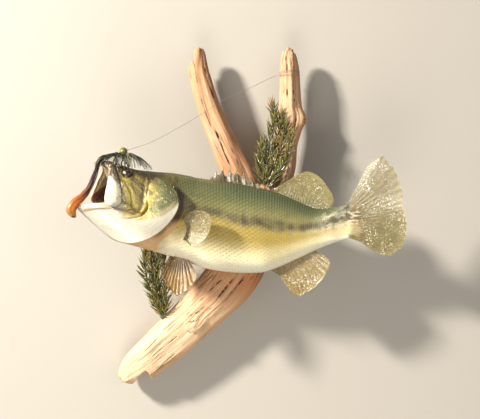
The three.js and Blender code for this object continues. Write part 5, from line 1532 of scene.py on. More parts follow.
def fin(name, node_names, root, outer, bow, rays, nu=None, nv=44, t_root=1.5, t_edge=0.55, mat=None, curl=0.8,
        seed=0, spread=None, wave=1.0, frill=1.0, extend=0.0, flesh=None):
    """A fan of rays that fork towards the margin, with a thin membrane that dips between them."""
    r, o = path(root), path(outer)
    nu = nu or rays * 9
    per = 9

    def centre(u, v):
        a, b = r(u), o(u)
        v = np.asarray(v, float)
        return a + (b - a) * v[..., None] + bow(u, v)

    U, Vv = np.meshgrid(np.linspace(0, 1, nu + 1), np.linspace(-extend, 1, nv + 1), indexing="ij")
    cell = U * rays
    loc = cell - np.floor(np.minimum(cell, rays - 1e-6)) - 0.5  # -0.5..0.5 across one ray's share
    f1, f2 = sstep(0.40, 0.60, Vv), sstep(0.70, 0.86, Vv)
    branch = 0.135 * f1
    twig = 0.065 * f2
    d = np.minimum(np.abs(loc - branch), np.abs(loc + branch))
    d = np.minimum(d, np.minimum(np.minimum(np.abs(loc - branch - twig), np.abs(loc - branch + twig)),
                                 np.minimum(np.abs(loc + branch - twig), np.abs(loc + branch + twig))))
    wr = mix(0.17, 0.055, sstep(0.0, 1.0, Vv))
    ray = np.exp(-((d / wr) ** 2))
    ray = ray * (1 - 0.35 * sstep(0.9, 1.0, Vv))
    # margin: slightly ragged, in step with the rays, with a few nicks
    i_ray = np.floor(np.minimum(cell, rays - 1e-6))
    rag = 0.010 * np.cos(2 * np.pi * loc) + 0.018 * noise(np.stack([cell * 0.9, 0 * cell], -1), seed + 3)
    nick = 0.045 * (hash01(i_ray, np.full(i_ray.shape, seed + 9)) > 0.80) * np.exp(-((np.abs(loc) - 0.5) / 0.08) ** 2)
    reach = 1 - frill * (0.014 + nick - rag * 0.9) * sstep(0.55, 1.0, Vv)
    ends_ = sstep(0, 0.03, U) * (1 - sstep(0.97, 1, U))
    Vr = Vv * mix(1.0, reach, ends_)
    C = centre(U, Vr)
    e = 2e-3
    du = unit(centre(np.clip(U + e, 0, 1), np.clip(Vr, 0.02, 0.98)) - centre(np.clip(U - e, 0, 1), np.clip(Vr, 0.02, 0.98)))
    dv = unit(centre(np.clip(U, 0.02, 0.98), Vr + e) - centre(np.clip(U, 0.02, 0.98), Vr - e))
    N = unit(np.cross(du, dv))
    ripple_ = wave * (0.22 * np.sin(2 * np.pi * cell / 1.0 + 1.3) * sstep(0.1, 0.8, Vv)
                      + 1.5 * noise(np.stack([U * 5.0, Vv * 1.6], -1), seed + 21) * sstep(0.2, 1.0, Vv))
    C = C + N * (ripple_ * curl)[..., None]
    thick = mix(t_root, t_edge, sstep(0, 1, Vv)) * (0.42 + 0.58 * ray)
    thick = thick * (0.35 + 0.65 * np.minimum(ends_ * 1.0 + 0.0, 1))
    if flesh:  # the meat of the tail's root runs out between the rays
        thick = thick + 4.2 * (1 - sstep(0.08, flesh + 0.16, Vv)) * np.sin(np.pi * np.clip(U, 0.02, 0.98)) ** 0.5
    top, bot = C + N * (thick / 2)[..., None], C - N * (thick / 2)[..., None]
    m_ = nv + 1
    q = grid_quads(nu + 1, m_)
    off = (nu + 1) * m_
    edge = ([i * m_ for i in range(nu)] + [nu * m_ + j for j in range(nv)] + [i * m_ + nv for i in range(nu, 0, -1)]
            + [j for j in range(nv, 0, -1)])
    a = np.array(edge)
    b = np.roll(a, -1)
    side_ = np.stack([a, b, b + off, a + off], -1)
    me = raw_mesh(name, np.vstack([top.reshape(-1, 3), bot.reshape(-1, 3)]), np.vstack([q[:, ::-1], q + off, side_]))
    attribute(me, "ray", np.tile(ray.ravel(), 2))
    attribute(me, "fv", np.tile(np.clip(Vv, 0, 1).ravel(), 2))
    if flesh:
        attribute(me, "paint", markings(np.vstack([top.reshape(-1, 3), bot.reshape(-1, 3)]))[0])
        run = Vv + 0.05 * noise(np.stack([cell * 0.8, Vv * 14], -1), seed + 41) - 0.05 * ray
        attribute(me, "fleshy", np.tile((1 - sstep(flesh, flesh + 0.13, run)).ravel(), 2))
    length = np.linalg.norm(o(U[:, 0]) - r(U[:, 0]), axis=1)[:, None]
    seg = 0.5 + 0.5 * np.cos(2 * np.pi * Vv * length / 1.7)
    attribute(me, "seg", np.tile(seg.ravel(), 2))
    bl = sstep(0.15, 0.6, fbm(np.stack([U * 9, Vv * 4], -1), seed + 31, 3)) * sstep(0.1, 0.3, Vv) * (1 - sstep(0.75, 0.95, Vv))
    attribute(me, "blotch", np.tile((bl * 0.55).ravel(), 2))
    me.update()
    ob = add_object(name, me, mat)
    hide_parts(*node_names)
    return ob


FIN_BACK = fin_material("fin_of_the_back", rgb(128, 118, 52), rgb(92, 94, 44), rgb(168, 158, 112), rgb(156, 142, 74))
FIN_TAIL = fin_material("fin_of_the_tail", rgb(118, 108, 60), rgb(120, 92, 52), rgb(166, 156, 116), rgb(152, 136, 86),
                        tone=(0.64, 0.62, 0.36), flesh=True)
FIN_LOW = fin_material("fin_below", rgb(142, 120, 54), rgb(180, 156, 96), rgb(172, 156, 106), rgb(166, 142, 78))
FIN_SIDE = fin_material("fin_of_the_side", rgb(108, 98, 58), rgb(128, 112, 58), rgb(158, 148, 112), rgb(144, 130, 84), tone=(0.84, 0.82, 0.70))
FIN_PELVIC = fin_material("fin_pelvic", rgb(160, 126, 56), rgb(190, 160, 92), rgb(182, 156, 94), rgb(178, 144, 74), 0.35, tone=(0.56, 0.47, 0.20))


def on_line(pairs, drop=0.0):
    return [(x, float(trunkOut(x)), z) for x, z in pairs]


def zero(u, v):
    return np.zeros(np.shape(u) + (3,))


def sideways(f):
    def g(u, v):
        out = np.zeros(np.broadcast(u, v).shape + (3,))
        out[..., 1] = f(u, v)
        return out
    return g


fin("fin_soft_dorsal_rays", ["fin_soft_dorsal"],
    on_line([(24, 4), (44, -3), (64, -13), (84, -24), (103, -27)]),
    on_line([(24, 17), (35.8, 24.2), (47.9, 31.6), (58.2, 38), (66.7, 42.8), (75.2, 44.8), (85.4, 42.3), (97, 33.6),
             (107.2, 21.6), (115.2, 7.8), (117, -2.5), (114.4, -13)]),
    sideways(lambda u, v: -5 * np.sin(np.pi * u) * v * v), 22, mat=FIN_BACK, seed=1, nv=60)
fin("fin_anal_rays", ["fin_anal"],
    on_line([(18, -99), (34, -92), (52, -84), (68, -75), (80, -71)]),
    on_line([(18.4, -114), (26, -118.5), (32.3, -123.4), (42.6, -138), (53, -149.6), (61.6, -154.4), (70.2, -152),
             (83.8, -144), (97.2, -131.6), (105.7, -117.6), (111.4, -103.8), (110.4, -95.6), (103.8, -91.2), (94, -89.6),
             (80, -88.6)]),
    sideways(lambda u, v: -4 * np.sin(np.pi * u) * v * v), 20, mat=FIN_LOW, seed=2, nv=60)


def tail_curl(x):
    q = np.maximum(0, np.asarray(x, float) - 142)
    return -0.34 * q + 0.0012 * q * q


def tail_points(pairs):
    return [(x, -121.4 + float(tail_curl(x)), z) for x, z in pairs]


fin("fin_caudal_rays", ["fin_caudal"],
    tail_points([(134, -13), (136, -21), (137, -32), (136, -44), (134, -53)]),
    tail_points([(141, -2.6), (153.8, 19.6), (166.6, 47), (177.2, 60.4), (190, 67.6), (200, 59.8), (211.2, 42.8),
                 (218, 24.2), (220, 7.4), (219.8, -6.3), (221.6, -16.2), (225, -28.1), (227, -43.3), (225.6, -58.4),
                 (220.9, -71.8), (211.3, -83.6), (198.2, -88.4), (185.1, -85.8), (170.4, -77.6), (158.8, -69),
                 (141, -61.8)]),
    sideways(lambda u, v: 3.5 * np.sin(3 * np.pi * u) * v * v), 30, nv=90, t_root=2.4, t_edge=0.6, mat=FIN_TAIL, seed=3,
    curl=1.0, flesh=0.17)
root_y = float(on_trunk(-122, -16)[1])
pec_root = [(-128, root_y + 9, -41), (-126.5, root_y + 8, -47), (-125, root_y + 8, -53), (-123, root_y + 9, -60)]
pec_out = [(-118, -148, -30), (-111, -150, -24), (-103, -152.5, -19.5), (-95, -154, -17.4), (-86, -155.5, -18),
           (-78.5, -156, -22.5), (-74.4, -156, -31), (-74, -155.5, -41), (-77, -154, -51), (-83, -152, -60),
           (-90, -150, -67.5), (-98, -148, -73.4), (-107, -146, -73.2), (-114, -143.5, -66)]
fin("fin_pectoral_left_rays", ["fin_pectoral_left"], pec_root, pec_out,
    sideways(lambda u, v: -5 * np.sin(np.pi * u) * v), 20, mat=FIN_SIDE, seed=4, wave=1.2, curl=0.8)


def across(p, x0):
    m_ = vec(x0, float(trunkOut(x0)), 0)
    sl = float(trunk_slope(x0))
    s_ = unit(vec(sl, -1, 0))
    p = np.array(p, float)
    return p - 2 * s_ * ((p - m_) @ s_)[..., None]


flat_y = float(on_trunk(-110, 180)[1])
mirror = lambda pts: [(q[0], mix(flat_y, q[1], 0.72), q[2]) for q in across(pts, -122)]
pr = mirror(pec_root)
fin("fin_pectoral_right_rays", ["fin_pectoral_right"], pr, mirror(pec_out),
    sideways(lambda u, v: 5 * np.sin(np.pi * u) * v), 20, mat=FIN_SIDE, seed=5)
PY = -112
pel_root = [(-131, PY + 4, -80), (-127, PY + 2, -82), (-122, PY + 1, -84.5), (-115, PY + 2, -87.5)]
pel_out = [(-137.5, -117, -97), (-142.4, -119, -108.4), (-146, -121, -120), (-145, -122, -130), (-141.3, -123, -138),
           (-135.8, -124, -147.2), (-129, -124.5, -151.6), (-121.4, -124, -149.2), (-112.6, -123, -141.5),
           (-105, -121.5, -133), (-99.6, -120, -121), (-104, -118, -110.5), (-111, -116, -103.5)]
fin("fin_pelvic_left_rays", ["fin_pelvic_left"], pel_root, pel_out,
    sideways(lambda u, v: -4 * np.sin(np.pi * u) * v * v), 13, mat=FIN_PELVIC, seed=6, wave=0.6, frill=0.5)
pm = lambda pts: [(q[0] - 4, q[1] + 3, q[2] + 3) for q in across(pts, -118)]
fin("fin_pelvic_right_rays", ["fin_pelvic_right"], pm(pel_root), pm(pel_out),
    sideways(lambda u, v: 4 * np.sin(np.pi * u) * v * v), 13, mat=FIN_PELVIC, seed=7, wave=0.6, frill=0.5)

# the first fin of the back: ten hard spines with a membrane that sags between them
SPINES = 10
root_sd = path(on_line([(-80, 28), (-60, 20), (-38, 16), (-14, 11), (8, 5), (27, 0)]))
out_sd = path(on_line([(-77.6, 36), (-72.5, 44), (-66, 51), (-58, 53.5), (-50.5, 55.5), (-42, 52.5), (-35.5, 52.5),
                       (-28, 48.5), (-21, 45.5), (-13, 40), (-5, 31.5), (3, 25.5), (12, 22), (22, 19.5)]))
NU, NV = 180, 26
U, Vv = np.meshgrid(np.linspace(0, 1, NU + 1), np.linspace(0, 1, NV + 1), indexing="ij")
cell = U * (SPINES - 1)
k0 = np.floor(np.minimum(cell, SPINES - 1.001))
loc = cell - k0
sag = (0.15 + 0.16 * hash01(k0, np.full(k0.shape, 77))) * np.sin(np.pi * loc ** 0.8) * (0.45 + 0.55 * sstep(0.0, 0.12, U))
hgt = (0.84 - 1.25 * sag) + 0.012 * noise(np.stack([cell * 5, 0 * cell], -1), 5)
base, tipp = root_sd(U), out_sd(U)
C = base + (tipp - base) * (Vv * hgt)[..., None]
C[..., 1] += 2.2 * np.sin(np.pi * U) * Vv + (0.9 * np.sin(np.pi * loc) * np.where(k0 % 2 == 0, 1, -1)
                                            + 0.7 * noise(np.stack([cell * 1.7, Vv * 3], -1), 6)) * sstep(0.1, 0.9, Vv)
th = mix(0.9, 0.35, Vv)
off_y = np.zeros_like(C)
off_y[..., 1] = th / 2
m_ = NV + 1
q = grid_quads(NU + 1, m_)
off = (NU + 1) * m_
edge = ([i * m_ for i in range(NU)] + [NU * m_ + j for j in range(NV)] + [i * m_ + NV for i in range(NU, 0, -1)]
        + [j for j in range(NV, 0, -1)])
a = np.array(edge)
b = np.roll(a, -1)
pts = [np.vstack([(C + off_y).reshape(-1, 3), (C - off_y).reshape(-1, 3)])]
quads = [np.vstack([q, (q + off)[:, ::-1], np.stack([b, a, a + off, b + off], -1)])]
tris = []
rayv = [np.full(2 * off, 0.0)]
fvv = [np.tile(Vv.ravel(), 2) * 0.9]
n_ = 2 * off
for i in range(SPINES):
    u = np.array([min(0.995, max(0.012, i / (SPINES - 1)))])
    p0, p1 = root_sd(u)[0], out_sd(u)[0]
    w = np.linspace(-0.05, 1.0, 16)
    line = p0 + (p1 - p0) * w[:, None]
    line[:, 1] += 2.2 * math.sin(math.pi * float(u[0])) * w
    line[:, 0] += 1.6 * np.clip(w, 0, 1) ** 2
    tp, tq, tt = tube_arrays(line, mix(1.25, 0.30, np.clip(w, 0, 1)) * (0.75 if i else 0.6), 8)
    pts.append(tp)
    quads.append(tq + n_)
    tris.append(tt + n_)
    n_ += len(tp)
    rayv.append(np.full(len(tp), 1.0))
    fvv.append(np.concatenate([np.repeat(np.clip(w, 0, 1), 8), [0, 1]]) * 0.9)
me = raw_mesh("fin_spiny_dorsal_spines", np.vstack(pts), np.vstack(quads), np.vstack(tris))
attribute(me, "ray", np.concatenate(rayv))
attribute(me, "fv", np.concatenate(fvv))
attribute(me, "seg", np.zeros(n_))
attribute(me, "blotch", np.concatenate([np.tile((0.7 * sstep(0.1, 0.5, fbm(np.stack([cell * 1.2, Vv * 3], -1), 8, 2))).ravel(), 2),
                                        np.zeros(n_ - 2 * off)]))
FIN_SPINY = fin_material("fin_spiny", rgb(128, 120, 84), rgb(104, 106, 62), rgb(170, 162, 126), rgb(120, 110, 72),
                         0.40, tone=(0.50, 0.47, 0.36))
o = add_object("fin_spiny_dorsal_spines", me, FIN_SPINY)
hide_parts("fin_spiny_dorsal")
tick("fins")


# ============================================================== driftwood
def ripple(t, w, seed):
    return (0.05 * np.sin(3 * w + seed + 5 * t) + 0.035 * np.sin(5 * w + 2.1 * seed - 9 * t)
            + 0.03 * np.sin(2 * w - 7 * t + seed))


class Limb:
    def __init__(self, rows, seed):
        rows = np.array(rows, float)
        k = np.linspace(0, 1, len(rows))
        self.f = [curve(list(zip(k, rows[:, j]))) for j in range(5)]
        self.seed = seed
        t = np.linspace(0, 1, 400)
        self.ts, self.line = t, self.point(t)
        self.arc = np.concatenate([[0], np.cumsum(np.linalg.norm(np.diff(self.line, axis=0), axis=1))])

    def point(self, t):
        t = np.asarray(t, float)
        return np.stack([self.f[0](t), self.f[1](t), self.f[2](t)], -1)

    def side(self, t):
        d = self.point(np.clip(np.asarray(t) + 0.02, 0, 1)) - self.point(np.clip(np.asarray(t) - 0.02, 0, 1))
        return unit(np.stack([d[..., 2], 0 * d[..., 0], -d[..., 0]], -1))

    def at(self, t, w, grow=0.0):
        t, w = np.broadcast_arrays(np.asarray(t, float), np.asarray(w, float))
        r = 1 + ripple(t, w, self.seed)
        deep = vec(0, 1, 0)
        return (self.point(t) + self.side(t) * ((self.f[3](t) * r + grow) * spow(np.cos(w), 0.88))[..., None]
                + deep * ((self.f[4](t) * r + grow) * spow(np.sin(w), 0.88))[..., None])

    def rings(self, n=150, sides=96):
        t = np.linspace(0, 1, n)
        return self.at(t[:, None], (2 * np.pi * np.arange(sides) / sides)[None, :])

    def grain(self, p):
        """How far along, which way round and how far off the middle line, for points p."""
        best = np.full(len(p), 1e9)
        k = np.zeros(len(p), int)
        for i in range(0, 400, 4):
            d = ((p[:, [0, 2]] - self.line[i, [0, 2]]) ** 2).sum(1)
            m_ = d < best
            best[m_] = d[m_]
            k[m_] = i
        e = self.line[np.minimum(k + 4, 399)] - self.line[np.maximum(k - 4, 0)]
        e = unit(e)
        off = p - self.line[k]
        s = self.arc[k] + (off * e).sum(1)
        t = self.ts[k]
        a = (off * self.side(t)).sum(1)
        b = off[:, 1]
        hw, hd = self.f[3](t), self.f[4](t)
        rel = np.sqrt((a / hw) ** 2 + (b / hd) ** 2)
        turn = np.mod(np.arctan2(b / hd, a / hw) - np.pi / 2, 2 * np.pi)
        return s, turn * 0.5 * (hw.mean() + hd.mean()), rel + 0.02 * np.maximum(np.abs((off * e).sum(1)) - 6, 0), t


LOG = Limb([(-230, -28, -303.5, 6, 7), (-227.5, -28, -301, 12.5, 13), (-221, -28, -295.5, 20, 18), (-209, -28, -285, 28, 21),
            (-188, -28, -269, 33, 24), (-163, -28, -246.5, 34.5, 26.5), (-136, -28, -222.5, 35.5, 28.5),
            (-107, -28.5, -194.5, 36.3, 31), (-78, -29, -165, 38.5, 34), (-52, -30, -136, 42, 36), (-33, -31, -104, 44, 37.5),
            (-19, -31.5, -70, 44, 38.5), (-8, -31, -36, 41, 38.5), (-1, -30.5, -10, 36, 37), (3, -30.5, 6, 31, 34.5),
            (5, -31, 15, 23, 29), (6, -31, 20, 14, 22)], 0.7)
LIMB_L = Limb([(-6, -30, -22, 20, 23), (-18, -31, 6, 21.5, 23.5), (-31.5, -33, 38, 22.4, 22), (-45, -35, 66, 22.8, 20),
               (-59, -36, 96, 22, 18.5), (-74, -36.5, 131, 20.2, 17.5), (-87, -37, 167, 18.4, 17), (-96, -37, 199, 17.4, 16),
               (-101, -37, 221, 16.2, 14.5), (-100.5, -37, 236, 12.5, 12), (-99.5, -37, 247, 9.2, 9.5),
               (-98.4, -37, 254, 4.5, 5.5)], 2.3)
LIMB_R = Limb([(4, -30, -24, 20, 22), (18, -31.5, 2, 23, 23), (34, -34, 30, 21.5, 21.5), (44, -37, 58, 18.8, 19),
               (46.5, -38.5, 90, 18.2, 17.5), (52, -39, 118, 20, 17), (55, -39, 137, 21.8, 17), (53, -39, 154, 19.2, 16.5),
               (52, -39, 182, 17.2, 16), (51, -39, 212, 16.2, 15), (50, -39, 232, 14.4, 13), (50.5, -39, 246, 10.6, 10),
               (54, -39, 253, 4.5, 5)], 4.1)

WG = Grid((-242, -78, -318), (92, 4, 264), 1.2, 8)
wl, wll, wlr = [WG.level(*loft_arrays(L.rings())) for L in (LOG, LIMB_L, LIMB_R)]
WX, WY, WZ = WG.points()
WX2, WZ2 = WX[:, 0, :], WZ[:, 0, :]


def seg_dist(x, z, pts):
    """Distance in the plane of the wall to a line of points, and how far along it, 0..1."""
    best = np.full(x.shape, 1e9)
    along = np.zeros(x.shape)
    n = len(pts) - 1
    for i in range(n):
        (x0, z0), (x1, z1) = pts[i], pts[i + 1]
        dx, dz = x1 - x0, z1 - z0
        t = np.clip(((x - x0) * dx + (z - z0) * dz) / (dx * dx + dz * dz), 0, 1)
        d = np.hypot(x - x0 - t * dx, z - z0 - t * dz)
        m_ = d < best
        best = np.where(m_, d, best)
        along = np.where(m_, (i + t) / n, along)
    return best, along


def poly_sdf(x, z, pts):
    pts = list(pts)
    d, _ = seg_dist(x, z, pts + [pts[0]])
    inside = np.zeros(x.shape, bool)
    for (x0, z0), (x1, z1) in zip(pts, pts[1:] + [pts[0]]):
        c = ((z0 > z) != (z1 > z))
        with np.errstate(divide="ignore", invalid="ignore"):
            xi = (x1 - x0) * (z - z0) / (z1 - z0) + x0
        inside ^= c & (x < xi)
    return np.where(inside, -d, d)


# the two splits go right through the ends
foot = poly_sdf(WX2, WZ2, [(-188, -284.5), (-199, -295), (-214, -313), (-214, -345), (-150, -345), (-160, -299),
                           (-174, -301.5), (-180.5, -298.5), (-182.5, -288.5)])
wl = np.maximum(wl, -foot[:, None, :].astype(np.float32))
nick = poly_sdf(WX2, WZ2, [(-174.2, -292), (-178.2, -309), (-171, -309), (-169, -297)])
wl = np.maximum(wl, -(nick[:, None, :] + 0.2).astype(np.float32))
top = poly_sdf(WX2, WZ2, [(-104.6, 219), (-106.8, 236.5), (-108.6, 247), (-110, 265), (-135, 265), (-135, 228),
                          (-118, 219.5), (-110.8, 232.5)])
wll = np.maximum(wll, -top[:, None, :].astype(np.float32))
topr = poly_sdf(WX2, WZ2, [(46.4, 246.5), (48.6, 262), (37, 262), (38, 251)])
wlr = np.maximum(wlr, -topr[:, None, :].astype(np.float32))


def spot(cx, cy, cz, rx, ry, rz):
    k = np.sqrt(((WX - cx) / rx) ** 2 + ((WY - cy) / ry) ** 2 + ((WZ - cz) / rz) ** 2)
    return ((k - 1) * min(rx, ry, rz)).astype(np.float32)


# knots: the broken stub on the right branch, and the low bump on the log
wlr = smin(wlr, spot(70.5, -40, 134, 8.5, 10, 10), 7.0)
wlr = np.maximum(wlr, -(spot(77.5, -46, 131.5, 3.6, 6, 5.0)))
wl = smin(wl, spot(-106, -50, -206, 15, 13, 11), 9.0)
WOOD = smin(smin(wl, wll, 9.0), wlr, 9.0)
del wl, wll, wlr


def photo_mm(px, py, y=-62.0):
    k = (1400 + y) / 812.5
    return (px - 240) * k - 31, -16.4 - (py - 209.5) * k


CRACKS = [  # points, width, depth
    ([(193.4, 58), (195.2, 70), (198.5, 88), (203, 105), (210.8, 126)], 2.1, 10),
    ([(214, 127), (219, 138), (224, 152), (231, 167)], 1.5, 7),
    ([(204.5, 66), (208, 80), (213.5, 97)], 1.1, 4),
    ([(226, 134), (232, 149), (240, 166)], 1.0, 4),
    ([(286.4, 53), (287.6, 66), (286.8, 84), (288, 98)], 1.2, 5),
    ([(291.6, 56), (292.6, 76), (295.2, 104)], 1.4, 6),
    ([(297, 108), (296, 122), (292, 140)], 1.1, 4),
    ([(146.5, 363), (154, 356), (163, 348), (176.8, 337)], 2.4, 11),
    ([(156, 372), (164, 363.5), (176, 353.5)], 1.8, 9),
    ([(145, 351.5), (151, 345.5), (158, 338)], 1.4, 6),
    ([(131.5, 360), (139, 352)], 1.0, 4),
    ([(130, 348), (138, 340.5)], 0.9, 3),
    ([(183, 320), (190, 316), (199, 312), (204, 307)], 1.3, 5),
    ([(186.5, 322.5), (193, 321.5), (200, 319.5)], 1.1, 4),
    ([(187.8, 331.0), (190.6, 332.8), (193, 331.6), (196.6, 334.4)], 2.0, 6),
    ([(190, 311), (200, 301), (212, 288), (222, 279)], 1.2, 5),
    ([(208, 311), (217, 299), (228, 285), (239, 272)], 1.5, 6),
    ([(222, 306), (232, 292), (245, 277)], 1.2, 5),
    ([(173, 330), (183, 319), (196, 305)], 0.9, 3),
    ([(198, 343), (209, 331), (222, 317)], 1.0, 4),
]
for pts_, wd, dp in CRACKS:
    line_ = [photo_mm(*q) for q in pts_]
    d2, al = seg_dist(WX2, WZ2, line_)
    d2 = d2 + 0.5 * noise(np.stack([WX2 / 9, WZ2 / 9], -1), 41)
    near = d2.min(axis=0) < 8
    wv = wd * (0.03 + 0.20 * np.sin(np.pi * (0.04 + 0.92 * al)) ** 0.9) * (1 + 0.35 * noise(np.stack([al * 9, 0 * al], -1), 43))
    cols = np.where(d2 < 6)
    sub = WOOD[cols[0], :, cols[1]]
    yy = WY[cols[0], :, cols[1]]
    g_ = d2[cols][:, None] - wv[cols][:, None] * (1 + sub / dp)
    cut = np.where((yy < -30) & (sub > -dp), -g_ * 0.9, -9.0)
    WOOD[cols[0], :, cols[1]] = np.maximum(sub, cut)

# the fish sits in the wood, and the back is planed flat for the wall
i0 = max(0, int((-236 - WG.lo[0]) / 1.2))
sel = (slice(None), slice(0, int((-45.5 + 78) / 1.2)), slice(int((-128 + 318) / 1.2) + 1, int((66 + 318) / 1.2)))
pp = np.stack([WX[sel], WY[sel], WZ[sel]], -1).reshape(-1, 3)
fv_ = np.full(len(pp), 9.0)
okp = WOOD[sel].ravel() < 4
fv_[okp] = G.sample(FISH, pp[okp])
WOOD[sel] = np.maximum(WOOD[sel], (0.45 - fv_).reshape(WOOD[sel].shape))
WOOD = np.maximum(WOOD, WY.astype(np.float32))


def box_field(x0, x1, y0, y1, z0, z1):
    return np.maximum(np.maximum(np.abs(WX - (x0 + x1) / 2) - (x1 - x0) / 2, np.abs(WY - (y0 + y1) / 2) - (y1 - y0) / 2),
                      np.abs(WZ - (z0 + z1) / 2) - (z1 - z0) / 2)


WOOD = np.maximum(WOOD, -box_field(-29.6, 13.6, -3.9, 9, -46.1, -29.9))
WOOD = np.maximum(WOOD, -box_field(-15, -1, -11, -2, -44.5, -31))
wv_, wq_ = biggest_part(*WG.mesh(WOOD))
del WX, WY, WZ
tick("wood field")
me = raw_mesh("driftwood", wv_, wq_)
P = coords(me)
Nn = normals(me)
gs = [L.grain(P) for L in (LOG, LIMB_L, LIMB_R)]
rel = np.stack([g_[2] for g_ in gs], -1)
rel[:, 1] += 0.5 * (P[:, 2] < 0)
rel[:, 2] += 0.5 * (P[:, 2] < 0)
pick = rel.argmin(1)
s_ = np.choose(pick, [g_[0] for g_ in gs])
c_ = np.choose(pick, [g_[1] for g_ in gs])
tt_ = np.choose(pick, [g_[3] for g_ in gs])
wander = 2.5 * noise(np.stack([s_ / 60, c_ / 40], -1), 51)
cw = c_ + wander
h = (1.05 * noise(np.stack([cw / 15, s_ / 130, pick], -1), 52) + 0.75 * noise(np.stack([cw / 6.5, s_ / 80, pick], -1), 53)
     + 0.38 * noise(np.stack([cw / 3.1, s_ / 55, pick], -1), 54) + 0.5 * fbm(P / 34, 55, 2))
# checks: short narrow splits that follow the grain
chk = np.abs(noise(np.stack([cw / 4.2, s_ / 95, pick], -1), 56))
gate = sstep(0.10, 0.45, noise(np.stack([cw / 14, s_ / 60, pick], -1), 57))
check = (1 - sstep(0.02, 0.16, chk)) * gate
h = h - 0.8 * check
# keep the back, the pocket and the seat of the fish as they are
hold = sstep(-0.6, -3.5, P[:, 1]) * (1 - sstep(0.5, 1.2, (Nn[:, 1] > 0.9) * 1.0))
fd = np.full(len(P), 9.0)
nearf = (P[:, 1] < -45.5) & (P[:, 2] > -127) & (P[:, 2] < 65)
fd[nearf] = G.sample(FISH, P[nearf])
hold = hold * sstep(1.2, 4.0, fd)
P2 = P + Nn * (h * hold)[:, None]
P2[:, 1] = np.minimum(P2[:, 1], 0.0)
me.vertices.foreach_set("co", (P2 * MM).astype(np.float32).ravel())
me.update()
Nn = normals(me)
deep_ = np.clip(-h / 1.6, 0, 1)
# how open the surface is: inside cracks and hollows it is painted dark, as painted shade
open_ = WG.sample(WOOD, P + Nn * 2.6)
crevice_shade = 1 - sstep(0.6, 2.3, open_)
crk = np.full(len(P), 9.0)
for pts_, wd, dp in CRACKS:
    dd, al_ = seg_dist(P[:, 0], P[:, 2], [photo_mm(*q) for q in pts_])
    dd = dd + 0.5 * noise(np.stack([P[:, 0] / 9, P[:, 2] / 9], -1), 41)
    crk = np.minimum(crk, dd - 0.26 * wd * np.sin(np.pi * (0.04 + 0.92 * al_)) ** 0.9 + 1.2 * (al_ <= 0.001) + 1.2 * (al_ >= 0.999))
crk = np.where((Nn[:, 1] < 0.35) & (P[:, 1] < -22), crk, 9.0)
attribute(me, "crack", np.clip(crk, -2, 9))
attribute(me, "grain", np.stack([cw, s_, pick * 60.0], -1))
attribute(me, "check", np.clip(check * hold, 0, 1))
attribute(me, "crevice_shade", np.clip(crevice_shade * hold, 0, 1))
# painted light and shade: cream on the foot and on faces turned towards the key lamp, brown on the far flank turned
# away from it and painted shadow where the fish keeps it dark, over some random tone
warm = sstep(-0.2, 0.9, Nn @ unit(vec(0.75, -0.1, -0.45))) * 0.75 + 0.55 * bell(P[:, 2], -95, 62) * (P[:, 2] < 10)
warm = warm + 0.30 * fbm(np.stack([cw / 22, s_ / 70, pick], -1), 58, 3) + 0.12 * sstep(60, 0, P[:, 2]) * (P[:, 2] > 0)
attribute(me, "warm", np.clip(warm, 0, 1))
endgrain = np.maximum(1 - sstep(0.012, 0.035, tt_), sstep(0.965, 0.99, tt_)) * (np.where(pick == 0, P[:, 2] < -100, P[:, 2] > 100))
attribute(me, "endgrain", endgrain)
# the foot is bleached nearly white, the rest has kept some red
attribute(me, "peach", np.clip(sstep(-205, -135, P[:, 2]) * np.choose(pick, [0.95, 0.85, 0.60])
                               * (0.9 + 0.25 * fbm(np.stack([cw / 30, s_ / 90, pick], -1), 59, 2)), 0, 1))
print("driftwood", len(me.polygons) * 2, "triangles")


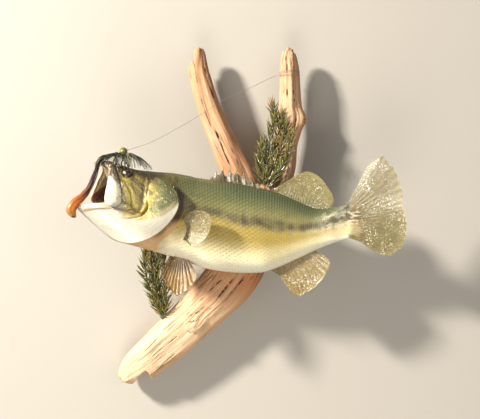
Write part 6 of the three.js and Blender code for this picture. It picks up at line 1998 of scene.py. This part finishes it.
def wood_material():
    m, nt, bs, out = material("bleached_driftwood")
    g = attr(nt, "grain").outputs["Vector"]
    pos = position(nt)

    def streak(c_scale, s_scale, detail=3.0, rough=0.55):
        return noise_node(nt, g, 1.0, detail, rough, (c_scale, s_scale, 1.0))

    s1, s2, s3 = streak(0.16, 0.010), streak(0.55, 0.018), streak(1.7, 0.035, 4.0, 0.6)
    lit_and_shaded_tone = attr(nt, "warm").outputs["Fac"]
    # cream where the wood is painted lit, brown where painted shade and painted shadow fall
    c = mix_color(nt, lit_and_shaded_tone, rgb(246, 228, 196), rgb(212, 162, 116))
    c = mix_color(nt, ramp(nt, s1, [(0.36, grey(0.0)), (0.68, grey(0.55))]), c, rgb(228, 190, 146))
    c = mix_color(nt, ramp(nt, s2, [(0.42, grey(0.0)), (0.70, grey(0.55))]), c, rgb(204, 158, 116))
    c = mix_color(nt, ramp(nt, s2, [(0.28, grey(0.45)), (0.44, grey(0.0))]), c, rgb(250, 236, 206))
    c = mix_color(nt, ramp(nt, s3, [(0.50, grey(0.0)), (0.72, grey(0.45))]), c, rgb(160, 116, 80))
    grey_ = noise_node(nt, pos, 0.022, 3, 0.6)
    c = mix_color(nt, ramp(nt, grey_, [(0.55, grey(0.0)), (0.75, grey(0.35))]), c, rgb(204, 192, 172))
    line_n = streak(0.30, 0.008, 2.0, 0.5)
    hair = ramp(nt, line_n, [(0.485, grey(0.0)), (0.500, grey(1.0)), (0.515, grey(0.0))])
    gate_ = ramp(nt, streak(0.09, 0.02, 2.0), [(0.50, grey(0.0)), (0.60, grey(0.75))])
    hair2 = math_node(nt, "MULTIPLY", hair, gate_)
    c = mix_color(nt, hair2, c, rgb(92, 58, 34))
    # painted shade in the splits of the checks
    ck = attr(nt, "check").outputs["Fac"]
    c = mix_color(nt, math_node(nt, "MULTIPLY", ck, 0.46), c, rgb(140, 94, 60))
    # painted shade in cracks and hollows
    crevice_shade_fac = attr(nt, "crevice_shade").outputs["Fac"]
    c = mix_color(nt, math_node(nt, "MULTIPLY", crevice_shade_fac, 0.38), c, rgb(122, 80, 52))
    # painted shade inside the cracks
    cr_ = ramp(nt, math_node(nt, "MULTIPLY_ADD", attr(nt, "crack").outputs["Fac"], 0.2, 0.4), [(0.40, grey(0.42)), (0.58, grey(0.0))])
    c = mix_color(nt, cr_, c, rgb(128, 84, 54))
    c = mix_color(nt, attr(nt, "peach").outputs["Fac"], c, (0.76, 0.53, 0.42), "MULTIPLY")
    eg = attr(nt, "endgrain").outputs["Fac"]
    c = mix_color(nt, math_node(nt, "MULTIPLY", eg, 0.35), c, rgb(214, 184, 140))
    nt.links.new(c, bs.inputs["Base Color"])
    nt.links.new(math_node(nt, "MULTIPLY_ADD", s3, 0.25, 0.58), bs.inputs["Roughness"])
    b = bump_node(nt, s2, 0.8, 1.1)
    b = bump_node(nt, s3, 0.8, 0.7, b)
    inv = math_node(nt, "SUBTRACT", 1.0, hair2)
    b = bump_node(nt, inv, 1.0, 0.8, b)
    b = bump_node(nt, noise_node(nt, pos, 1.6, 3, 0.6), 0.35, 0.3, b)
    nt.links.new(b, bs.inputs["Normal"])
    put(bs, Specular_IOR_Level=0.28)
    return m


WOOD_MAT = wood_material()
wood_obj = add_object("driftwood", me, WOOD_MAT)
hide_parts("driftwood_trunk", "driftwood_branch_left", "driftwood_branch_right")
tick("driftwood")


# ============================================================== plastic water weed
class Bag:
    """Collects many small closed pieces into one mesh."""

    def __init__(self):
        self.p, self.q, self.t, self.n, self.at = [], [], [], 0, {}

    def add(self, p, q=None, t=None, **at):
        self.p.append(p)
        if q is not None and len(q):
            self.q.append(np.asarray(q) + self.n)
        if t is not None and len(t):
            self.t.append(np.asarray(t) + self.n)
        self.n += len(p)
        for k, v in at.items():
            self.at.setdefault(k, []).append(np.broadcast_to(np.asarray(v, float), (len(p),)))

    def make(self, name, mat, slot, *nodes):
        me = raw_mesh(name, np.vstack(self.p), np.vstack(self.q) if self.q else None, np.vstack(self.t) if self.t else None)
        for k, v in self.at.items():
            attribute(me, name=k, values=np.concatenate(v))
        o = add_object(name, me, mat)
        if nodes:
            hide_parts(*nodes)
        return o


def ribbon(line, width, thick, face):
    """A thin tapering strap along line (n, 3): four-sided, with a raised middle rib."""
    line = np.asarray(line, float)
    T = unit(np.gradient(line, axis=0))
    S = unit(np.cross(T, face))
    N = np.cross(S, T)
    w, h = np.asarray(width)[:, None] / 2, np.asarray(thick)[:, None] / 2
    ring = np.stack([line + S * w, line + N * h * 1.6, line - S * w, line - N * h], 1)
    return loft_arrays(ring)


def blade(bag, at, direction, length, width, bend, rnd, tone):
    n = 7
    u = np.linspace(0, 1, n)
    d = unit(direction)
    up = unit(bend)
    line = at + d * (u * length)[:, None] + up * (0.30 * length * u ** 2)[:, None]
    face = unit(np.cross(d, np.cross(vec(rnd - 0.5, -1, 0.3 * rnd), d)))
    p, q, t = ribbon(line, width * (0.45 + 0.75 * np.sin(np.pi * np.minimum(u * 0.9 + 0.12, 1)) ** 0.8) * (1 - 0.55 * u ** 3),
                     np.full(n, 0.50) * (1 - 0.3 * u), face)
    uu = np.concatenate([np.repeat(u, 4), [0, 1]])
    bag.add(p, q, t, tone=tone, tip=uu)


def weed(name, stems, node_name, leaf, seed, dense=1.0, avoid=None):
    bag = Bag()
    for si, (pts, r0, L0) in enumerate(stems):
        f = path(pts)
        u = np.linspace(0, 1, 60)
        line = f(u)
        total = np.linalg.norm(np.diff(line, axis=0), axis=1).sum()
        p, q, t = tube_arrays(line, r0 * (1.05 - 0.5 * u) * (1 + 0.12 * np.cos(u * total / 3.4 * 2 * np.pi)), 8)
        bag.add(p, q, t, tone=0.42 + 0.1 * (si % 2), tip=0.2)
        steps = int(total / 3.3 * dense)
        for k in range(steps):
            v = (k + 0.6) / (steps + 0.2)
            base = f(np.array([v]))[0]
            tan = unit(f(np.array([min(1, v + 0.02)]))[0] - f(np.array([max(0, v - 0.02)]))[0])
            e1 = unit(np.cross(tan, vec(0.2, 1, 0.1)))
            e2 = np.cross(tan, e1)
            whorl = 3 + (k % 2)
            for j in range(whorl):
                h_ = [float(hash01(np.array(k * 7 + j), np.array(seed + si * 31 + c))) for c in range(6)]
                a = 2.399 * (k * whorl + j) + 0.5 * h_[0]
                rad = e1 * math.cos(a) + e2 * math.sin(a)
                open_ = math.radians(26 + 30 * h_[1])
                d = tan * math.cos(open_) + rad * math.sin(open_)
                L = L0 * (0.72 + 0.5 * h_[2]) * (0.75 + 0.35 * math.sin(math.pi * min(1, v + 0.12)))
                bend = tan * 0.7 + vec(0.2 * (h_[4] - 0.5), -0.15, 0.35)
                tipp = base + d * L + unit(bend) * 0.3 * L
                if tipp[1] > -2.5:
                    continue
                blade(bag, base + rad * r0 * 0.6, d, L, leaf * (0.8 + 0.5 * h_[3]), bend, h_[5], 0.06 + 0.88 * h_[4] ** 1.4)
        # the tuft at the end of the stem
        for j in range(5):
            h_ = [float(hash01(np.array(j + 900), np.array(seed + si * 17 + c))) for c in range(4)]
            a = 2 * math.pi * j / 5 + h_[0]
            d = tan * 0.95 + (e1 * math.cos(a) + e2 * math.sin(a)) * 0.28
            blade(bag, f(np.array([0.995]))[0], d, L0 * (0.6 + 0.4 * h_[1]), leaf, tan, h_[2], 0.5 + 0.4 * h_[3])
    return bag


def weed_material():
    m, nt, bs, out = material("plastic_weed")
    tone, tip = attr(nt, "tone").outputs["Fac"], attr(nt, "tip").outputs["Fac"]
    pos = position(nt)
    c = ramp(nt, tone, [(0.0, rgb(34, 40, 16)), (0.38, rgb(66, 74, 26)), (0.62, rgb(108, 108, 40)), (0.82, rgb(150, 134, 52)),
                        (0.94, rgb(156, 98, 42)), (1.0, rgb(186, 170, 116))])
    c = mix_color(nt, ramp(nt, tip, [(0.45, grey(0.0)), (1.0, grey(0.55))]), c, rgb(168, 166, 72))
    c = mix_color(nt, ramp(nt, noise_node(nt, pos, 0.5, 2), [(0.4, grey(0.0)), (0.75, grey(0.5))]), c, rgb(58, 50, 24))
    nt.links.new(c, bs.inputs["Base Color"])
    nt.links.new(bump_node(nt, noise_node(nt, pos, 2.2, 2), 0.3, 0.2), bs.inputs["Normal"])
    put(bs, Roughness=0.32, Specular_IOR_Level=0.6, Coat_Weight=0.6, Coat_Roughness=0.12, Subsurface_Weight=0.12,
        Subsurface_Scale=0.001)
    return m


WEED = weed_material()
upper = weed("weed_upper", [
    ([(12, -64, 24), (12, -63, 48), (13.5, -62, 72), (20, -61.5, 108), (25.5, -61, 130), (24, -60.5, 152)], 1.3, 19),
    ([(13, -64, 26), (22, -64, 44), (33, -63.5, 72), (42, -62.5, 98), (46, -62, 118)], 1.2, 17),
    ([(10, -63, 20), (5, -60, 40), (2, -58, 62), (4, -58, 88)], 1.1, 15),
    ([(16, -66, 20), (30, -68, 40), (40, -69, 60), (50, -68, 82), (54, -66, 104)], 1.1, 15),
    ([(13, -60, 28), (18, -56, 58), (26, -55, 88), (34, -57, 116), (37, -58, 134)], 1.1, 17)], "plant_upper", 1.7, 11, 0.78)
upper.make("weed_upper", WEED, "plant", "plant_upper")
lower = weed("weed_lower", [
    ([(-163, -40, -196), (-165, -46, -172), (-171, -52, -140), (-176, -55, -110), (-178, -57, -84)], 1.3, 19),
    ([(-160, -42, -197), (-155, -50, -178), (-153.5, -55, -148), (-154, -58, -116), (-158, -60, -88)], 1.3, 16),
    ([(-163, -41, -194), (-172, -44, -172), (-183, -48, -142), (-189, -52, -114), (-188, -54, -90)], 1.1, 17),
    ([(-161, -41, -196), (-161, -44, -164), (-166, -46, -134), (-168, -50, -106), (-166, -52, -84)], 1.1, 17)],
    "plant_lower", 1.7, 12, 0.85)
bp, bq, bt = tube_arrays([(-162.5, -36, -191), (-162, -40, -195.5), (-160.5, -42, -199.5)], [2.4, 2.6, 1.6], 12)
lower.add(bp, bq, bt, tone=0.3, tip=0.1)
lower.make("weed_lower", WEED, "plant", "plant_lower")
tick("weed")


# ============================================================== the lure
BEAD = vec(-210.8, -146, 73)
bag = Bag()
th = np.pi * np.linspace(0, 1, 40)
ph = 2 * np.pi * np.arange(56) / 56
prof = 6.3 * (1 + 0.03 * np.cos(2 * th)) - 0.35 * bell(th, 1.95, 0.05)
rings = BEAD + np.stack([prof[:, None] * np.sin(th)[:, None] * np.cos(ph), prof[:, None] * np.sin(th)[:, None] * np.sin(ph),
                         (prof * np.cos(th))[:, None] + 0 * ph], -1)
p, q, t = loft_arrays(rings[1:-1])
bag.add(p, q, t, kind=0.0)
p, q, t = tube_arrays([(-210.8, -146, 70), (-210.9, -145.7, 67.5), (-211, -145.4, 66), (-211.2, -145.1, 64.2), (-211.4, -144.8, 62.5)],
                      [4.6, 4.3, 3.6, 4.1, 3.2], 28)
bag.add(p, q, t, kind=0.2)
for a in np.linspace(0, 2 * np.pi, 3)[:-1]:  # two moulded eyes
    ax = unit(vec(-0.55 if a == 0 else 0.35, -0.80 if a == 0 else 0.9, 0.12))
    c_e = BEAD + ax * 5.55
    e1 = unit(np.cross(ax, UP))
    e2 = np.cross(ax, e1)
    u_ = np.linspace(0, 1, 12)
    rr_ = 2.1 * np.sin(0.5 * np.pi * u_)
    hh_ = 1.25 * np.cos(0.5 * np.pi * u_)
    rg = (c_e + ax * hh_[::-1][:, None, None] * 1.0
          + rr_[::-1][:, None, None] * (e1 * np.cos(ph[::2])[:, None] + e2 * np.sin(ph[::2])[:, None]))
    p, q, t = loft_arrays(rg[:-1])
    d_ = np.linalg.norm((p - c_e) - ((p - c_e) @ ax)[:, None] * ax, axis=1)
    bag.add(p, q, t, kind=np.where(d_ < 0.95, 0.6, 0.4))
# a wire loop that the line is tied to
w_ = np.linspace(0, 2 * np.pi, 25)
loop = vec(-205.2, -144.9, 75.6) + np.stack([1.5 * np.cos(w_) - 0.2, 0.5 * np.sin(w_), 1.5 * np.sin(w_)], -1)
p, q, t = tube_arrays(loop, 0.4, 8)
bag.add(p, q, t, kind=0.8)
m, nt, bs, out = material("painted_lead")
kd = attr(nt, "kind").outputs["Fac"]
pos = position(nt)
body_c = mix_color(nt, ramp(nt, noise_node(nt, pos, 0.55, 3), [(0.38, grey(0.0)), (0.66, grey(1.0))]), rgb(124, 124, 66), rgb(78, 80, 40))
body_c = mix_color(nt, ramp(nt, noise_node(nt, pos, 1.8, 2), [(0.60, grey(0.0)), (0.70, grey(0.8))]), body_c, rgb(196, 176, 88))
c = mix_color(nt, ramp(nt, kd, [(0.1, grey(0.0)), (0.15, grey(1.0))]), body_c, rgb(34, 40, 18))
c = mix_color(nt, ramp(nt, kd, [(0.3, grey(0.0)), (0.35, grey(1.0))]), c, rgb(226, 206, 96))
c = mix_color(nt, ramp(nt, kd, [(0.5, grey(0.0)), (0.51, grey(1.0))]), c, rgb(8, 8, 6))
c = mix_color(nt, ramp(nt, kd, [(0.7, grey(0.0)), (0.71, grey(1.0))]), c, rgb(96, 92, 84))
nt.links.new(c, bs.inputs["Base Color"])
put(bs, Roughness=0.25, Coat_Weight=1.0, Coat_Roughness=0.04)
bag.make("lure_head_painted", m, "lure_head", "lure_head")

# the skirt: silicone strands that flare from the collar and droop over the snout
bag = Bag()
COL = vec(-211.2, -145.2, 65)
ends = [(-252, -147, 53, 13), (-246, -160, 51, 11), (-243, -139, 59, 8), (-232, -167, 52, 8), (-226, -127, 55, 6),
        (-171, -133, 47.5, 10), (-183, -153, 49.5, 12), (-188, -122, 54, 7), (-199, -165, 50, 9), (-206, -168, 52, 6),
        (-177, -144, 48, 8), (-212, -124, 56, 5), (-225, -158, 48, 12), (-215, -160, 46, 11), (-204, -158, 45, 10),
        (-196, -150, 47, 8)]
k = 0
for ex, ey, ez, many in ends:
    for j in range(many):
        h_ = [float(hash01(np.array(k), np.array(500 + c))) for c in range(9)]
        k += 1
        e = vec(ex + 9 * (h_[0] - 0.5), ey + 10 * (h_[1] - 0.5), ez + 9 * (h_[2] - 0.42))
        flat = unit(vec(e[0] - COL[0], e[1] - COL[1], 0))
        s0 = COL + flat * 3.2 + vec(0, 0, 1.6 * (h_[3] - 0.5))
        s1 = s0 + flat * (6 + 5 * h_[4]) + vec(0, 0, 1.0 + 5.0 * h_[5])
        s2 = mix(s1, e, 0.62) + vec(0, 0, 2.6 + 2.2 * h_[6])
        f = path([s0, s1, s2, e])
        u = np.linspace(0, 1, 14)
        line = f(u)
        face = unit(vec(h_[7] - 0.5, h_[8] - 0.5, 1.0))
        p, q, t = ribbon(line, 0.95 * (1 - 0.25 * u), np.full(14, 0.5), face)
        bag.add(p, q, t, tone=h_[6] ** 1.2, tip=np.concatenate([np.repeat(u, 4), [0, 1]]))
w_ = np.linspace(0, 2 * np.pi, 33)[:-1]
for z_, r_ in ((65.9, 4.3), (64.6, 4.5), (63.4, 4.1)):  # the rubber band of the collar
    ring_line = vec(-211.2, -145.2, z_) + np.stack([r_ * np.cos(w_), r_ * np.sin(w_), 0 * w_], -1)
    ring_ = np.stack([ring_line + 0.75 * (np.stack([np.cos(w_), np.sin(w_), 0 * w_], -1) * math.cos(v) + UP * math.sin(v))
                      for v in 2 * np.pi * np.arange(10) / 10], 1)
    bag.add(ring_.reshape(-1, 3), grid_quads_closed(32, 10), None, tone=0.02, tip=0.0)
m, nt, bs, out = material("silicone_skirt")
tone, tip = attr(nt, "tone").outputs["Fac"], attr(nt, "tip").outputs["Fac"]
c = ramp(nt, tone, [(0.0, rgb(16, 18, 8)), (0.42, rgb(28, 32, 14)), (0.52, rgb(48, 56, 24)), (0.74, rgb(74, 84, 38)),
                    (0.84, rgb(112, 118, 62)), (0.94, rgb(158, 156, 108))])
c = mix_color(nt, ramp(nt, noise_node(nt, position(nt), 1.4, 2), [(0.55, grey(0.0)), (0.68, grey(0.8))]), c, rgb(14, 14, 8))
nt.links.new(c, bs.inputs["Base Color"])
put(bs, Roughness=0.3, Coat_Weight=0.7, Coat_Roughness=0.08, Subsurface_Weight=0.15, Subsurface_Scale=0.001)
bag.make("lure_skirt_strands", m, "lure_skirt", "lure_skirt")

# hook and weed guard
bag = Bag()
hp = path([(-216.5, -142.5, 47), (-214.6, -143.2, 54), (-212.6, -143.8, 58.6), (-210.6, -143.8, 59.4), (-207.6, -143.2, 57),
           (-202.6, -141, 46.5)])
p, q, t = tube_arrays(hp(np.linspace(0, 1, 60)), 0.85, 12)
bag.add(p, q, t, kind=0.0)
for dx in (-1.2, 1.0):
    gp = path([(-211 + dx * 0.4, -146.8, 62), (-210 + dx * 3.5, -150.5, 55), (-208 + dx * 7.0, -152.5, 49.5)])
    p, q, t = tube_arrays(gp(np.linspace(0, 1, 24)), np.linspace(0.5, 0.35, 24), 8)
    bag.add(p, q, t, kind=0.0)
m, nt, bs, out = material("black_nickel")
put(bs, Base_Color=(*rgb(58, 50, 42), 1), Metallic=0.9, Roughness=0.28)
bag.make("hook_wire", m, "hook_steel", "lure_hook")

# the soft bait behind it, ribbed, turning orange and flat round the tip of the jaw
tr = path([(-236, -148.5, 67), (-243, -152.5, 63.5), (-248, -156, 55), (-250.5, -158, 44), (-255, -159, 31), (-262, -161.5, 15),
           (-270.5, -165.5, 3), (-281.5, -170.5, -8), (-285.8, -172, -18), (-280.5, -170.5, -28.5)])
rad = curve([(0, 1.6), (0.08, 2.6), (0.2, 3.4), (0.4, 3.8), (0.58, 4.8), (0.7, 6.2), (0.8, 7.6), (0.88, 7.4), (0.95, 5.2), (1, 1.8)])
n, S_ = 260, 40
u = np.linspace(0, 1, n)
line = tr(u)
T = unit(np.gradient(line, axis=0))
side_v = unit(np.cross(T, vec(0.25, -1, 0.1)))
up_v = np.cross(side_v, T)
arc = np.concatenate([[0], np.cumsum(np.linalg.norm(np.diff(line, axis=0), axis=1))])
w_ = 2 * np.pi * np.arange(S_) / S_
rib = 1 + 0.085 * np.clip(np.cos(2 * np.pi * arc / 3.1), -0.5, 1) * (1 - sstep(0.55, 0.7, u))
flat_ = mix(1.0, 0.66, sstep(0.55, 0.8, u))
ru = rad(u) * rib
wide = (1 + 0.10 * noise(np.stack([arc / 7, 0 * arc], -1), 61))
groove = 1 - 0.16 * bell(np.cos(w_), 0, 0.30)[None, :] * sstep(0.5, 0.7, u)[:, None] * (np.sin(w_)[None, :] > 0)
rings = line[:, None] + (ru * wide)[:, None, None] * groove[..., None] * (side_v[:, None] * np.cos(w_)[:, None]) \
    + (ru * flat_)[:, None, None] * groove[..., None] * (up_v[:, None] * np.sin(w_)[:, None])
p, q, t = loft_arrays(rings)
bag = Bag()
uu = np.concatenate([np.repeat(u, S_), [0, 1]])
bag.add(p, q, t, along=uu)
# two thin legs of the bait that lie along the body
for s_i, (ph0, o1) in enumerate(((0.9, 0.25), (2.4, 0.33), (1.6, 0.46))):
    v = np.linspace(o1, o1 + 0.26, 30)
    ctr = tr(v) + (np.interp(v, u, rad(u)) * 1.05)[:, None] * (np.array([np.interp(v, u, side_v[:, i]) for i in range(3)]).T * math.cos(ph0)
                                                     + np.array([np.interp(v, u, up_v[:, i]) for i in range(3)]).T * math.sin(ph0))
    p, q, t = tube_arrays(ctr, 0.9 * np.sin(np.pi * np.linspace(0.12, 0.98, 30)) + 0.25, 10)
    bag.add(p, q, t, along=np.concatenate([np.repeat(v, 10), [v[0], v[-1]]]) * 0.8)
m, nt, bs, out = material("soft_bait")
al = attr(nt, "along").outputs["Fac"]
pos = position(nt)
wob = math_node(nt, "MULTIPLY_ADD", noise_node(nt, pos, 0.22, 3), 0.22, -0.11)
al2 = math_node(nt, "ADD", al, wob)
c = ramp(nt, al2, [(0.0, rgb(34, 26, 14)), (0.28, rgb(42, 24, 12)), (0.48, rgb(62, 32, 14)), (0.62, rgb(120, 62, 22)),
                   (0.74, rgb(182, 98, 30)), (0.86, rgb(192, 112, 38)), (0.955, rgb(184, 138, 66)), (0.995, rgb(46, 60, 22))])
c = mix_color(nt, ramp(nt, noise_node(nt, pos, 1.3, 2), [(0.62, grey(0.0)), (0.70, grey(0.7))]), c, rgb(72, 38, 16))
nt.links.new(c, bs.inputs["Base Color"])
nt.links.new(bump_node(nt, noise_node(nt, pos, 1.0, 3), 0.4, 0.3), bs.inputs["Normal"])
put(bs, Roughness=0.48, Specular_IOR_Level=0.28, Coat_Weight=0.25, Coat_Roughness=0.12, Subsurface_Weight=0.15, Subsurface_Scale=0.002)
bs.inputs["Subsurface Radius"].default_value = (1.0, 0.5, 0.2)
bag.make("soft_bait", m, "lure_trailer", "lure_trailer")

# the line's finish, and its turns round the branch with the knot
m, nt, bs, out = material("monofilament")
put(bs, Base_Color=(*rgb(150, 152, 146), 1), Roughness=0.15, Specular_IOR_Level=0.7, Transmission_Weight=0.25)
line_obj.data.materials.append(m)
bag = Bag()
for k in range(4):
    w_ = np.linspace(0, 2 * np.pi, 121)[:-1]
    tq = 0.743 + 0.008 * np.sin(w_ + k) + 0.004 * (k - 1.5)
    ring_c = LIMB_R.at(tq, w_, 0.75 + 0.12 * (k % 2))
    ring_c[:, 1] = np.minimum(ring_c[:, 1], -0.6)
    Tn = unit(np.roll(ring_c, -1, 0) - np.roll(ring_c, 1, 0))
    sd = unit(np.cross(Tn, UP))
    u2 = np.cross(sd, Tn)
    rr = np.stack([ring_c + 0.3 * (sd * math.cos(v) + u2 * math.sin(v)) for v in 2 * np.pi * np.arange(8) / 8], 1)
    bag.add(rr.reshape(-1, 3), grid_quads_closed(120, 8), None, kind=0.0)
bag.make("line_turns", m, "line", "line_wrap")

# hanger plate and screws keep the CAD's shape
m, nt, bs, out = material("zinc_plate")
n_ = noise_node(nt, position(nt), 0.35, 3)
nt.links.new(ramp(nt, n_, [(0.3, rgb(150, 150, 148)), (0.7, rgb(186, 186, 182))]), bs.inputs["Base Color"])
nt.links.new(math_node(nt, "MULTIPLY_ADD", n_, 0.3, 0.22), bs.inputs["Roughness"])
put(bs, Metallic=1.0)
for nm in ("hanger_plate", "hanger_screw_1", "hanger_screw_2"):
    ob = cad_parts.get(nm)
    if ob is not None and ob.data is not None:
        ob.data.materials.clear()
        ob.data.materials.append(m)
tick("lure")


# ============================================================== stage and light
def stage_material(name, colour):
    m, nt, bs, out = material(name)
    pos = position(nt)
    c = mix_color(nt, noise_node(nt, pos, 0.004, 2), colour, tuple(q * 0.97 for q in colour))
    nt.links.new(c, bs.inputs["Base Color"])
    put(bs, Roughness=0.9, Specular_IOR_Level=0.15)
    # seen from behind, the wall lets the eye through, so that the model's back can be looked at
    tr = nt.nodes.new("ShaderNodeBsdfTransparent")
    geo = nt.nodes.new("ShaderNodeNewGeometry")
    mx = nt.nodes.new("ShaderNodeMixShader")
    nt.links.new(geo.outputs["Backfacing"], mx.inputs[0])
    nt.links.new(bs.outputs[0], mx.inputs[1])
    nt.links.new(tr.outputs[0], mx.inputs[2])
    nt.links.new(mx.outputs[0], out.inputs[0])
    return m


def backdrop():
    """A wall that turns into a floor in one sweep."""
    prof = [(0.6, 2600.0)] + [(0.6, -700.0)]
    R = 260.0
    for i in range(1, 17):
        w = 0.5 * math.pi * i / 16
        prof.append((0.6 - R * (1 - math.cos(w)), -700 - R * math.sin(w)))
    prof.append((-4200.0, -700 - R))
    pts, quads = [], []
    for x in (-4200.0, 4200.0):
        pts += [(x, y, z) for y, z in prof]
    n = len(prof)
    quads = [(i, i + 1, n + i + 1, n + i) for i in range(n - 1)]
    me = raw_mesh("wall_and_floor", pts, quads)
    o = add_object("wall_and_floor", me, stage_material("studio_paper", tuple(rgb(*WALL))), ride=False)
    o.visible_diffuse = False
    o.visible_glossy = False
    o.visible_transmission = False
    o.visible_shadow = False
    return o


WALL = (188, 184, 178)
backdrop()


def lamp(name, at, aim, size, power, colour=(1, 1, 1), size_y=None):
    d = bpy.data.lights.new(name, "AREA")
    d.energy, d.size, d.color = power, size, colour
    if size_y:
        d.shape, d.size_y = "RECTANGLE", size_y
    o = bpy.data.objects.new(name, d)
    o.location = at
    o.rotation_euler = (Vector(aim) - Vector(at)).to_track_quat("-Z", "Y").to_euler()
    bpy.context.scene.collection.objects.link(o)
    return o


lamp("key", (-2.20, -1.42, 1.36), (-0.02, -0.08, -0.02), 0.30, 195, (1.0, 0.925, 0.80))
lamp("fill", (1.7, -2.2, 0.2), (0, -0.05, 0), 1.6, 12, (1.0, 0.96, 0.92))
lamp("low", (-0.45, -1.70, -1.85), (0, -0.05, 0), 1.4, 35, (1.0, 0.94, 0.82))
# what the wet lacquer mirrors: a soft box that only shows in gloss
glint = lamp("glint", (-1.05, -2.25, 0.80), (0, -0.08, 0), 0.30, 58, (1.0, 0.97, 0.92))
glint.visible_diffuse = False
glint.visible_transmission = False
lamp("back", (0.9, 2.3, 0.5), (0, -0.05, 0), 2.0, 7, (1.0, 0.98, 0.96))
world = bpy.data.worlds.new("studio")
bpy.context.scene.world = world
world.use_nodes = True
wn = world.node_tree
wn.nodes["Background"].inputs[0].default_value = (0.84, 0.79, 0.70, 1)
wn.nodes["Background"].inputs[1].default_value = 0.26
bpy.context.scene.view_settings.view_transform = "Standard"
bpy.context.scene.view_settings.look = "None"

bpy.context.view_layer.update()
tick("done")
